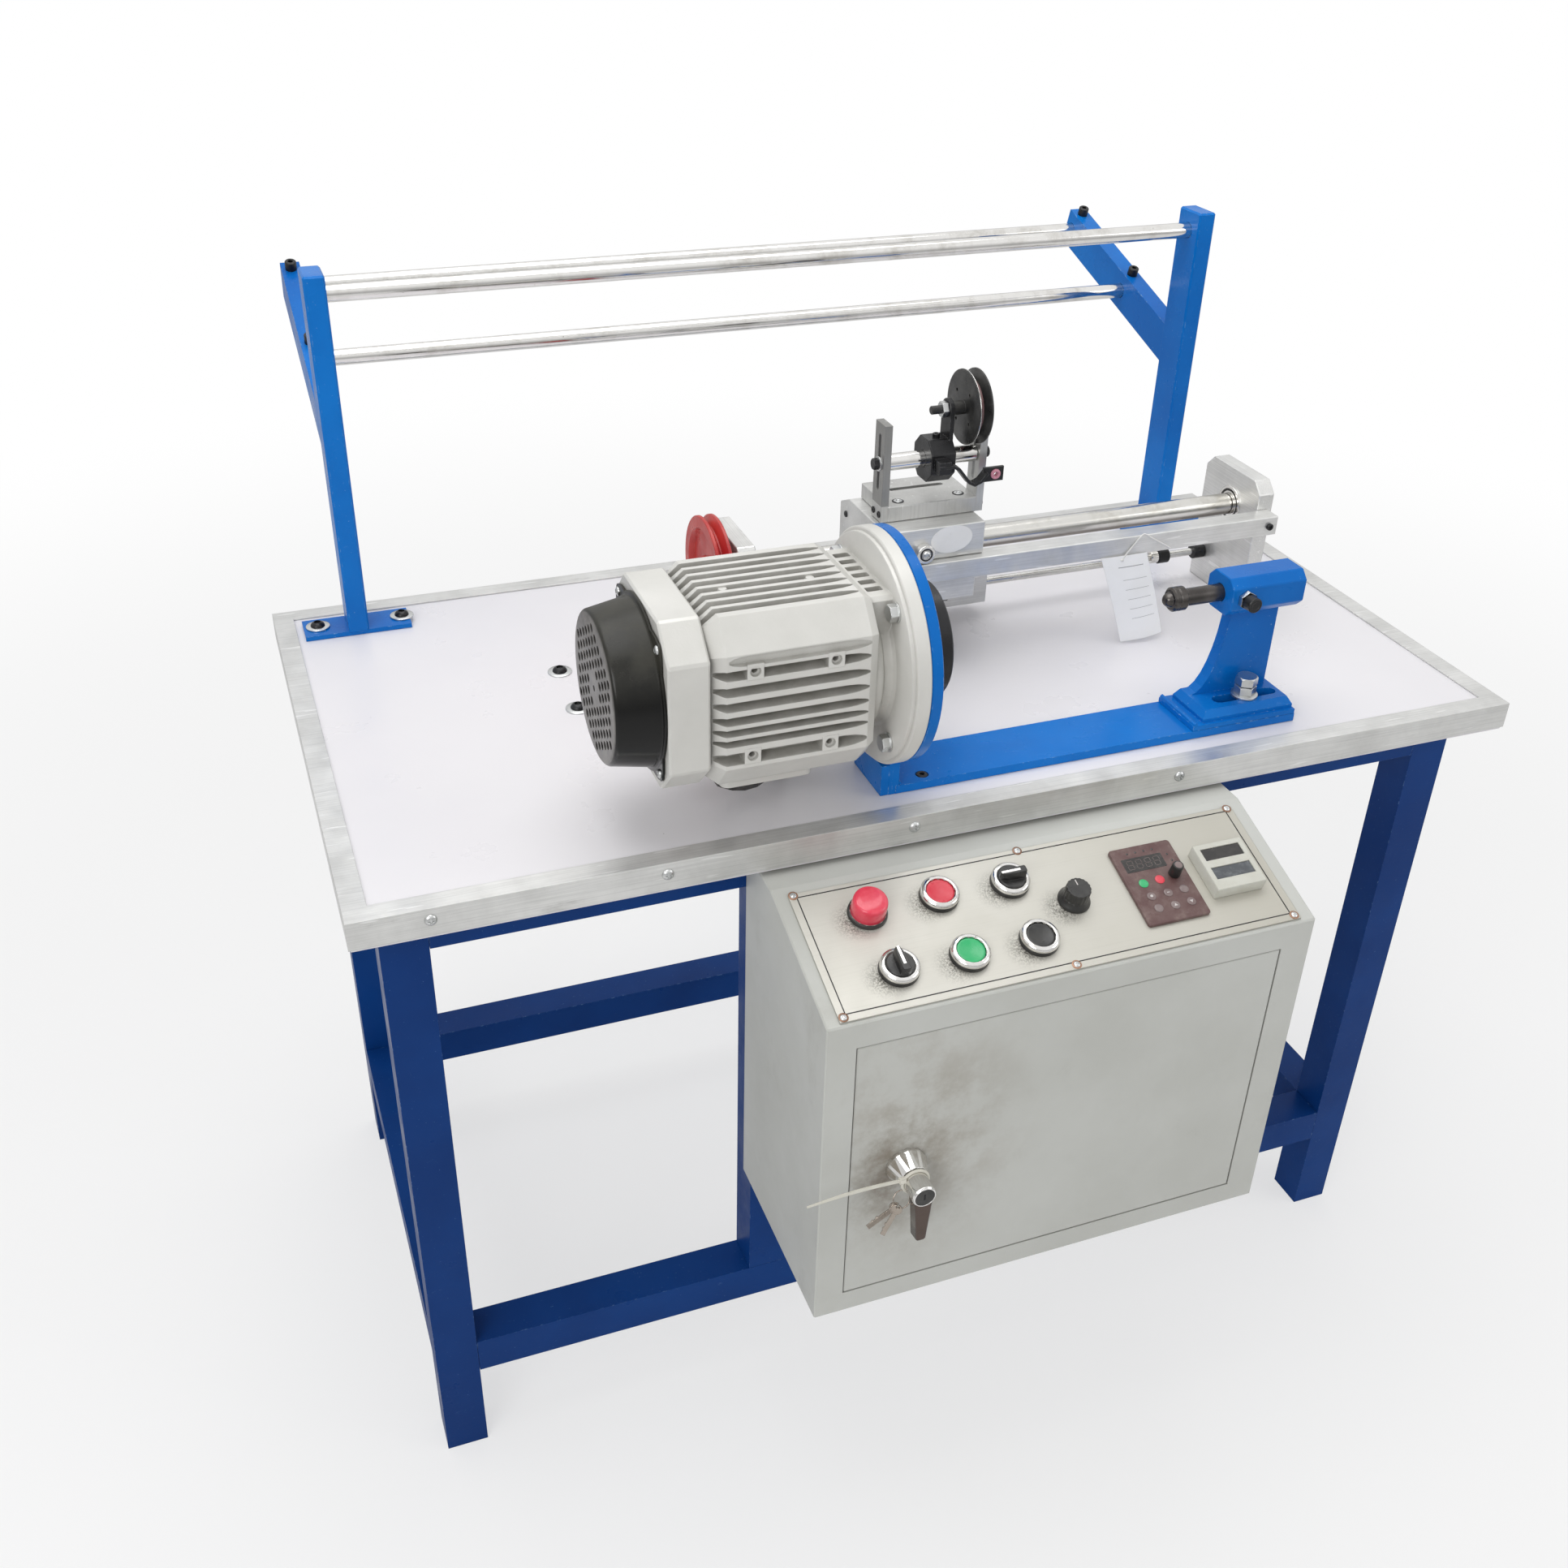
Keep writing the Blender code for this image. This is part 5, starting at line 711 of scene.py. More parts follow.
def bolt_head(flat, height, washer_radius, washer_thick):
    """Hexagon head on a washer, told by its size across the flats."""
    head = hexagon(flat / math.sqrt(3), washer_thick, washer_thick + height, height * 0.22)
    return joined(head, washer(washer_radius, flat * 0.3, washer_thick))


def fasteners(name, make, sizes, body, material, places):
    """One piece for each place; a place is (point, direction) in bench coordinates."""
    for number, (place, direction) in enumerate(places, 1):
        piece("%s_%d" % (name, number), make(*sizes), body, material, matrix=pointing(place, direction))


set_camera()

# Finishes
blue_frame = enamel("blue_frame_paint", (0.0030, 0.034, 0.165), (0.0048, 0.050, 0.225),
                    (0.16, 0.28, 0.50), 0.34, 0.03)
blue_machine = enamel("blue_machine_paint", (0.0015, 0.118, 0.450), (0.0035, 0.182, 0.610),
                      (0.30, 0.52, 0.74), 0.28, 0.14)
white_laminate = laminate()
aluminium_x = bare_aluminium("aluminium_x", "x", (0.760, 0.760, 0.745), (0.600, 0.600, 0.585))
aluminium_y = bare_aluminium("aluminium_y", "y", (0.770, 0.770, 0.755), (0.630, 0.630, 0.615))
casting = motor_casting()
cover_black = black_cover()
steel_black = dark_steel("black_steel", (0.0110, 0.0110, 0.0120), (0.25, 0.25, 0.25), 0.30)
screw_black = dark_steel("screw_black", (0.010, 0.010, 0.011), (0.22, 0.22, 0.22), 0.32, 0.45)
steel_bright = shiny_metal("bright_steel", (0.660, 0.655, 0.635), (0.470, 0.455, 0.420), 0.20, 0.25)
# The drive shaft gets a painted shade on its underside
shaft_steel = shiny_metal("shaft_steel", (0.700, 0.690, 0.660), (0.520, 0.500, 0.450), 0.18, 0.2,
                          painted_shade_below=origin.z + drive_shaft[1] - 0.0015)
steel_centre = dark_steel("centre_steel", (0.060, 0.055, 0.052), (0.40, 0.39, 0.37), 0.26, 0.85)
chrome = shiny_metal("chrome", (0.800, 0.790, 0.770), (0.560, 0.540, 0.500), 0.10, 0.4)
dark_chrome = shiny_metal("dark_chrome", (0.120, 0.092, 0.080), (0.075, 0.056, 0.048), 0.16, 0.3)
key_steel = shiny_metal("key_steel", (0.420, 0.370, 0.320), (0.240, 0.200, 0.165), 0.24, 0.3)
upright_grey = bare_aluminium("upright_aluminium", "z", (0.640, 0.640, 0.625), (0.480, 0.480, 0.465),
                              shaded_upright)
zinc = shiny_metal("zinc", (0.620, 0.630, 0.625), (0.440, 0.450, 0.450), 0.28, 0.3, "z")
wired_plate = plate_with_units()
lock_place = origin + Vector((lock_axis[0], cabinet_front, lock_axis[1]))
cabinet_grey = cabinet_paint("cabinet_paint")
door_grey = cabinet_paint("cabinet_door_paint", lock_place)
red = red_enamel()
lens_red = lamp_plastic()
button_red = moulded("red_plastic", (0.690, 0.022, 0.050), (0.80, 0.30, 0.32), 0.28, dust=0.12)
button_green = moulded("green_plastic", (0.004, 0.420, 0.130), (0.30, 0.65, 0.42), 0.28, dust=0.12)
black = moulded("black_plastic", (0.0120, 0.0120, 0.0120), (0.16, 0.155, 0.14), 0.32, dust=0.16)
maroon = moulded("maroon_plastic", (0.100, 0.046, 0.044), (0.33, 0.26, 0.23), 0.36, dust=0.34)
beige = moulded("beige_plastic", (0.600, 0.600, 0.540), (0.40, 0.38, 0.30), 0.42, dust=0.22)
pale_key = moulded("pale_key", (0.185, 0.132, 0.128), (0.52, 0.47, 0.45), 0.34, dust=0.20)
unlit = moulded("unlit_digit", (0.110, 0.085, 0.080), (0.30, 0.27, 0.26), 0.40, dust=0.15)
print_grey = moulded("print_grey", (0.300, 0.300, 0.295), (0.50, 0.50, 0.49), 0.60, dust=0.20)
white_print = moulded("white_print", (0.640, 0.600, 0.580), (0.80, 0.78, 0.76), 0.45, dust=0.20)
sheath = moulded("cable_sheath", (0.0110, 0.0110, 0.0115), (0.20, 0.19, 0.17), 0.30, dust=0.30)
nylon = moulded("nylon", (0.740, 0.720, 0.640), (0.50, 0.47, 0.38), 0.36, dust=0.25)
ceramic = moulded("pink_ceramic", (0.560, 0.200, 0.270), (0.75, 0.55, 0.58), 0.20, dust=0.15)
worn_groove = moulded("worn_groove", (0.210, 0.110, 0.110), (0.40, 0.32, 0.32), 0.30, dust=0.25)
card = card_paper()
cotton = moulded("cotton", (0.760, 0.755, 0.735), (0.60, 0.58, 0.52), 0.80, dust=0.30)
dark_glass = display_glass("dark_glass", (0.010, 0.008, 0.007), (0.10, 0.09, 0.08))
grey_glass = display_glass("grey_glass", (0.060, 0.068, 0.078), (0.26, 0.28, 0.29))
rusty = dark_steel("rusty_screw", (0.230, 0.130, 0.085), (0.55, 0.48, 0.42), 0.45, 0.55)

finishes = {
    blue_frame: """leg_front_left leg_front_right leg_rear_left leg_rear_right rail_front rail_rear
                   rail_left rail_right stretcher_front stretcher_rear stretcher_left stretcher_right
                   cabinet_upright""",
    blue_machine: "stand_left stand_right headstock tailstock_body",
    white_laminate: "tabletop",
    aluminium_x: "table_trim traverse_beam carriage_body",
    upright_grey: "carriage_top",
    aluminium_y: "traverse_plate_left traverse_plate_right",
    casting: "motor_housing fan_shroud",
    cover_black: "fan_cover",
    steel_black: "face_plate guide_arm",
    steel_centre: "live_centre tailstock_quill",
    screw_black: "tailstock_lock_screw",
    steel_bright: "traverse_shaft motor_rotor trip_rod carriage_roller",
    chrome: "rod_front rod_middle rod_rear cross_rod lock_handle",
    zinc: "tailstock_clamp_bolt",
    wired_plate: "electrics_plate",
    cabinet_grey: "cabinet_shell",
    door_grey: "cabinet_door",
    red: "traverse_pulley",
    lens_red: "pilot_lamp",
    button_red: "stop_button",
    button_green: "start_button",
    black: "reset_button power_switch inching_switch speed_knob keypad_knob pitch_knob guide_pulley",
    maroon: "inverter_keypad",
    beige: "counter",
    sheath: "motor_cable",
}


def dress(finish, names):
    for name in names.split():
        thing = nodes[name]
        for held in thing.material_slots:
            held.material = finish
        if not thing.material_slots:
            thing.data.materials.append(finish)


for finish, names in finishes.items():
    dress(finish, names)


# Motor
tip_half = 0.0745
crease_height = 0.050
top_edge = 0.054
housing_left = 0.2913
housing_full = 0.3035
slots_right = 0.4225
housing_right = 0.4300
slot_depth = 0.0130
top_slot_count = 8
top_slot_pitch = 0.0124
top_slot_width = 0.0080
side_slots = ((0.0330, 0.0084), (0.0190, 0.0082), (0.0057, 0.0080), (-0.0068, 0.0074), (-0.0172, 0.0062),
              (-0.0268, 0.0062), (-0.0410, 0.0106))
shallow_slot = (0.0445, 0.0088, 0.0040)
foot_pads = ((0.3267, 0.0345), (0.3934, 0.0340), (0.3253, -0.0400), (0.3908, -0.0402))
pad_half = 0.0068
flange_bolt_offset = 0.0590
cover_screw_reach = 0.077 / math.sqrt(2)
four_corners = ((-1, 1), (1, 1), (-1, -1), (1, -1))
shaft_bore = 0.0102
cover_face = 0.2180
cover_hole_pitch = 0.0106
cover_hole_rows = 6
cover_hole_field = (0.0117, 0.0535)
cover_hole_radius = 0.0038

clamp_bolt_place = (0.838, 0.064)
bar_screw_place = (0.502, 0.0510)

# The face plate's front, as far out as the photograph shows it
plate_front = 0.5080


def round_spindle(points, quarter=0):
    """Points across and out from the spindle, swung by quarter turns, as bench places."""
    for _ in range(quarter):
        points = [(-v, u) for u, v in points]
    return [(spindle[0] + u, spindle[1] + v) for u, v in points]


def housing_outline(inset):
    full = tip_half - inset
    flat = top_edge - inset * 0.4
    side = crease_height - inset * 0.4
    upper = [(full, -side), (full, side), (flat, full), (-flat, full)]
    return round_spindle(upper + [(-u, -v) for u, v in upper])


def cooling_slot(centre, width, low, high, quarter, depth=slot_depth):
    """A slot along the motor that narrows and runs out at both ends."""
    outlines = []
    levels = []
    for place, share in ((low, 0.24), (low + 0.003, 0.60), (low + 0.009, 0.92), (low + 0.016, 1.0),
                         (high - 0.020, 1.0), (high - 0.010, 0.84), (high - 0.003, 0.50), (high, 0.20)):
        half = width / 2 * share
        root = half * 0.70
        bottom = tip_half - depth * min(1.0, share + 0.1)
        over, brim = tip_half + 0.002, tip_half - 0.0006
        outlines.append(round_spindle([(centre - half, over), (centre + half, over), (centre + half, brim),
                                       (centre + root, bottom), (centre - root, bottom),
                                       (centre - half, brim)], quarter))
        levels.append(place)
    return loft(outlines, "x", levels)


def foot_pad(x, across, quarter):
    """Square boss with a countersunk hole, standing in a slot of the fins."""
    square = rectangle(across - pad_half, tip_half - slot_depth, across + pad_half, tip_half + 0.0003)
    pad = prism(round_spindle(square, quarter), "x", x - pad_half, x + pad_half)
    place = round_spindle([(across, tip_half)], quarter)[0]
    outward = round_spindle([(0.0, 1.0)], quarter)[0]
    direction = Vector((0.0, outward[0] - spindle[0], outward[1] - spindle[1]))
    hole = turned([(-0.0090, 0.0020), (-0.0028, 0.0024), (-0.0024, 0.0040), (0.0010, 0.0046)], steps=28)
    return cut(pad, moved(hole, pointing((x, *place), direction)))


def housing():
    """Finned housing, bored for the shaft."""
    body = loft([housing_outline(0.010), housing_outline(0.0), housing_outline(0.0), housing_outline(0.0045)],
                "x", [housing_left, housing_full, slots_right, housing_right])
    tools = []
    for i in range(top_slot_count):
        centre = (i - (top_slot_count - 1) / 2) * top_slot_pitch
        for quarter in (0, 2):
            tools.append(cooling_slot(centre, top_slot_width, housing_left - 0.016, slots_right, quarter))
    for centre, width in side_slots:
        tools.append(cooling_slot(centre, width, housing_left + 0.001, slots_right, 1))
        tools.append(cooling_slot(-centre, width, housing_left + 0.001, slots_right, 3))
    centre, width, depth = shallow_slot
    for side, quarter in ((centre, 1), (-centre, 3)):
        tools.append(cooling_slot(side, width, housing_full + 0.002, slots_right, quarter, depth))
    tools.append(rod(housing_left - 0.01, housing_right + 0.01, shaft_bore, "x", spindle, 40))
    return cut(body, *tools)


def motor_parts():
    body = housing()
    pads = []
    for x, up in foot_pads:
        pads.append(foot_pad(x, up, 1))
        pads.append(foot_pad(x, -up, 3))
    boss = [(0.190, 0.0046), (0.2035, 0.0042), (0.2050, 0.0034), (0.2052, 0.0018)]
    bosses = [turned(boss, "z", place, 28) for place in ((0.3234, 0.0663), (0.3963, 0.0648))]
    neck = turned([(0.4290, 0.0640), (0.4302, 0.0672), (0.4360, 0.0668), (0.4385, 0.0655), (0.4400, 0.0632),
                   (0.4440, 0.0626), (0.4472, 0.0636), (0.4496, 0.0668), (0.4496, shaft_bore),
                   (0.4290, shaft_bore)], "x", spindle, 96, ring=True)
    flange = turned([(flange_back, 0.0950), (0.4499, 0.0962), (0.4527, 0.0966), (0.4530, 0.0988),
                     (0.4540, 0.1000), (0.4644, 0.1000), (0.4653, 0.0991), (0.4653, shaft_bore),
                     (flange_back, shaft_bore)], "x", spindle, 128, ring=True)
    end_shield = turned([(0.2833, 0.0640), (0.2840, 0.0655), (0.2960, 0.0655), (0.2960, shaft_bore),
                         (0.2833, shaft_bore)], "x", spindle, 64, ring=True)
    return joined(body, neck, flange, end_shield, vent_box(), terminal_box(), *pads, *bosses)


def vent_box():
    """Slotted box over the neck, between the fins and the flange."""
    half = 0.0505
    outline = round_spindle([(-half, 0.0300), (half, 0.0300), (half, 0.0660), (half - 0.0035, 0.0695),
                             (-half + 0.0035, 0.0695), (-half, 0.0660)])
    tools = []
    for i in range(6):
        middle = spindle[0] + (i - 2.5) * 0.0136
        slot = rounded(0.4325, middle - 0.0039, 0.4462, middle + 0.0039, 0.0012, 3)
        tools.append(prism(slot, "z", 0.187, 0.206))
    return cut(prism(outline, "x", 0.4235, 0.4496), *tools)


def terminal_box():
    base = prism(rounded(0.3145, 0.0365, 0.3915, 0.1035, 0.006), "z", 0.0435, 0.0760)
    lid = prism(rounded(0.3130, 0.0350, 0.3930, 0.1050, 0.007), "z", 0.0395, 0.0450)
    return joined(base, lid)


def motor_details():
    piece("motor_casting_body", motor_parts(), "bench", casting, replaces=("motor_housing",),
          smooth=28.0)
    gland = joined(hexagon(0.0105, 0.0, 0.0060),
                   turned([(-0.0050, 0.0066), (-0.0040, 0.0080), (0.0, 0.0084)], steps=32))
    piece("cable_gland", shifted(gland, 0.3228, 0.080, 0.0334), "bench", black)
    for name, make, sizes, x, reach in (
            ("flange_bolt", bolt_head, (0.0130, 0.0062, 0.0083, 0.0016), flange_back, flange_bolt_offset),
            ("cover_screw", cross_screw, (0.0040, 0.0024), 0.2547, cover_screw_reach)):
        places = [((x, spindle[0] + side * reach, spindle[1] + up * reach), (-1, 0, 0))
                  for side, up in four_corners]
        fasteners(name, make, sizes, "bench", zinc, places)


def cover_parts():
    """Tapered fan cover with a round nose, a turned-out lip, four ears and a field of round holes."""
    nose = []
    for i in range(7):
        angle = math.radians(15 * i)
        nose.append((0.2223 - 0.0043 * math.sin(angle), 0.0634 - 0.0048 * (1 - math.cos(angle))))
    outer = turned([(0.2566, 0.0700), (0.2564, 0.0724), (0.2553, 0.0727), (0.2545, 0.0718), (0.2541, 0.0700),
                    (0.2532, 0.0690)] + nose, "x", spindle, 112)
    inner = turned([(0.2590, 0.0665), (0.2240, 0.0605), (0.2205, 0.0585)], "x", spindle, 112)
    low, high = cover_face - 0.0010, cover_face + 0.0040
    nearest, farthest = cover_hole_field
    holes = []
    for row in range(-cover_hole_rows, cover_hole_rows + 1):
        for place in range(-cover_hole_rows - 1, cover_hole_rows + 2):
            across = row * cover_hole_pitch * math.sqrt(3) / 2
            up = (place + (row % 2) / 2) * cover_hole_pitch
            if nearest < math.hypot(across, up) < farthest:
                middle = (spindle[0] + across, spindle[1] + up)
                holes.append(rod(low, high, cover_hole_radius, "x", middle, 16))
    holes.append(rod(low, high, 0.0026, "x", spindle, 16))
    parts = [cut(cut(outer, inner), *holes)]
    edge = [(0.0640, -0.0235), (0.0725, -0.0165), (0.0795, -0.0085)]
    outline = edge + arc(0.0770, 0.0, 0.0062, -50, 50, 6) + [(u, -v) for u, v in reversed(edge)]
    for quarter in range(4):
        turn = Matrix.Rotation(math.radians(45 + 90 * quarter), 4, "X")
        parts.append(moved(prism(outline, "x", 0.2547, 0.2565), Matrix.Translation((0.0, *spindle)) @ turn))
    return joined(*parts)


def drive_end():
    """Blue disc with its foot and bar, and the black face plate that turns in front of it."""
    disc = turned([(0.4656, 0.0215), (0.4656, 0.0984), (0.4664, 0.0995), (0.4748, 0.0995), (0.4756, 0.0984),
                   (0.4756, 0.0215)], "x", spindle, 128, ring=True)
    stem = prism(rectangle(0.0405, 0.0003, 0.0995, 0.075), "x", 0.4658, 0.4754)
    block = prism(rectangle(0.0407, 0.0004, 0.0993, 0.0300), "x", 0.4584, 0.4690)
    bar = cut(box((0.4726, 0.0400, 0.0005), (0.8806, 0.1000, 0.0083)),
              rod(-0.01, 0.02, 0.0068, "z", clamp_bolt_place, 32),
              turned([(0.0040, 0.0058), (0.012, 0.0060)], "z", bar_screw_place, 32))
    weld = tube_along([(0.4762, 0.0415 + 0.0057 * i, 0.0092) for i in range(11)], 0.0022, 10)
    piece("headstock_plate", joined(disc, stem, block, bar, weld), "bench", blue_machine,
          replaces=("headstock",), smooth=28.0)
    fasteners("bar_screw", socket_screw, (0.0052, 0.0042), "bench", screw_black,
              [((*bar_screw_place, 0.0045), (0, 0, 1))])

    plate = turned([(0.4686, 0.0200), (0.4781, 0.0200), (0.4784, 0.0490), (0.4794, 0.0500),
                    (plate_front - 0.0013, 0.0500), (plate_front, 0.0488)], "x", spindle, 96)
    mouth = plate_front + 0.0010
    tools = [rod(0.4600, 0.4815, 0.0098, "x", spindle, 48),
             turned([(0.4820, 0.0075), (plate_front - 0.0010, 0.0080), (mouth, 0.0090)], "x", spindle, 48)]
    for i in range(6):
        angle = math.pi / 3 * i
        middle = (spindle[0] + 0.037 * math.cos(angle), spindle[1] + 0.037 * math.sin(angle))
        hole = [(0.4760, 0.0032), (plate_front - 0.0008, 0.0032), (mouth, 0.0042)]
        tools.append(turned(hole, "x", middle, 24))
    piece("face_plate_disc", cut(plate, *tools), "spindle", steel_black,
          replaces=("face_plate",), smooth=28.0)


motor_details()
piece("fan_cover_shell", cover_parts(), "bench", cover_black, replaces=("fan_cover",),
      smooth=28.0)
drive_end()


# Tailstock
def tailstock_details():
    quill = turned([(0.7570, 0.0068), (0.7580, 0.0080), (0.8670, 0.0080), (0.8680, 0.0070)], "x", spindle, 56)
    quill = cut(quill, rod(0.7470, 0.7652, 0.0044, "x", spindle, 40))
    piece("quill_bar", quill, "quill", steel_centre, replaces=("tailstock_quill",))
    nose = turned([(0.7647, 0.0040), (0.7567, 0.0040), (0.7567, 0.0100), (0.7557, 0.0110), (0.7500, 0.0110),
                   (0.7494, 0.0104), (0.7486, 0.0104), (0.7480, 0.0110), (0.7447, 0.0110), (0.7430, 0.0092),
                   (0.7427, 0.0068), (0.7412, 0.0064), (0.7390, 0.0056), (0.7374, 0.0040), (0.7367, 0.0022)],
                  "x", spindle, 64)
    piece("centre_nose", nose, "centre", steel_centre, replaces=("live_centre",))
    nut = joined(washer(0.0125, 0.0066, 0.0024), shifted(hexagon(0.0104, 0.0, 0.0085, 0.0012), 0, 0, 0.0024),
                 turned([(-0.0210, 0.0058), (0.0130, 0.0060)], steps=32),
                 shifted(hexagon(0.0104, 0.0, 0.0082, 0.0016), 0, 0, 0.0121))
    piece("clamp_bolt_and_nut", nut, "clamp_bolt", zinc, replaces=("tailstock_clamp_bolt",),
          matrix=Matrix.Translation((*clamp_bolt_place, 0.0229)))
    ring = moved(hexagon(0.0087, 0.0, 0.0046, 0.0010), pointing((0.809, 0.0497, spindle[1]), (0, -1, 0)))
    piece("lock_screw_nut", ring, "lock_screw", zinc)
    screw = joined(socket_screw(0.0070, 0.0096), rod(-0.0060, 0.0012, 0.0039, steps=28))
    piece("lock_screw_head", screw, "lock_screw", screw_black,
          matrix=pointing((0.809, 0.0442, spindle[1]), (0, -1, 0)))


tailstock_details()


# Rods, shafts and wheels
trip = (0.347, 0.033)
collars = ((0.4263, 0.4398), (0.4710, 0.4930), (0.9050, 0.9140), (0.9140, 0.9270), (0.9582, 0.9717))
plated_collar = 3
bearings = ((0.4262, 0.4282), (0.4058, 0.4078), (0.9699, 0.9719))
rod_radius = 0.008
shaft_radius = 0.011
trip_radius = 0.004
broken_edge = 0.0006


def chamfered(low, high, radius, chamfer, middle, steps):
    """A bar along X with its ends broken."""
    return turned([(low, radius - chamfer), (low + chamfer, radius), (high - chamfer, radius),
                   (high, radius - chamfer)], "x", middle, steps)


def two_sided(side, middle):
    """Profile of a wheel whose sides are alike, from the outline of one side."""
    return ([(middle - out, reach) for out, reach in side]
            + [(middle + out, reach) for out, reach in reversed(side)])


def bars():
    for name in ("rod_front", "rod_middle", "rod_rear"):
        low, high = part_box(name)
        middle = (low + high) / 2 - origin
        bar = chamfered(low.x - origin.x, high.x - origin.x, rod_radius, broken_edge, middle.yz, 48)
        piece(name + "_bar", bar, "bench", chrome, replaces=(name,))
    low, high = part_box("traverse_shaft")
    bar = chamfered(low.x - origin.x, high.x - origin.x, shaft_radius, broken_edge, drive_shaft, 48)
    piece("drive_shaft", bar, "traverse_drive", shaft_steel, replaces=("traverse_shaft",))
    piece("trip_bar", chamfered(0.410, 0.988, trip_radius, broken_edge, trip, 48), "bench", steel_bright,
          replaces=("trip_rod",))
    for number, (low, high) in enumerate(collars, 1):
        finish, radius = (chrome, 0.0068) if number == plated_collar else (screw_black, 0.0080)
        piece("trip_collar_%d" % number, chamfered(low, high, radius, 0.0008, trip, 40), "bench", finish)
    for number, (left, right) in enumerate(bearings, 1):
        outer = turned([(left, 0.0158), (left, 0.0180), (left + 0.0005, 0.0186), (right, 0.0186),
                        (right, 0.0158)], "x", drive_shaft, 64, ring=True)
        inner = tube(left, right, 0.0113, 0.0132, "x", drive_shaft, 64)
        piece("bearing_rings_%d" % number, joined(outer, inner), "bench", chrome)
        seal = tube(left + 0.0006, right, 0.0132, 0.0158, "x", drive_shaft, 64)
        piece("bearing_seal_%d" % number, seal, "bench", black)


def drive_wheel():
    """Red grooved wheel with a dished web and a set screw boss."""
    left, right, radius = 0.3860, 0.4020, 0.055
    half = (right - left) / 2
    middle = (left + right) / 2
    side = [(half, 0.0113), (half, 0.0150), (half - 0.0008, 0.0160), (0.003, 0.0170), (0.003, 0.0415),
            (half - 0.0012, 0.0428), (half, 0.0438), (half, 0.0542), (half - 0.0008, radius),
            (half - 0.0030, radius), (half - 0.0038, 0.0540), (0.0008, 0.0464)]
    wheel = turned(two_sided(side, middle), "x", drive_shaft, 112, ring=True)
    piece("drive_wheel", wheel, "traverse_drive", red, replaces=("traverse_pulley",),
          smooth=28.0)


bars()
drive_wheel()


# Carriage and wire guide
axle = (0.290, 0.2466)
guide_bar = (0.291, 0.200)
roller_place = (0.588, 0.1206)
carriage_top = 0.1598
toward_front = (0, -1, 0)


def roller_details():
    outer = turned([(0.2472, 0.0066), (0.2472, 0.0089), (0.2476, 0.0093), (0.2543, 0.0093), (0.2547, 0.0089),
                    (0.2547, 0.0066)], "y", roller_place, 56, ring=True)
    inner = turned([(0.2476, 0.0040), (0.2470, 0.0048), (0.2540, 0.0048), (0.2540, 0.0040)], "y",
                   roller_place, 56, ring=True)
    piece("roller_rings", joined(outer, inner), "roller", chrome,
          replaces=("carriage_roller",))
    piece("roller_seal", tube(0.2478, 0.2530, 0.0048, 0.0066, "y", roller_place, 56), "roller", black)
    screw = joined(socket_screw(0.0044, 0.0030, dome=True), rod(-0.0140, 0.0002, 0.0028, steps=24))
    x, z = roller_place
    piece("roller_screw", screw, "roller", zinc,
          matrix=pointing((x, 0.2472, z), toward_front))


def carriage_details():
    for number, place in enumerate(((0.575, 0.291, carriage_top), (0.639, 0.2925, carriage_top)), 1):
        matrix = Matrix.Translation(place)
        piece("top_screw_ring_%d" % number, washer(0.0058, 0.0040, 0.0003), "carriage", screw_black,
              matrix=matrix)
        piece("top_screw_%d" % number, socket_screw(0.0043, 0.0009), "carriage", zinc, matrix=matrix)
    for name, left, right, spots in (("carriage_side_screw", 0.548, 0.652, ((0.272, 0.134), (0.352, 0.126))),
                                     ("upright_screw", 0.553, 0.660, ((0.2845, 0.1515), (0.2975, 0.1515)))):
        places = [((x, y, z), (way, 0, 0)) for x, way in ((left, -1), (right, 1)) for y, z in spots]
        fasteners(name, socket_screw, (0.0032, 0.0012), "carriage", screw_black, places)
    piece("guide_bar", chamfered(0.5608, 0.6522, rod_radius, broken_edge, guide_bar, 48), "carriage", chrome,
          replaces=("cross_rod",))
    for side, x, way in (("left", 0.5530, -1), ("right", 0.6600, 1)):
        matrix = pointing((x, *guide_bar), (way, 0, 0))
        piece("upright_washer_" + side, washer(0.0072, 0.0024, 0.0012), "carriage", zinc,
              matrix=matrix)
        bolt = joined(shifted(hexagon(0.0056, 0.0, 0.0052, 0.0010), 0, 0, 0.0012),
                      rod(-0.0085, 0.0020, 0.0023, steps=24))
        piece("upright_bolt_" + side, bolt, "carriage", screw_black, matrix=matrix)
    tilt = math.radians(3.0)
    oval = []
    for i in range(72):
        u, v = 0.0218 * math.cos(math.radians(5 * i)), 0.0138 * math.sin(math.radians(5 * i))
        oval.append((0.6172 + u * math.cos(tilt) - v * math.sin(tilt),
                     0.1301 + u * math.sin(tilt) + v * math.cos(tilt)))
    piece("blank_sticker", prism(oval, "y", 0.25475, 0.25500), "carriage", card)


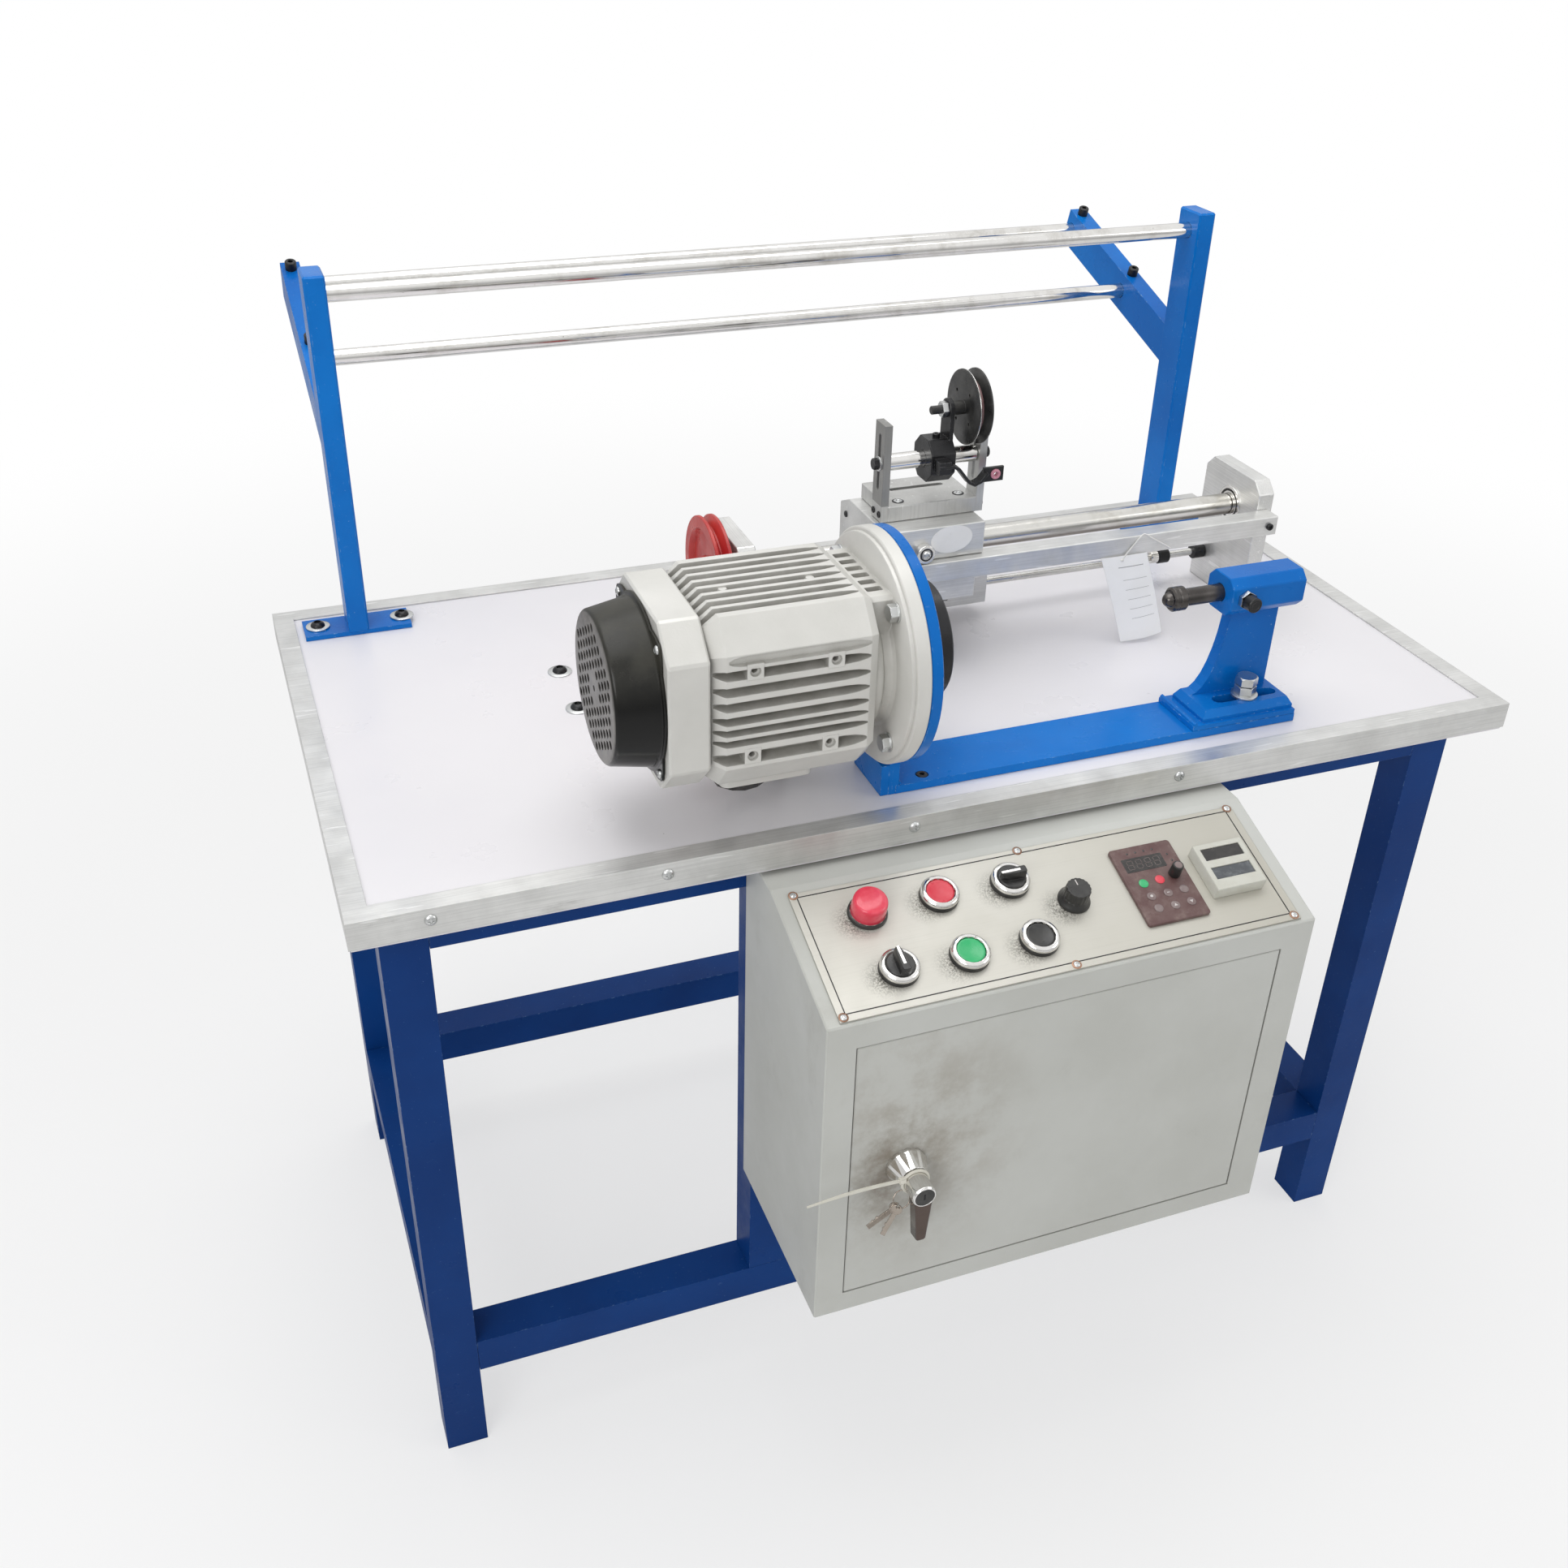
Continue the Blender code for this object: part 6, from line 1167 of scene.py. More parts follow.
def guide_details():
    """The guide pulley's two discs, its worn groove, and the axle with its nut."""
    left, right = 0.6355, 0.6510
    half = (right - left) / 2
    middle = (left + right) / 2
    side = [(half, 0.0060), (half, 0.0335), (half - 0.0006, 0.0350), (half - 0.0018, 0.0350),
            (half - 0.0022, 0.0344), (0.0012, 0.0264)]
    discs = turned(two_sided(side, middle), "x", axle, 96, ring=True)
    tools = []
    for i in range(4):
        angle = math.radians(40 + 90 * i)
        centre = (axle[0] + 0.019 * math.cos(angle), axle[1] + 0.019 * math.sin(angle))
        tools.append(rod(left - 0.002, right + 0.002, 0.0017, "x", centre, 20))
    hub = rod(0.6231, 0.6525, 0.0066, "x", axle, 40)
    bolt = turned([(0.6025, 0.0032), (0.6032, 0.0040), (0.6240, 0.0040)], "x", axle, 36)
    groove = turned([(middle - 0.0040, 0.0300), (middle - 0.0013, 0.0266), (middle + 0.0013, 0.0266),
                     (middle + 0.0040, 0.0300), (middle + 0.0040, 0.0290), (middle, 0.0255),
                     (middle - 0.0040, 0.0290)], "x", axle, 96, ring=True)
    rim = turned([(left + 0.0017, 0.0344), (left + 0.0017, 0.0352), (left + 0.0024, 0.0350),
                  (left + 0.0024, 0.0340)], "x", axle, 96, ring=True)
    nut = moved(hexagon(0.0078, 0.0, 0.0058, 0.0010), pointing((0.6184, *axle), (-1, 0, 0)))
    for name, bm, finish, replaced in (
            ("guide_wheel_discs", joined(cut(discs, *tools), hub, bolt), black, ("guide_pulley",)),
            ("guide_wheel_groove", groove, worn_groove, ()), ("guide_wheel_rim", rim, chrome, ())):
        piece(name, bm, "guide_wheel", finish, replaces=replaced, smooth=28.0)
    piece("axle_nut", nut, "guide_wheel", zinc)
    eyelet = turned([(0.2606, 0.0022), (0.2600, 0.0034), (0.2606, 0.0048), (0.2620, 0.0050), (0.2650, 0.0050),
                     (0.2662, 0.0046), (0.2664, 0.0034), (0.2656, 0.0022)], "y", (0.6613, 0.188), 40,
                    ring=True)
    piece("guide_eyelet", eyelet, "guide", ceramic)


roller_details()
carriage_details()
guide_details()
for name, body, places in (("clamp_screw", "guide", [((0.6105, 0.291, 0.2205), (0, 0, 1))]),
                           ("beam_screw", "bench", [((0.9746, 0.2457, 0.1010), toward_front),
                                                    ((0.4160, 0.2457, 0.1010), toward_front)])):
    fasteners(name, socket_screw, (0.0036, 0.0030), body, screw_black, places)


# Bench and stand fasteners
brace_angle = math.radians(17.5)


def set_screw():
    return joined(shifted(hexagon(0.0052, 0.0, 0.0040), 0, 0, 0.0010), socket_screw(0.0058, 0.0090),
                  rod(-0.0008, 0.0012, 0.0030, steps=20))


def bench_fasteners():
    upward = (0, 0, 1)
    trim_places = [((x, 0.0, -0.0090), toward_front) for x in (0.0643, 0.2552, 0.4734, 0.7336)]
    fasteners("trim_screw", cross_screw, (0.0052, 0.0030), "bench", zinc, trim_places)
    spots = [(x, 0.508, 0.0053) for x in (0.0406, 0.1245, 0.9755, 1.0594)]
    spots += [(0.251, 0.348, 0.0), (0.250, 0.272, 0.0)]
    fasteners("table_washer", washer, (0.0118, 0.0050, 0.0016), "bench", zinc,
              [(place, upward) for place in spots])
    fasteners("table_screw", socket_screw, (0.0072, 0.0052, True), "bench", screw_black,
              [((x, y, z + 0.0014), upward) for x, y, z in spots])
    top_of_brace = Vector((0.0, -math.sin(brace_angle), math.cos(brace_angle)))
    places = []
    for x in (0.079, 1.011):
        for rod_name in ("rod_middle", "rod_rear"):
            low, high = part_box(rod_name)
            middle = (low + high) / 2 - origin
            places.append((Vector((x, middle.y, middle.z)) + top_of_brace * 0.0200, top_of_brace))
    fasteners("rod_set_screw", set_screw, (), "bench", screw_black, places)


bench_fasteners()


# Tag hung from the beam on a string, its corners from the upper left one on
tag_corners = [Vector((0.7790, 0.2435, 0.0925)), Vector((0.8310, 0.2435, 0.0925)),
               Vector((0.8545, 0.2305, 0.0062)), Vector((0.8065, 0.2305, 0.0022))]
tag_front = (tag_corners[3] - tag_corners[0]).cross(tag_corners[1] - tag_corners[0]).normalized()
tag_half_thick = 0.00015
tag_hole = (0.8020, 0.2420, 0.0885)
string_radius = 0.0008
string_stops = ((0.8590, 0.2449, 0.0925), (0.8560, 0.2449, 0.0945), (0.8450, 0.2449, 0.1010),
                (0.8330, 0.2450, 0.1080), (0.8292, 0.2455, 0.1108), (0.8262, 0.2462, 0.1118),
                (0.8232, 0.2455, 0.1108), (0.8200, 0.2450, 0.1080), (0.8120, 0.2444, 0.0990),
                (0.8060, 0.2436, 0.0925), tag_hole)


def on_tag(across, down, lift):
    """Spot on the bowed card, told in shares of its width and height, and lifted off it."""
    upper = tag_corners[0].lerp(tag_corners[1], across)
    lower = tag_corners[3].lerp(tag_corners[2], across)
    bow = 0.0042 * math.sin(math.pi * across) * (0.35 + 0.65 * down) + 0.0016 * math.sin(math.pi * down)
    return upper.lerp(lower, down) + tag_front * (bow - 0.0012 + lift)


def tag_rule(left, right, down, weight):
    """A thin ruled line across the card, a closed bar that follows its curve."""
    steps = 10
    corners = ((-weight, 0.00019), (weight, 0.00019), (weight, 0.00016), (-weight, 0.00016))
    rings = []
    for i in range(steps + 1):
        across = left + (right - left) * i / steps
        rings.append([on_tag(across, down + shift, depth) for shift, depth in corners])
    return skin(rings)


def tag_card():
    """The bowed card, closed along its border."""
    columns, rows = 12, 20
    bm = bmesh.new()
    near, far = [[[bm.verts.new(on_tag(i / columns, j / rows, depth)) for i in range(columns + 1)]
                  for j in range(rows + 1)] for depth in (tag_half_thick, -tag_half_thick)]
    for grid in (near, far):
        for j in range(rows):
            for i in range(columns):
                bm.faces.new((grid[j][i], grid[j][i + 1], grid[j + 1][i + 1], grid[j + 1][i]))
    border = ([(0, i) for i in range(columns)] + [(j, columns) for j in range(rows)]
              + [(rows, i) for i in range(columns, 0, -1)] + [(j, 0) for j in range(rows, 0, -1)])
    for (j, i), (b, a) in zip(border, border[1:] + border[:1]):
        bm.faces.new((near[j][i], near[b][a], far[b][a], far[j][i]))
    return closed(bm)


def hung_tag():
    piece("paper_tag", tag_card(), "bench", card, smooth=60.0)
    rules = [tag_rule(0.30, 0.86, 0.13, 0.004)]
    for i in range(5):
        rules.append(tag_rule(0.34, 0.88, 0.28 + 0.115 * i, 0.002))
    piece("tag_rules", joined(*rules), "bench", print_grey)
    path = smooth_path([Vector(stop) for stop in string_stops], 3)
    string = piece("tag_string", tube_along(path, string_radius, 8), "bench", cotton, smooth=60.0)
    x, y, z = tag_hole
    knot = turned([(-0.0014, 0.0009), (-0.0008, 0.0016), (0.0006, 0.0017), (0.0014, 0.0009)], "y", (x, z), 16)
    knot_piece = piece("tag_knot", shifted(knot, 0.0, y, 0.0), "bench", cotton)


def smooth_path(stops, steps):
    """A smooth line through the stops."""
    points = []
    for i in range(len(stops) - 1):
        before = stops[max(i - 1, 0)]
        start, end = stops[i], stops[i + 1]
        after = stops[min(i + 2, len(stops) - 1)]
        for k in range(steps):
            t = k / steps
            points.append(0.5 * ((2 * start) + (end - before) * t
                                 + (2 * before - 5 * start + 4 * end - after) * t * t
                                 + (3 * start - before - 3 * end + after) * t * t * t))
    return points + [stops[-1]]


hung_tag()


# Door lock
lock_front = -0.1906
tie_place = (lock_axis[0], cabinet_front - 0.0205, lock_axis[1])


def lock_details():
    x, z = lock_axis
    cone = turned([(cabinet_front - 0.0003, 0.0186), (cabinet_front - 0.0030, 0.0186),
                   (cabinet_front - 0.0182, 0.0130)], "y", lock_axis, 10)
    cone = cut(cone, rod(cabinet_front + 0.001, cabinet_front - 0.0190, 0.0122, "y", lock_axis, 36))
    piece("lock_cone", cone, "door", chrome, smooth=15.0)
    hub = turned([(cabinet_front - 0.0186, 0.0105), (lock_front + 0.0012, 0.0105), (lock_front, 0.0096)], "y",
                 lock_axis, 56)
    stem = rod(lock_front + 0.002, -0.1330, 0.0064, "y", lock_axis, 32)
    half, tip = 0.0088, 0.0050
    outline = ([(x - tip, z - 0.050), (x - tip + 0.0015, z - 0.052), (x + tip - 0.0015, z - 0.052),
                (x + tip, z - 0.050), (x + half, z - 0.004)]
               + arc(x, z, 0.0096, 0, 180, 14)[1:-1] + [(x - half, z - 0.004)])
    narrower = [(x + (u - x) * 0.90, z - 0.002 + (v - z + 0.002) * 0.975) for u, v in outline]
    arm = loft([outline, narrower], "y", [lock_front + 0.0115, lock_front + 0.0002])
    tongue = box((x - 0.008, -0.1348, z - 0.008), (x + 0.008, -0.1320, z + 0.050))
    piece("lock_handle_arm", joined(arm, stem, tongue), "door_lock", dark_chrome, smooth=40.0,
          soft=0.0012)
    piece("lock_handle_hub", hub, "door_lock", chrome, replaces=("lock_handle",))
    cap = turned([(lock_front + 0.0002, 0.0086), (lock_front - 0.0002, 0.0088)], "y", lock_axis, 48)
    piece("lock_key_face", cap, "door_lock", black)
    rim = turned([(lock_front + 0.0004, 0.0087), (lock_front - 0.0005, 0.0089), (lock_front - 0.0005, 0.0095),
                  (lock_front + 0.0004, 0.0103)], "y", lock_axis, 56, ring=True)
    piece("lock_key_rim", rim, "door_lock", chrome)
    slot = box((x - 0.0006, lock_front - 0.0006, z - 0.0030), (x + 0.0006, lock_front - 0.0001, z + 0.0030))
    piece("lock_keyhole", slot, "door_lock", screw_black)


def circle(steps):
    """Cosine and sine round a full turn."""
    angles = [2 * math.pi * i / steps for i in range(steps)]
    return [(math.cos(angle), math.sin(angle)) for angle in angles]


def cable_tie(x, y, z):
    """Nylon tie round the lock's neck, with its long tail."""
    loop = [(x + 0.0118 * u, y, z + 0.0118 * v) for u, v in circle(40)]
    band = tube_along(loop, 0.0013, 8, closed_loop=True)
    head = shifted(box((-0.0028, -0.0022, -0.0022), (0.0028, 0.0022, 0.0022)), x - 0.0122, y, z + 0.0050)
    start = Vector((x - 0.0125, y, z + 0.0050))
    end = Vector((0.3160, y - 0.0010, z + 0.0040))
    rings = []
    for i in range(17):
        share = i / 16
        middle = start.lerp(end, share) + Vector((0, 0, 0.0022 * math.sin(math.pi * share)))
        half = 0.00165 * (1.0 - 0.55 * max(0.0, share - 0.5) * 2)
        corners = rectangle(-0.0006, -half, 0.0006, half)
        rings.append([middle + Vector((0, across, up)) for across, up in corners])
    piece("cable_tie", joined(band, head, skin(rings)), "door", nylon, smooth=40.0)


def lock_keys(x, y, z):
    """Two keys on a ring caught under the tie."""
    wire = [(x - 0.0130 + 0.0075 * u, y - 0.0030 + 0.0030 * v, z - 0.0135 + 0.0075 * v)
            for u, v in circle(36)]
    keys = [tube_along(wire, 0.0006, 8, closed_loop=True)]
    for turn, out in ((math.radians(212), -0.0040), (math.radians(246), -0.0058)):
        blade = prism(rectangle(0.0050, -0.0020, 0.0300, 0.0020), "z", -0.0006, 0.0006)
        bow = cut(rod(-0.0007, 0.0007, 0.0048, steps=24), rod(-0.002, 0.002, 0.0018, "z", (-0.0030, 0.0), 16))
        teeth = [box((0.0180, -0.0030, -0.0005), (0.0200, -0.0018, 0.0005)),
                 box((0.0230, -0.0028, -0.0005), (0.0245, -0.0018, 0.0005))]
        stand = (Matrix.Translation((x - 0.0175, y + out, z - 0.0190))
                 @ Matrix.Rotation(math.radians(90), 4, "X") @ Matrix.Rotation(turn, 4, "Z")
                 @ Matrix.Rotation(math.radians(28), 4, "X"))
        for part in (blade, shifted(bow, 0.0020, 0, 0), *teeth):
            keys.append(moved(part, stand))
    piece("lock_keys", joined(*keys), "door", key_steel, smooth=30.0)


lock_details()
cable_tie(*tie_place)
lock_keys(*tie_place)


# Operator panel
panel_slope = math.atan2(-panel_top_drop - cabinet_front_top, panel_shelf_front - cabinet_front)
panel_matrix = (Matrix.Translation((0.0, panel_shelf_front, -panel_top_drop))
                @ Matrix.Rotation(panel_slope, 4, "X"))
panel_normal = panel_matrix.to_3x3() @ Vector((0, 0, 1))
switches = {"lamp": (0.406, 0.042), "stop": (0.471, 0.040), "inching": (0.536, 0.041),
            "speed": (0.583, 0.071), "power": (0.411, 0.100), "start": (0.473, 0.101),
            "reset": (0.536, 0.101)}
keypad_face = 0.0051
keypad_dial_place = (0.681, -0.068)
cap_edge = 0.0121
cap_low = panel_face + 0.0003
knob_top = panel_face + 0.0180
counter_sides = (0.705, -0.099, 0.754, -0.050)
counter_top = 0.0141

# Bars of a digit: where each one's middle is, and its size
digit_bars = [((0.0, up), (0.0048, 0.0008)) for up in (0.0045, 0.0, -0.0045)]
digit_bars += [((across, up), (0.0008, 0.0036)) for up in (0.0023, -0.0023) for across in (-0.0027, 0.0027)]


def on_panel(x, down, out):
    """Bench place of a spot on the sloping panel."""
    return panel_matrix @ Vector((x, -down, out))


def at_switch(name):
    x, down = switches[name]
    return panel_matrix @ Matrix.Translation((x, -down, 0.0))


def on_plate(name, bm, body, material, slot, *replaced, place=panel_matrix):
    """A piece drawn on the sloping panel, or in the coordinates of a place on it."""
    piece(name, bm, body, material, replaces=replaced, matrix=place)


smudges = [origin + on_panel(x - 0.013, down + 0.005, panel_face) for x, down in switches.values()]
dress(panel_plate(smudges), "control_panel")


def panel_details():
    places = [(on_panel(x, down, panel_face), panel_normal)
              for down in (0.011, 0.131) for x in (0.352, 0.557, 0.767)]
    fasteners("panel_washer", washer, (0.0042, 0.0020, 0.0005), "bench", rusty, places)
    lifted = [(place + panel_normal * 0.0004, way) for place, way in places]
    fasteners("panel_screw", cross_screw, (0.0030, 0.0014), "bench", zinc, lifted)
    left, right, upper, lower = 0.3545, 0.7645, -0.0135, -0.1285
    half, proud = 0.00045, panel_face + 0.0002
    border = [box((left, v - half, panel_face), (right, v + half, proud)) for v in (upper, lower)]
    border += [box((u - half, lower, panel_face), (u + half, upper, proud)) for u in (left, right)]
    on_plate("panel_border", joined(*border), "bench", screw_black, "black_plastic")
    for name in ("lamp", "stop", "inching", "power", "start", "reset"):
        gasket = turned([(panel_face, 0.0123), (panel_face, 0.0166), (panel_face + 0.0006, 0.0170),
                         (panel_face + 0.0036, 0.0166), (panel_face + 0.0040, 0.0160),
                         (panel_face + 0.0040, 0.0123)], steps=56, ring=True)
        on_plate(name + "_gasket", gasket, "bench", black, "black_plastic", place=at_switch(name))
        if name != "lamp":
            base = panel_face + 0.0039
            ring = turned([(base, 0.0122), (base, 0.0160), (base + 0.0010, 0.0167), (base + 0.0030, 0.0166),
                           (base + 0.0044, 0.0156), (base + 0.0050, 0.0144), (base + 0.0052, 0.0132),
                           (base + 0.0048, 0.0124), (base + 0.0036, 0.0122)], steps=64, ring=True)
            on_plate(name + "_bezel", ring, "bench", chrome, "chrome", place=at_switch(name))


def button_caps():
    low, high = panel_face + 0.0033, panel_face + 0.0078
    profile = [(low, cap_edge), (high - 0.0012, cap_edge), (high - 0.0003, cap_edge - 0.0004),
               (high, cap_edge - 0.0012), (high - 0.0002, 0.0098), (high - 0.0006, 0.0070),
               (high - 0.0009, 0.0035), (high - 0.0010, 0.0006)]
    for name, finish, slot in (("stop", button_red, "red_plastic"), ("start", button_green, "green_plastic"),
                               ("reset", black, "black_plastic")):
        on_plate(name + "_cap", turned(profile, steps=64), name, finish, slot, name + "_button",
                 place=at_switch(name))


def lamp_lens():
    top = panel_face + 0.0200
    lens = turned([(cap_low, cap_edge), (panel_face + 0.0041, cap_edge), (panel_face + 0.0041, 0.0150),
                   (panel_face + 0.0046, 0.0153), (top - 0.0038, 0.0147), (top - 0.0020, 0.0143),
                   (top - 0.0008, 0.0134), (top - 0.0003, 0.0120), (top - 0.0001, 0.0080), (top, 0.0006)],
                  steps=64)
    on_plate("lamp_lens", lens, "bench", lens_red, "red_plastic", "pilot_lamp", place=at_switch("lamp"))


def selector_handles():
    shelf = panel_face + 0.0100
    base = [(-0.0046, -0.0108), (-0.0030, -0.0117), (0.0030, -0.0117), (0.0046, -0.0108), (0.0042, 0.0060),
            (0.0022, 0.0112), (0.0, 0.0119), (-0.0022, 0.0112), (-0.0042, 0.0060)]
    outlines = [base, base]
    for wide, tall in ((0.80, 0.985), (0.66, 0.965)):
        outlines.append([(u * wide, v * tall) for u, v in base])
    for name, turn in (("power", 0.0), ("inching", 90.0)):
        matrix = at_switch(name) @ Matrix.Rotation(math.radians(turn), 4, "Z")
        collar = turned([(cap_low, cap_edge), (shelf - 0.0008, cap_edge), (shelf, cap_edge - 0.0010)],
                        steps=64)
        finger = loft(outlines, "z", [shelf - 0.0020, shelf + 0.0010, knob_top - 0.0010, knob_top])
        on_plate(name + "_handle", joined(collar, finger), name, black, "black_plastic", name + "_switch",
                 place=matrix)
        stripe = box((-0.0012, -0.0060, knob_top - 0.0002), (0.0012, 0.0114, knob_top + 0.00015))
        on_plate(name + "_mark", stripe, name, chrome, "chrome", place=matrix)


def ribbed(radius, rib, share, steps, middle=(0.0, 0.0)):
    """Outline of a knob with ribs, shrunk to a share of its size."""
    points = []
    for i, (u, v) in enumerate(circle(steps)):
        reach = (radius + (rib if i % 4 < 2 else 0.0)) * share
        points.append((middle[0] + reach * u, middle[1] + reach * v))
    return points


def knob_grip():
    low = cap_low
    skirt = turned([(low, 0.0136), (low + 0.0004, 0.0142), (low + 0.0016, 0.0141), (low + 0.0032, 0.0130),
                    (low + 0.0052, 0.0116), (low + 0.0070, 0.0110)], steps=72)
    outlines = [ribbed(0.0106, 0.00045, share, 72) for share in (1.0, 0.975, 0.93)]
    grip = loft(outlines, "z", [low + 0.0040, knob_top - 0.0010, knob_top])
    mark = box((-0.0005, 0.0030, knob_top - 0.0001), (0.0005, 0.0084, knob_top + 0.00012))
    place = at_switch("speed")
    on_plate("speed_knob_grip", joined(skirt, grip), "speed", black, "black_plastic", "speed_knob",
             place=place)
    on_plate("speed_knob_mark", mark, "speed", white_print, "black_plastic", place=place)


def key_cap(x, down, radius, high):
    return turned([(keypad_face - 0.0003, radius), (keypad_face + high * 0.6, radius),
                   (keypad_face + high, radius * 0.86), (keypad_face + high * 0.95, radius * 0.4)], "z",
                  (x, -down), 40)


def keypad_plate():
    """Drive keypad: plate, row of lamps and four-digit window."""
    outline = rounded(0.634, -0.113, 0.694, -0.032, 0.003)
    plate = loft([outline, outline, rounded(0.6346, -0.1124, 0.6934, -0.0326, 0.0028)], "z",
                 [0.0021, 0.0045, keypad_face])
    body = box((0.640, -0.107, -0.012), (0.688, -0.038, 0.0030))
    on_plate("keypad_plate", joined(plate, body), "bench", maroon, "maroon_plastic", "inverter_keypad")
    window = prism(rounded(0.6405, -0.0585, 0.6795, -0.0440, 0.0010, 3), "z", keypad_face - 0.0002,
                   keypad_face + 0.00015)
    on_plate("keypad_window", window, "bench", dark_glass, "maroon_plastic")
    segments = []
    for digit in range(4):
        for (across, up), (wide, tall) in digit_bars:
            u, v = 0.6470 + 0.0086 * digit + across + up * 0.12, -0.0512 + up
            segments.append(box((u - wide / 2, v - tall / 2, keypad_face),
                                (u + wide / 2, v + tall / 2, keypad_face + 0.00022)))
    on_plate("keypad_digits", joined(*segments), "bench", unlit, "maroon_plastic")
    lamp = [(keypad_face - 0.0002, 0.0011), (keypad_face + 0.0002, 0.0010), (keypad_face + 0.0004, 0.0004)]
    places = [(0.6494 + 0.0082 * i, -0.0390) for i in range(4)] + [(0.6850, -0.0470), (0.6865, -0.0540)]
    on_plate("keypad_lamps", joined(*[turned(lamp, "z", place, 16) for place in places]), "bench", dark_glass,
             "maroon_plastic")


def keypad_keys():
    """The keypad's round keys with their marks, and its knob."""
    for name, x, down, finish, slot in (("run", 0.6493, 0.0713, button_green, "green_plastic"),
                                        ("stop", 0.6655, 0.0706, button_red, "red_plastic")):
        on_plate("keypad_%s_key" % name, key_cap(x, down, 0.0043, 0.0008), "bench", finish, slot)
    keys = [key_cap(x, down, 0.0040, 0.0007)
            for x, down in ((0.6498, 0.0852), (0.6662, 0.0850), (0.6820, 0.0846), (0.6503, 0.0980),
                            (0.6664, 0.0984), (0.6822, 0.0980))]
    on_plate("keypad_keys", joined(*keys), "bench", pale_key, "maroon_plastic")
    low, high = keypad_face + 0.0005, keypad_face + 0.00085
    marks = []
    for x, v, way in ((0.6664, -0.0984, 1), (0.6822, -0.0980, -1)):
        arrow = [(x - 0.0017, v - 0.0010 * way), (x + 0.0017, v - 0.0010 * way), (x, v + 0.0016 * way)]
        marks.append(prism(arrow, "z", low, high))
    marks.append(rod(low, high, 0.0013, "z", (0.6498, -0.0852), 16))
    marks.append(box((0.6650, -0.0854, low), (0.6674, -0.0846, high)))
    on_plate("keypad_marks", joined(*marks), "bench", white_print, "maroon_plastic")
    low = keypad_face + 0.0003
    top = low + 0.0125
    outlines = [ribbed(0.0051, 0.00018, share, 48, keypad_dial_place) for share in (1.0, 0.94, 0.84)]
    on_plate("keypad_dial", loft(outlines, "z", [low, top - 0.0008, top]), "keypad_dial", black,
             "black_plastic", "keypad_knob")
    cap = turned([(top - 0.0002, 0.0036), (top + 0.00012, 0.0034)], "z", keypad_dial_place, 32)
    on_plate("keypad_dial_cap", cap, "keypad_dial", pale_key, "black_plastic")


def counter_parts():
    """Counter with its case and two windows."""
    left, lower, right, upper = counter_sides
    outline = rounded(left, lower, right, upper, 0.0016, 4)
    inset = rounded(left + 0.0007, lower + 0.0007, right - 0.0007, upper - 0.0007, 0.0014, 4)
    face = loft([outline, outline, inset], "z", [0.0021, counter_top - 0.0010, counter_top])
    windows = []
    glasses = []
    for drop in (0.0055, 0.0255):
        top = upper - drop
        windows.append(box((left + 0.0052, top - 0.0125, counter_top - 0.0012),
                           (right - 0.0052, top, counter_top + 0.01)))
        glasses.append(box((left + 0.0054, top - 0.0123, counter_top - 0.0014),
                           (right - 0.0054, top - 0.0002, counter_top - 0.0008)))
    body = box((left + 0.0025, lower + 0.0025, -0.052), (right - 0.0025, upper - 0.0025, 0.0030))
    on_plate("counter_case", joined(cut(face, *windows), body), "bench", beige, "beige_plastic", "counter")
    on_plate("counter_top_window", glasses[0], "bench", dark_glass, "beige_plastic")
    on_plate("counter_low_window", glasses[1], "bench", grey_glass, "beige_plastic")


panel_details()
button_caps()
lamp_lens()
selector_handles()
knob_grip()
keypad_plate()
keypad_keys()
counter_parts()


# Floor and light
light_aim = Vector((0.0, 0.0, 0.7))


def floor_material():
    """White sweep: a soft shadow near the machine, plain white far off."""
    made = Surface("floor", 0.75)
    tone = made.patches(1.2, 3.0, 0.3, 0.7)
    made.set("Base Color", made.mix(tone, (0.86, 0.86, 0.86), (0.84, 0.84, 0.84)))
    glow = made.make("ShaderNodeEmission")
    glow.inputs["Color"].default_value = (1.0, 1.0, 1.0, 1.0)
    glow.inputs["Strength"].default_value = 1.0
    length = made.make("ShaderNodeVectorMath", operation="LENGTH")
    made.feed(length.inputs[0], made.place)
    far = made.ranged(length.outputs["Value"], 0.9, 3.0, 0.60, 1.0)
    seen = made.make("ShaderNodeLightPath").outputs["Is Camera Ray"]
    blend = made.make("ShaderNodeMixShader")
    made.feed(blend.inputs["Fac"], made.times(far, seen))
    made.feed(blend.inputs[1], made.shader.outputs["BSDF"])
    made.feed(blend.inputs[2], glow.outputs["Emission"])
    output = next(n for n in made.tree.nodes if n.type == "OUTPUT_MATERIAL")
    made.feed(output.inputs["Surface"], blend.outputs["Shader"])
    return made.bump(made.noise(40.0, 3.0), 0.0003, 0.2).material


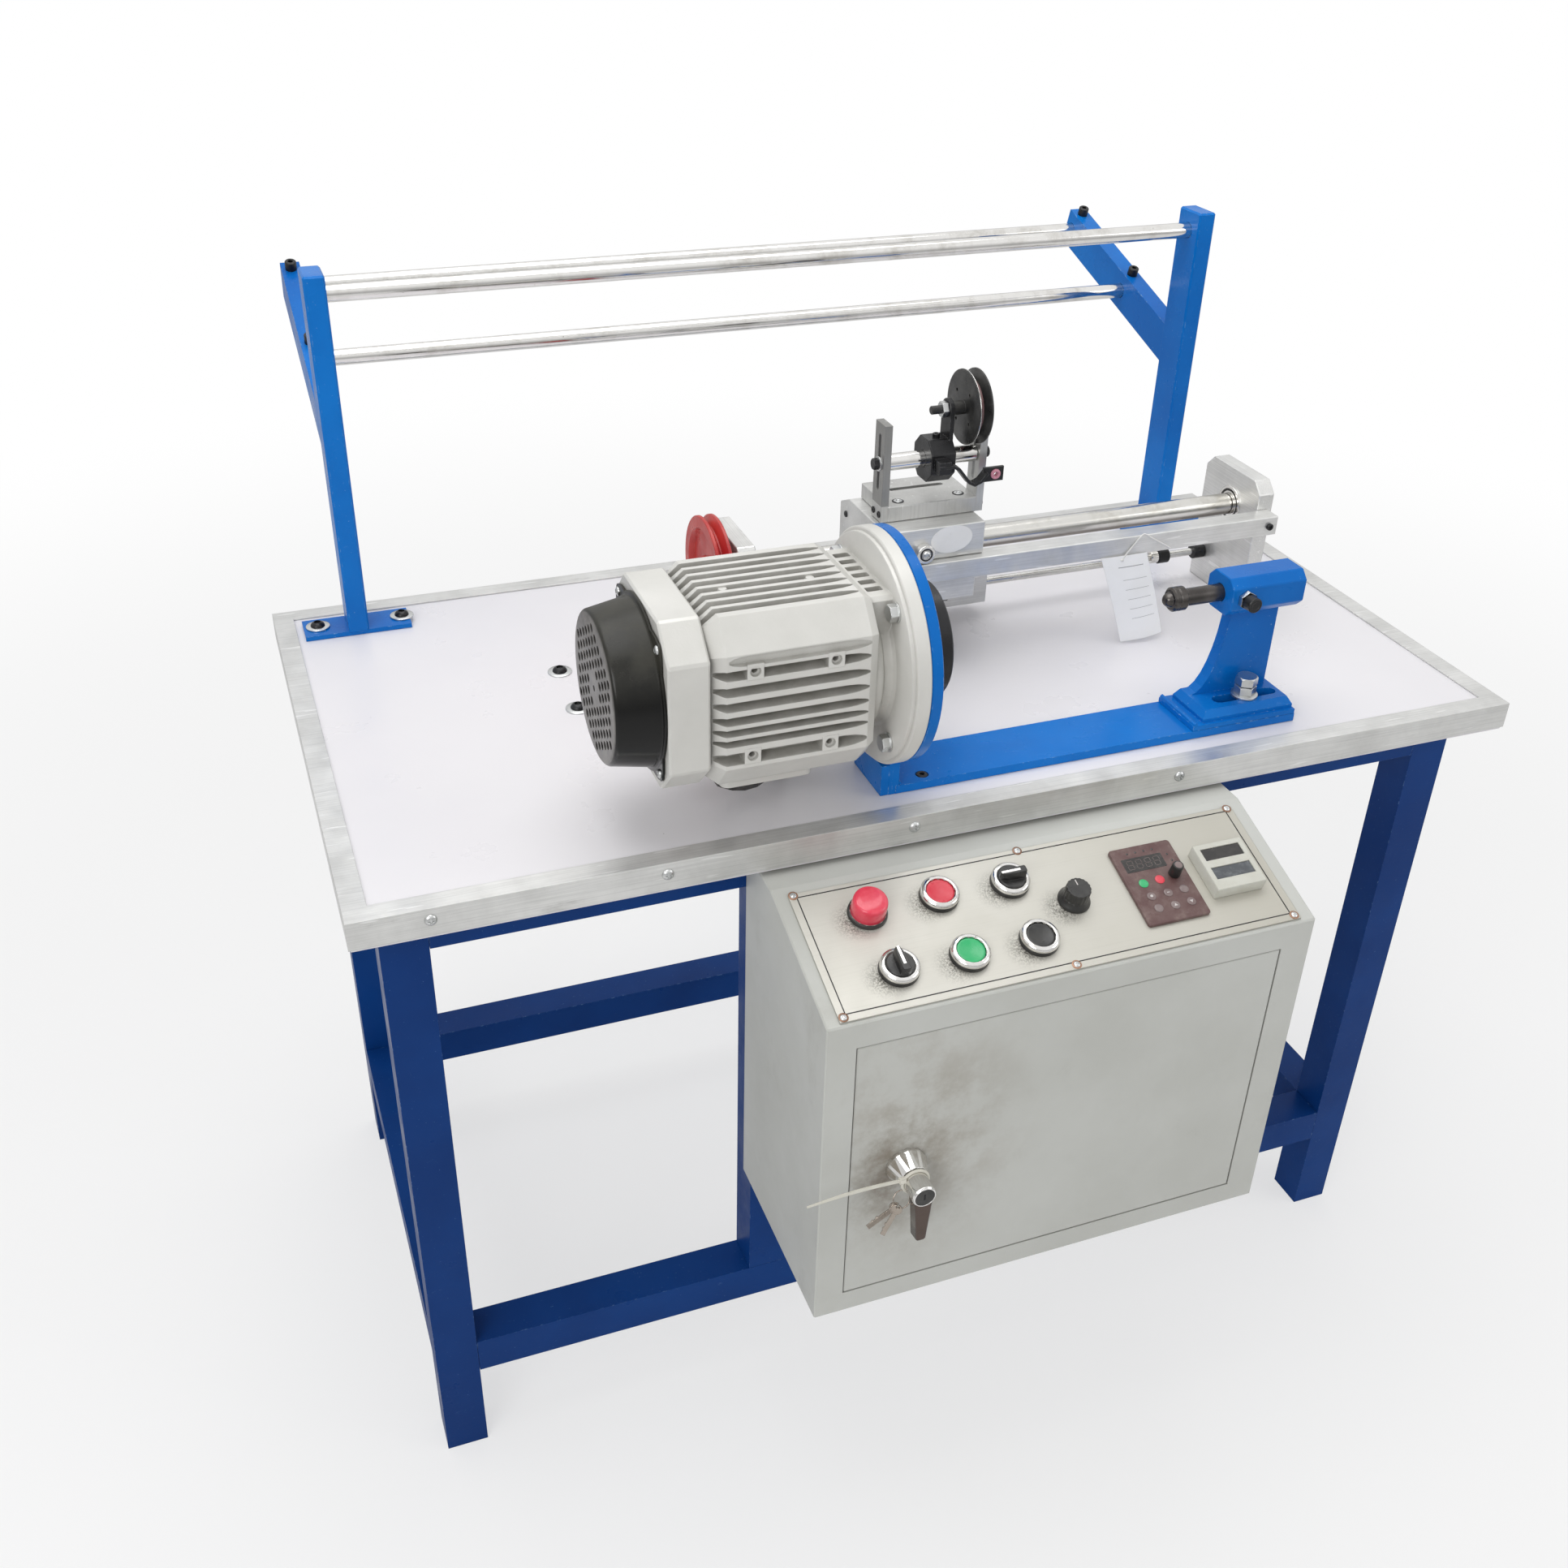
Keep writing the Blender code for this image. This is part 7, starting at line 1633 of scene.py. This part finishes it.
def floor():
    bm = bmesh.new()
    bmesh.ops.create_circle(bm, cap_ends=True, radius=14.0, segments=96)
    thing = bpy.data.objects.new("floor", mesh_of("floor", bm, floor_material()))
    bpy.context.scene.collection.objects.link(thing)
    thing.location = (0.0, 0.0, -0.0005)


def area_light(name, place, size, power):
    data = bpy.data.lights.new(name, "AREA")
    data.shape = "RECTANGLE"
    data.size, data.size_y = size
    data.energy = power
    lamp = bpy.data.objects.new(name, data)
    bpy.context.scene.collection.objects.link(lamp)
    lamp.location = place
    lamp.rotation_mode = "QUATERNION"
    lamp.rotation_quaternion = (light_aim - Vector(place)).to_track_quat("-Z", "Y")


def lighting():
    area_light("light_above", (-0.2, 0.2, 3.0), (2.4, 1.8), 35.0)
    area_light("light_front_left", (-2.2, -2.4, 2.3), (1.6, 1.6), 35.0)
    area_light("light_front_right", (2.4, -1.6, 1.8), (1.4, 1.4), 11.0)
    world = bpy.data.worlds.new("studio")
    bpy.context.scene.world = world
    world.use_nodes = True
    tree = world.node_tree
    background = tree.nodes["Background"]
    background.inputs["Color"].default_value = (1.0, 1.0, 1.0, 1.0)
    path = tree.nodes.new("ShaderNodeLightPath")

    def level(value, low, high, to_low, to_high):
        made = tree.nodes.new("ShaderNodeMapRange")
        for name, number in (("Value", value), ("From Min", low), ("From Max", high), ("To Min", to_low),
                             ("To Max", to_high)):
            if isinstance(number, bpy.types.NodeSocket):
                tree.links.new(number, made.inputs[name])
            else:
                made.inputs[name].default_value = number
        return made.outputs["Result"]

    place = tree.nodes.new("ShaderNodeTexCoord").outputs["Generated"]
    parts = tree.nodes.new("ShaderNodeSeparateXYZ")
    tree.links.new(place, parts.inputs["Vector"])
    mirrored = level(parts.outputs["Z"], -0.05, 0.55, 0.50, 1.0)
    other = level(path.outputs["Is Glossy Ray"], 0.0, 1.0, 0.48, mirrored)
    seen = level(path.outputs["Is Camera Ray"], 0.0, 1.0, other, 1.0)
    tree.links.new(seen, background.inputs["Strength"])


floor()
lighting()
bpy.context.scene.view_settings.view_transform = "Standard"
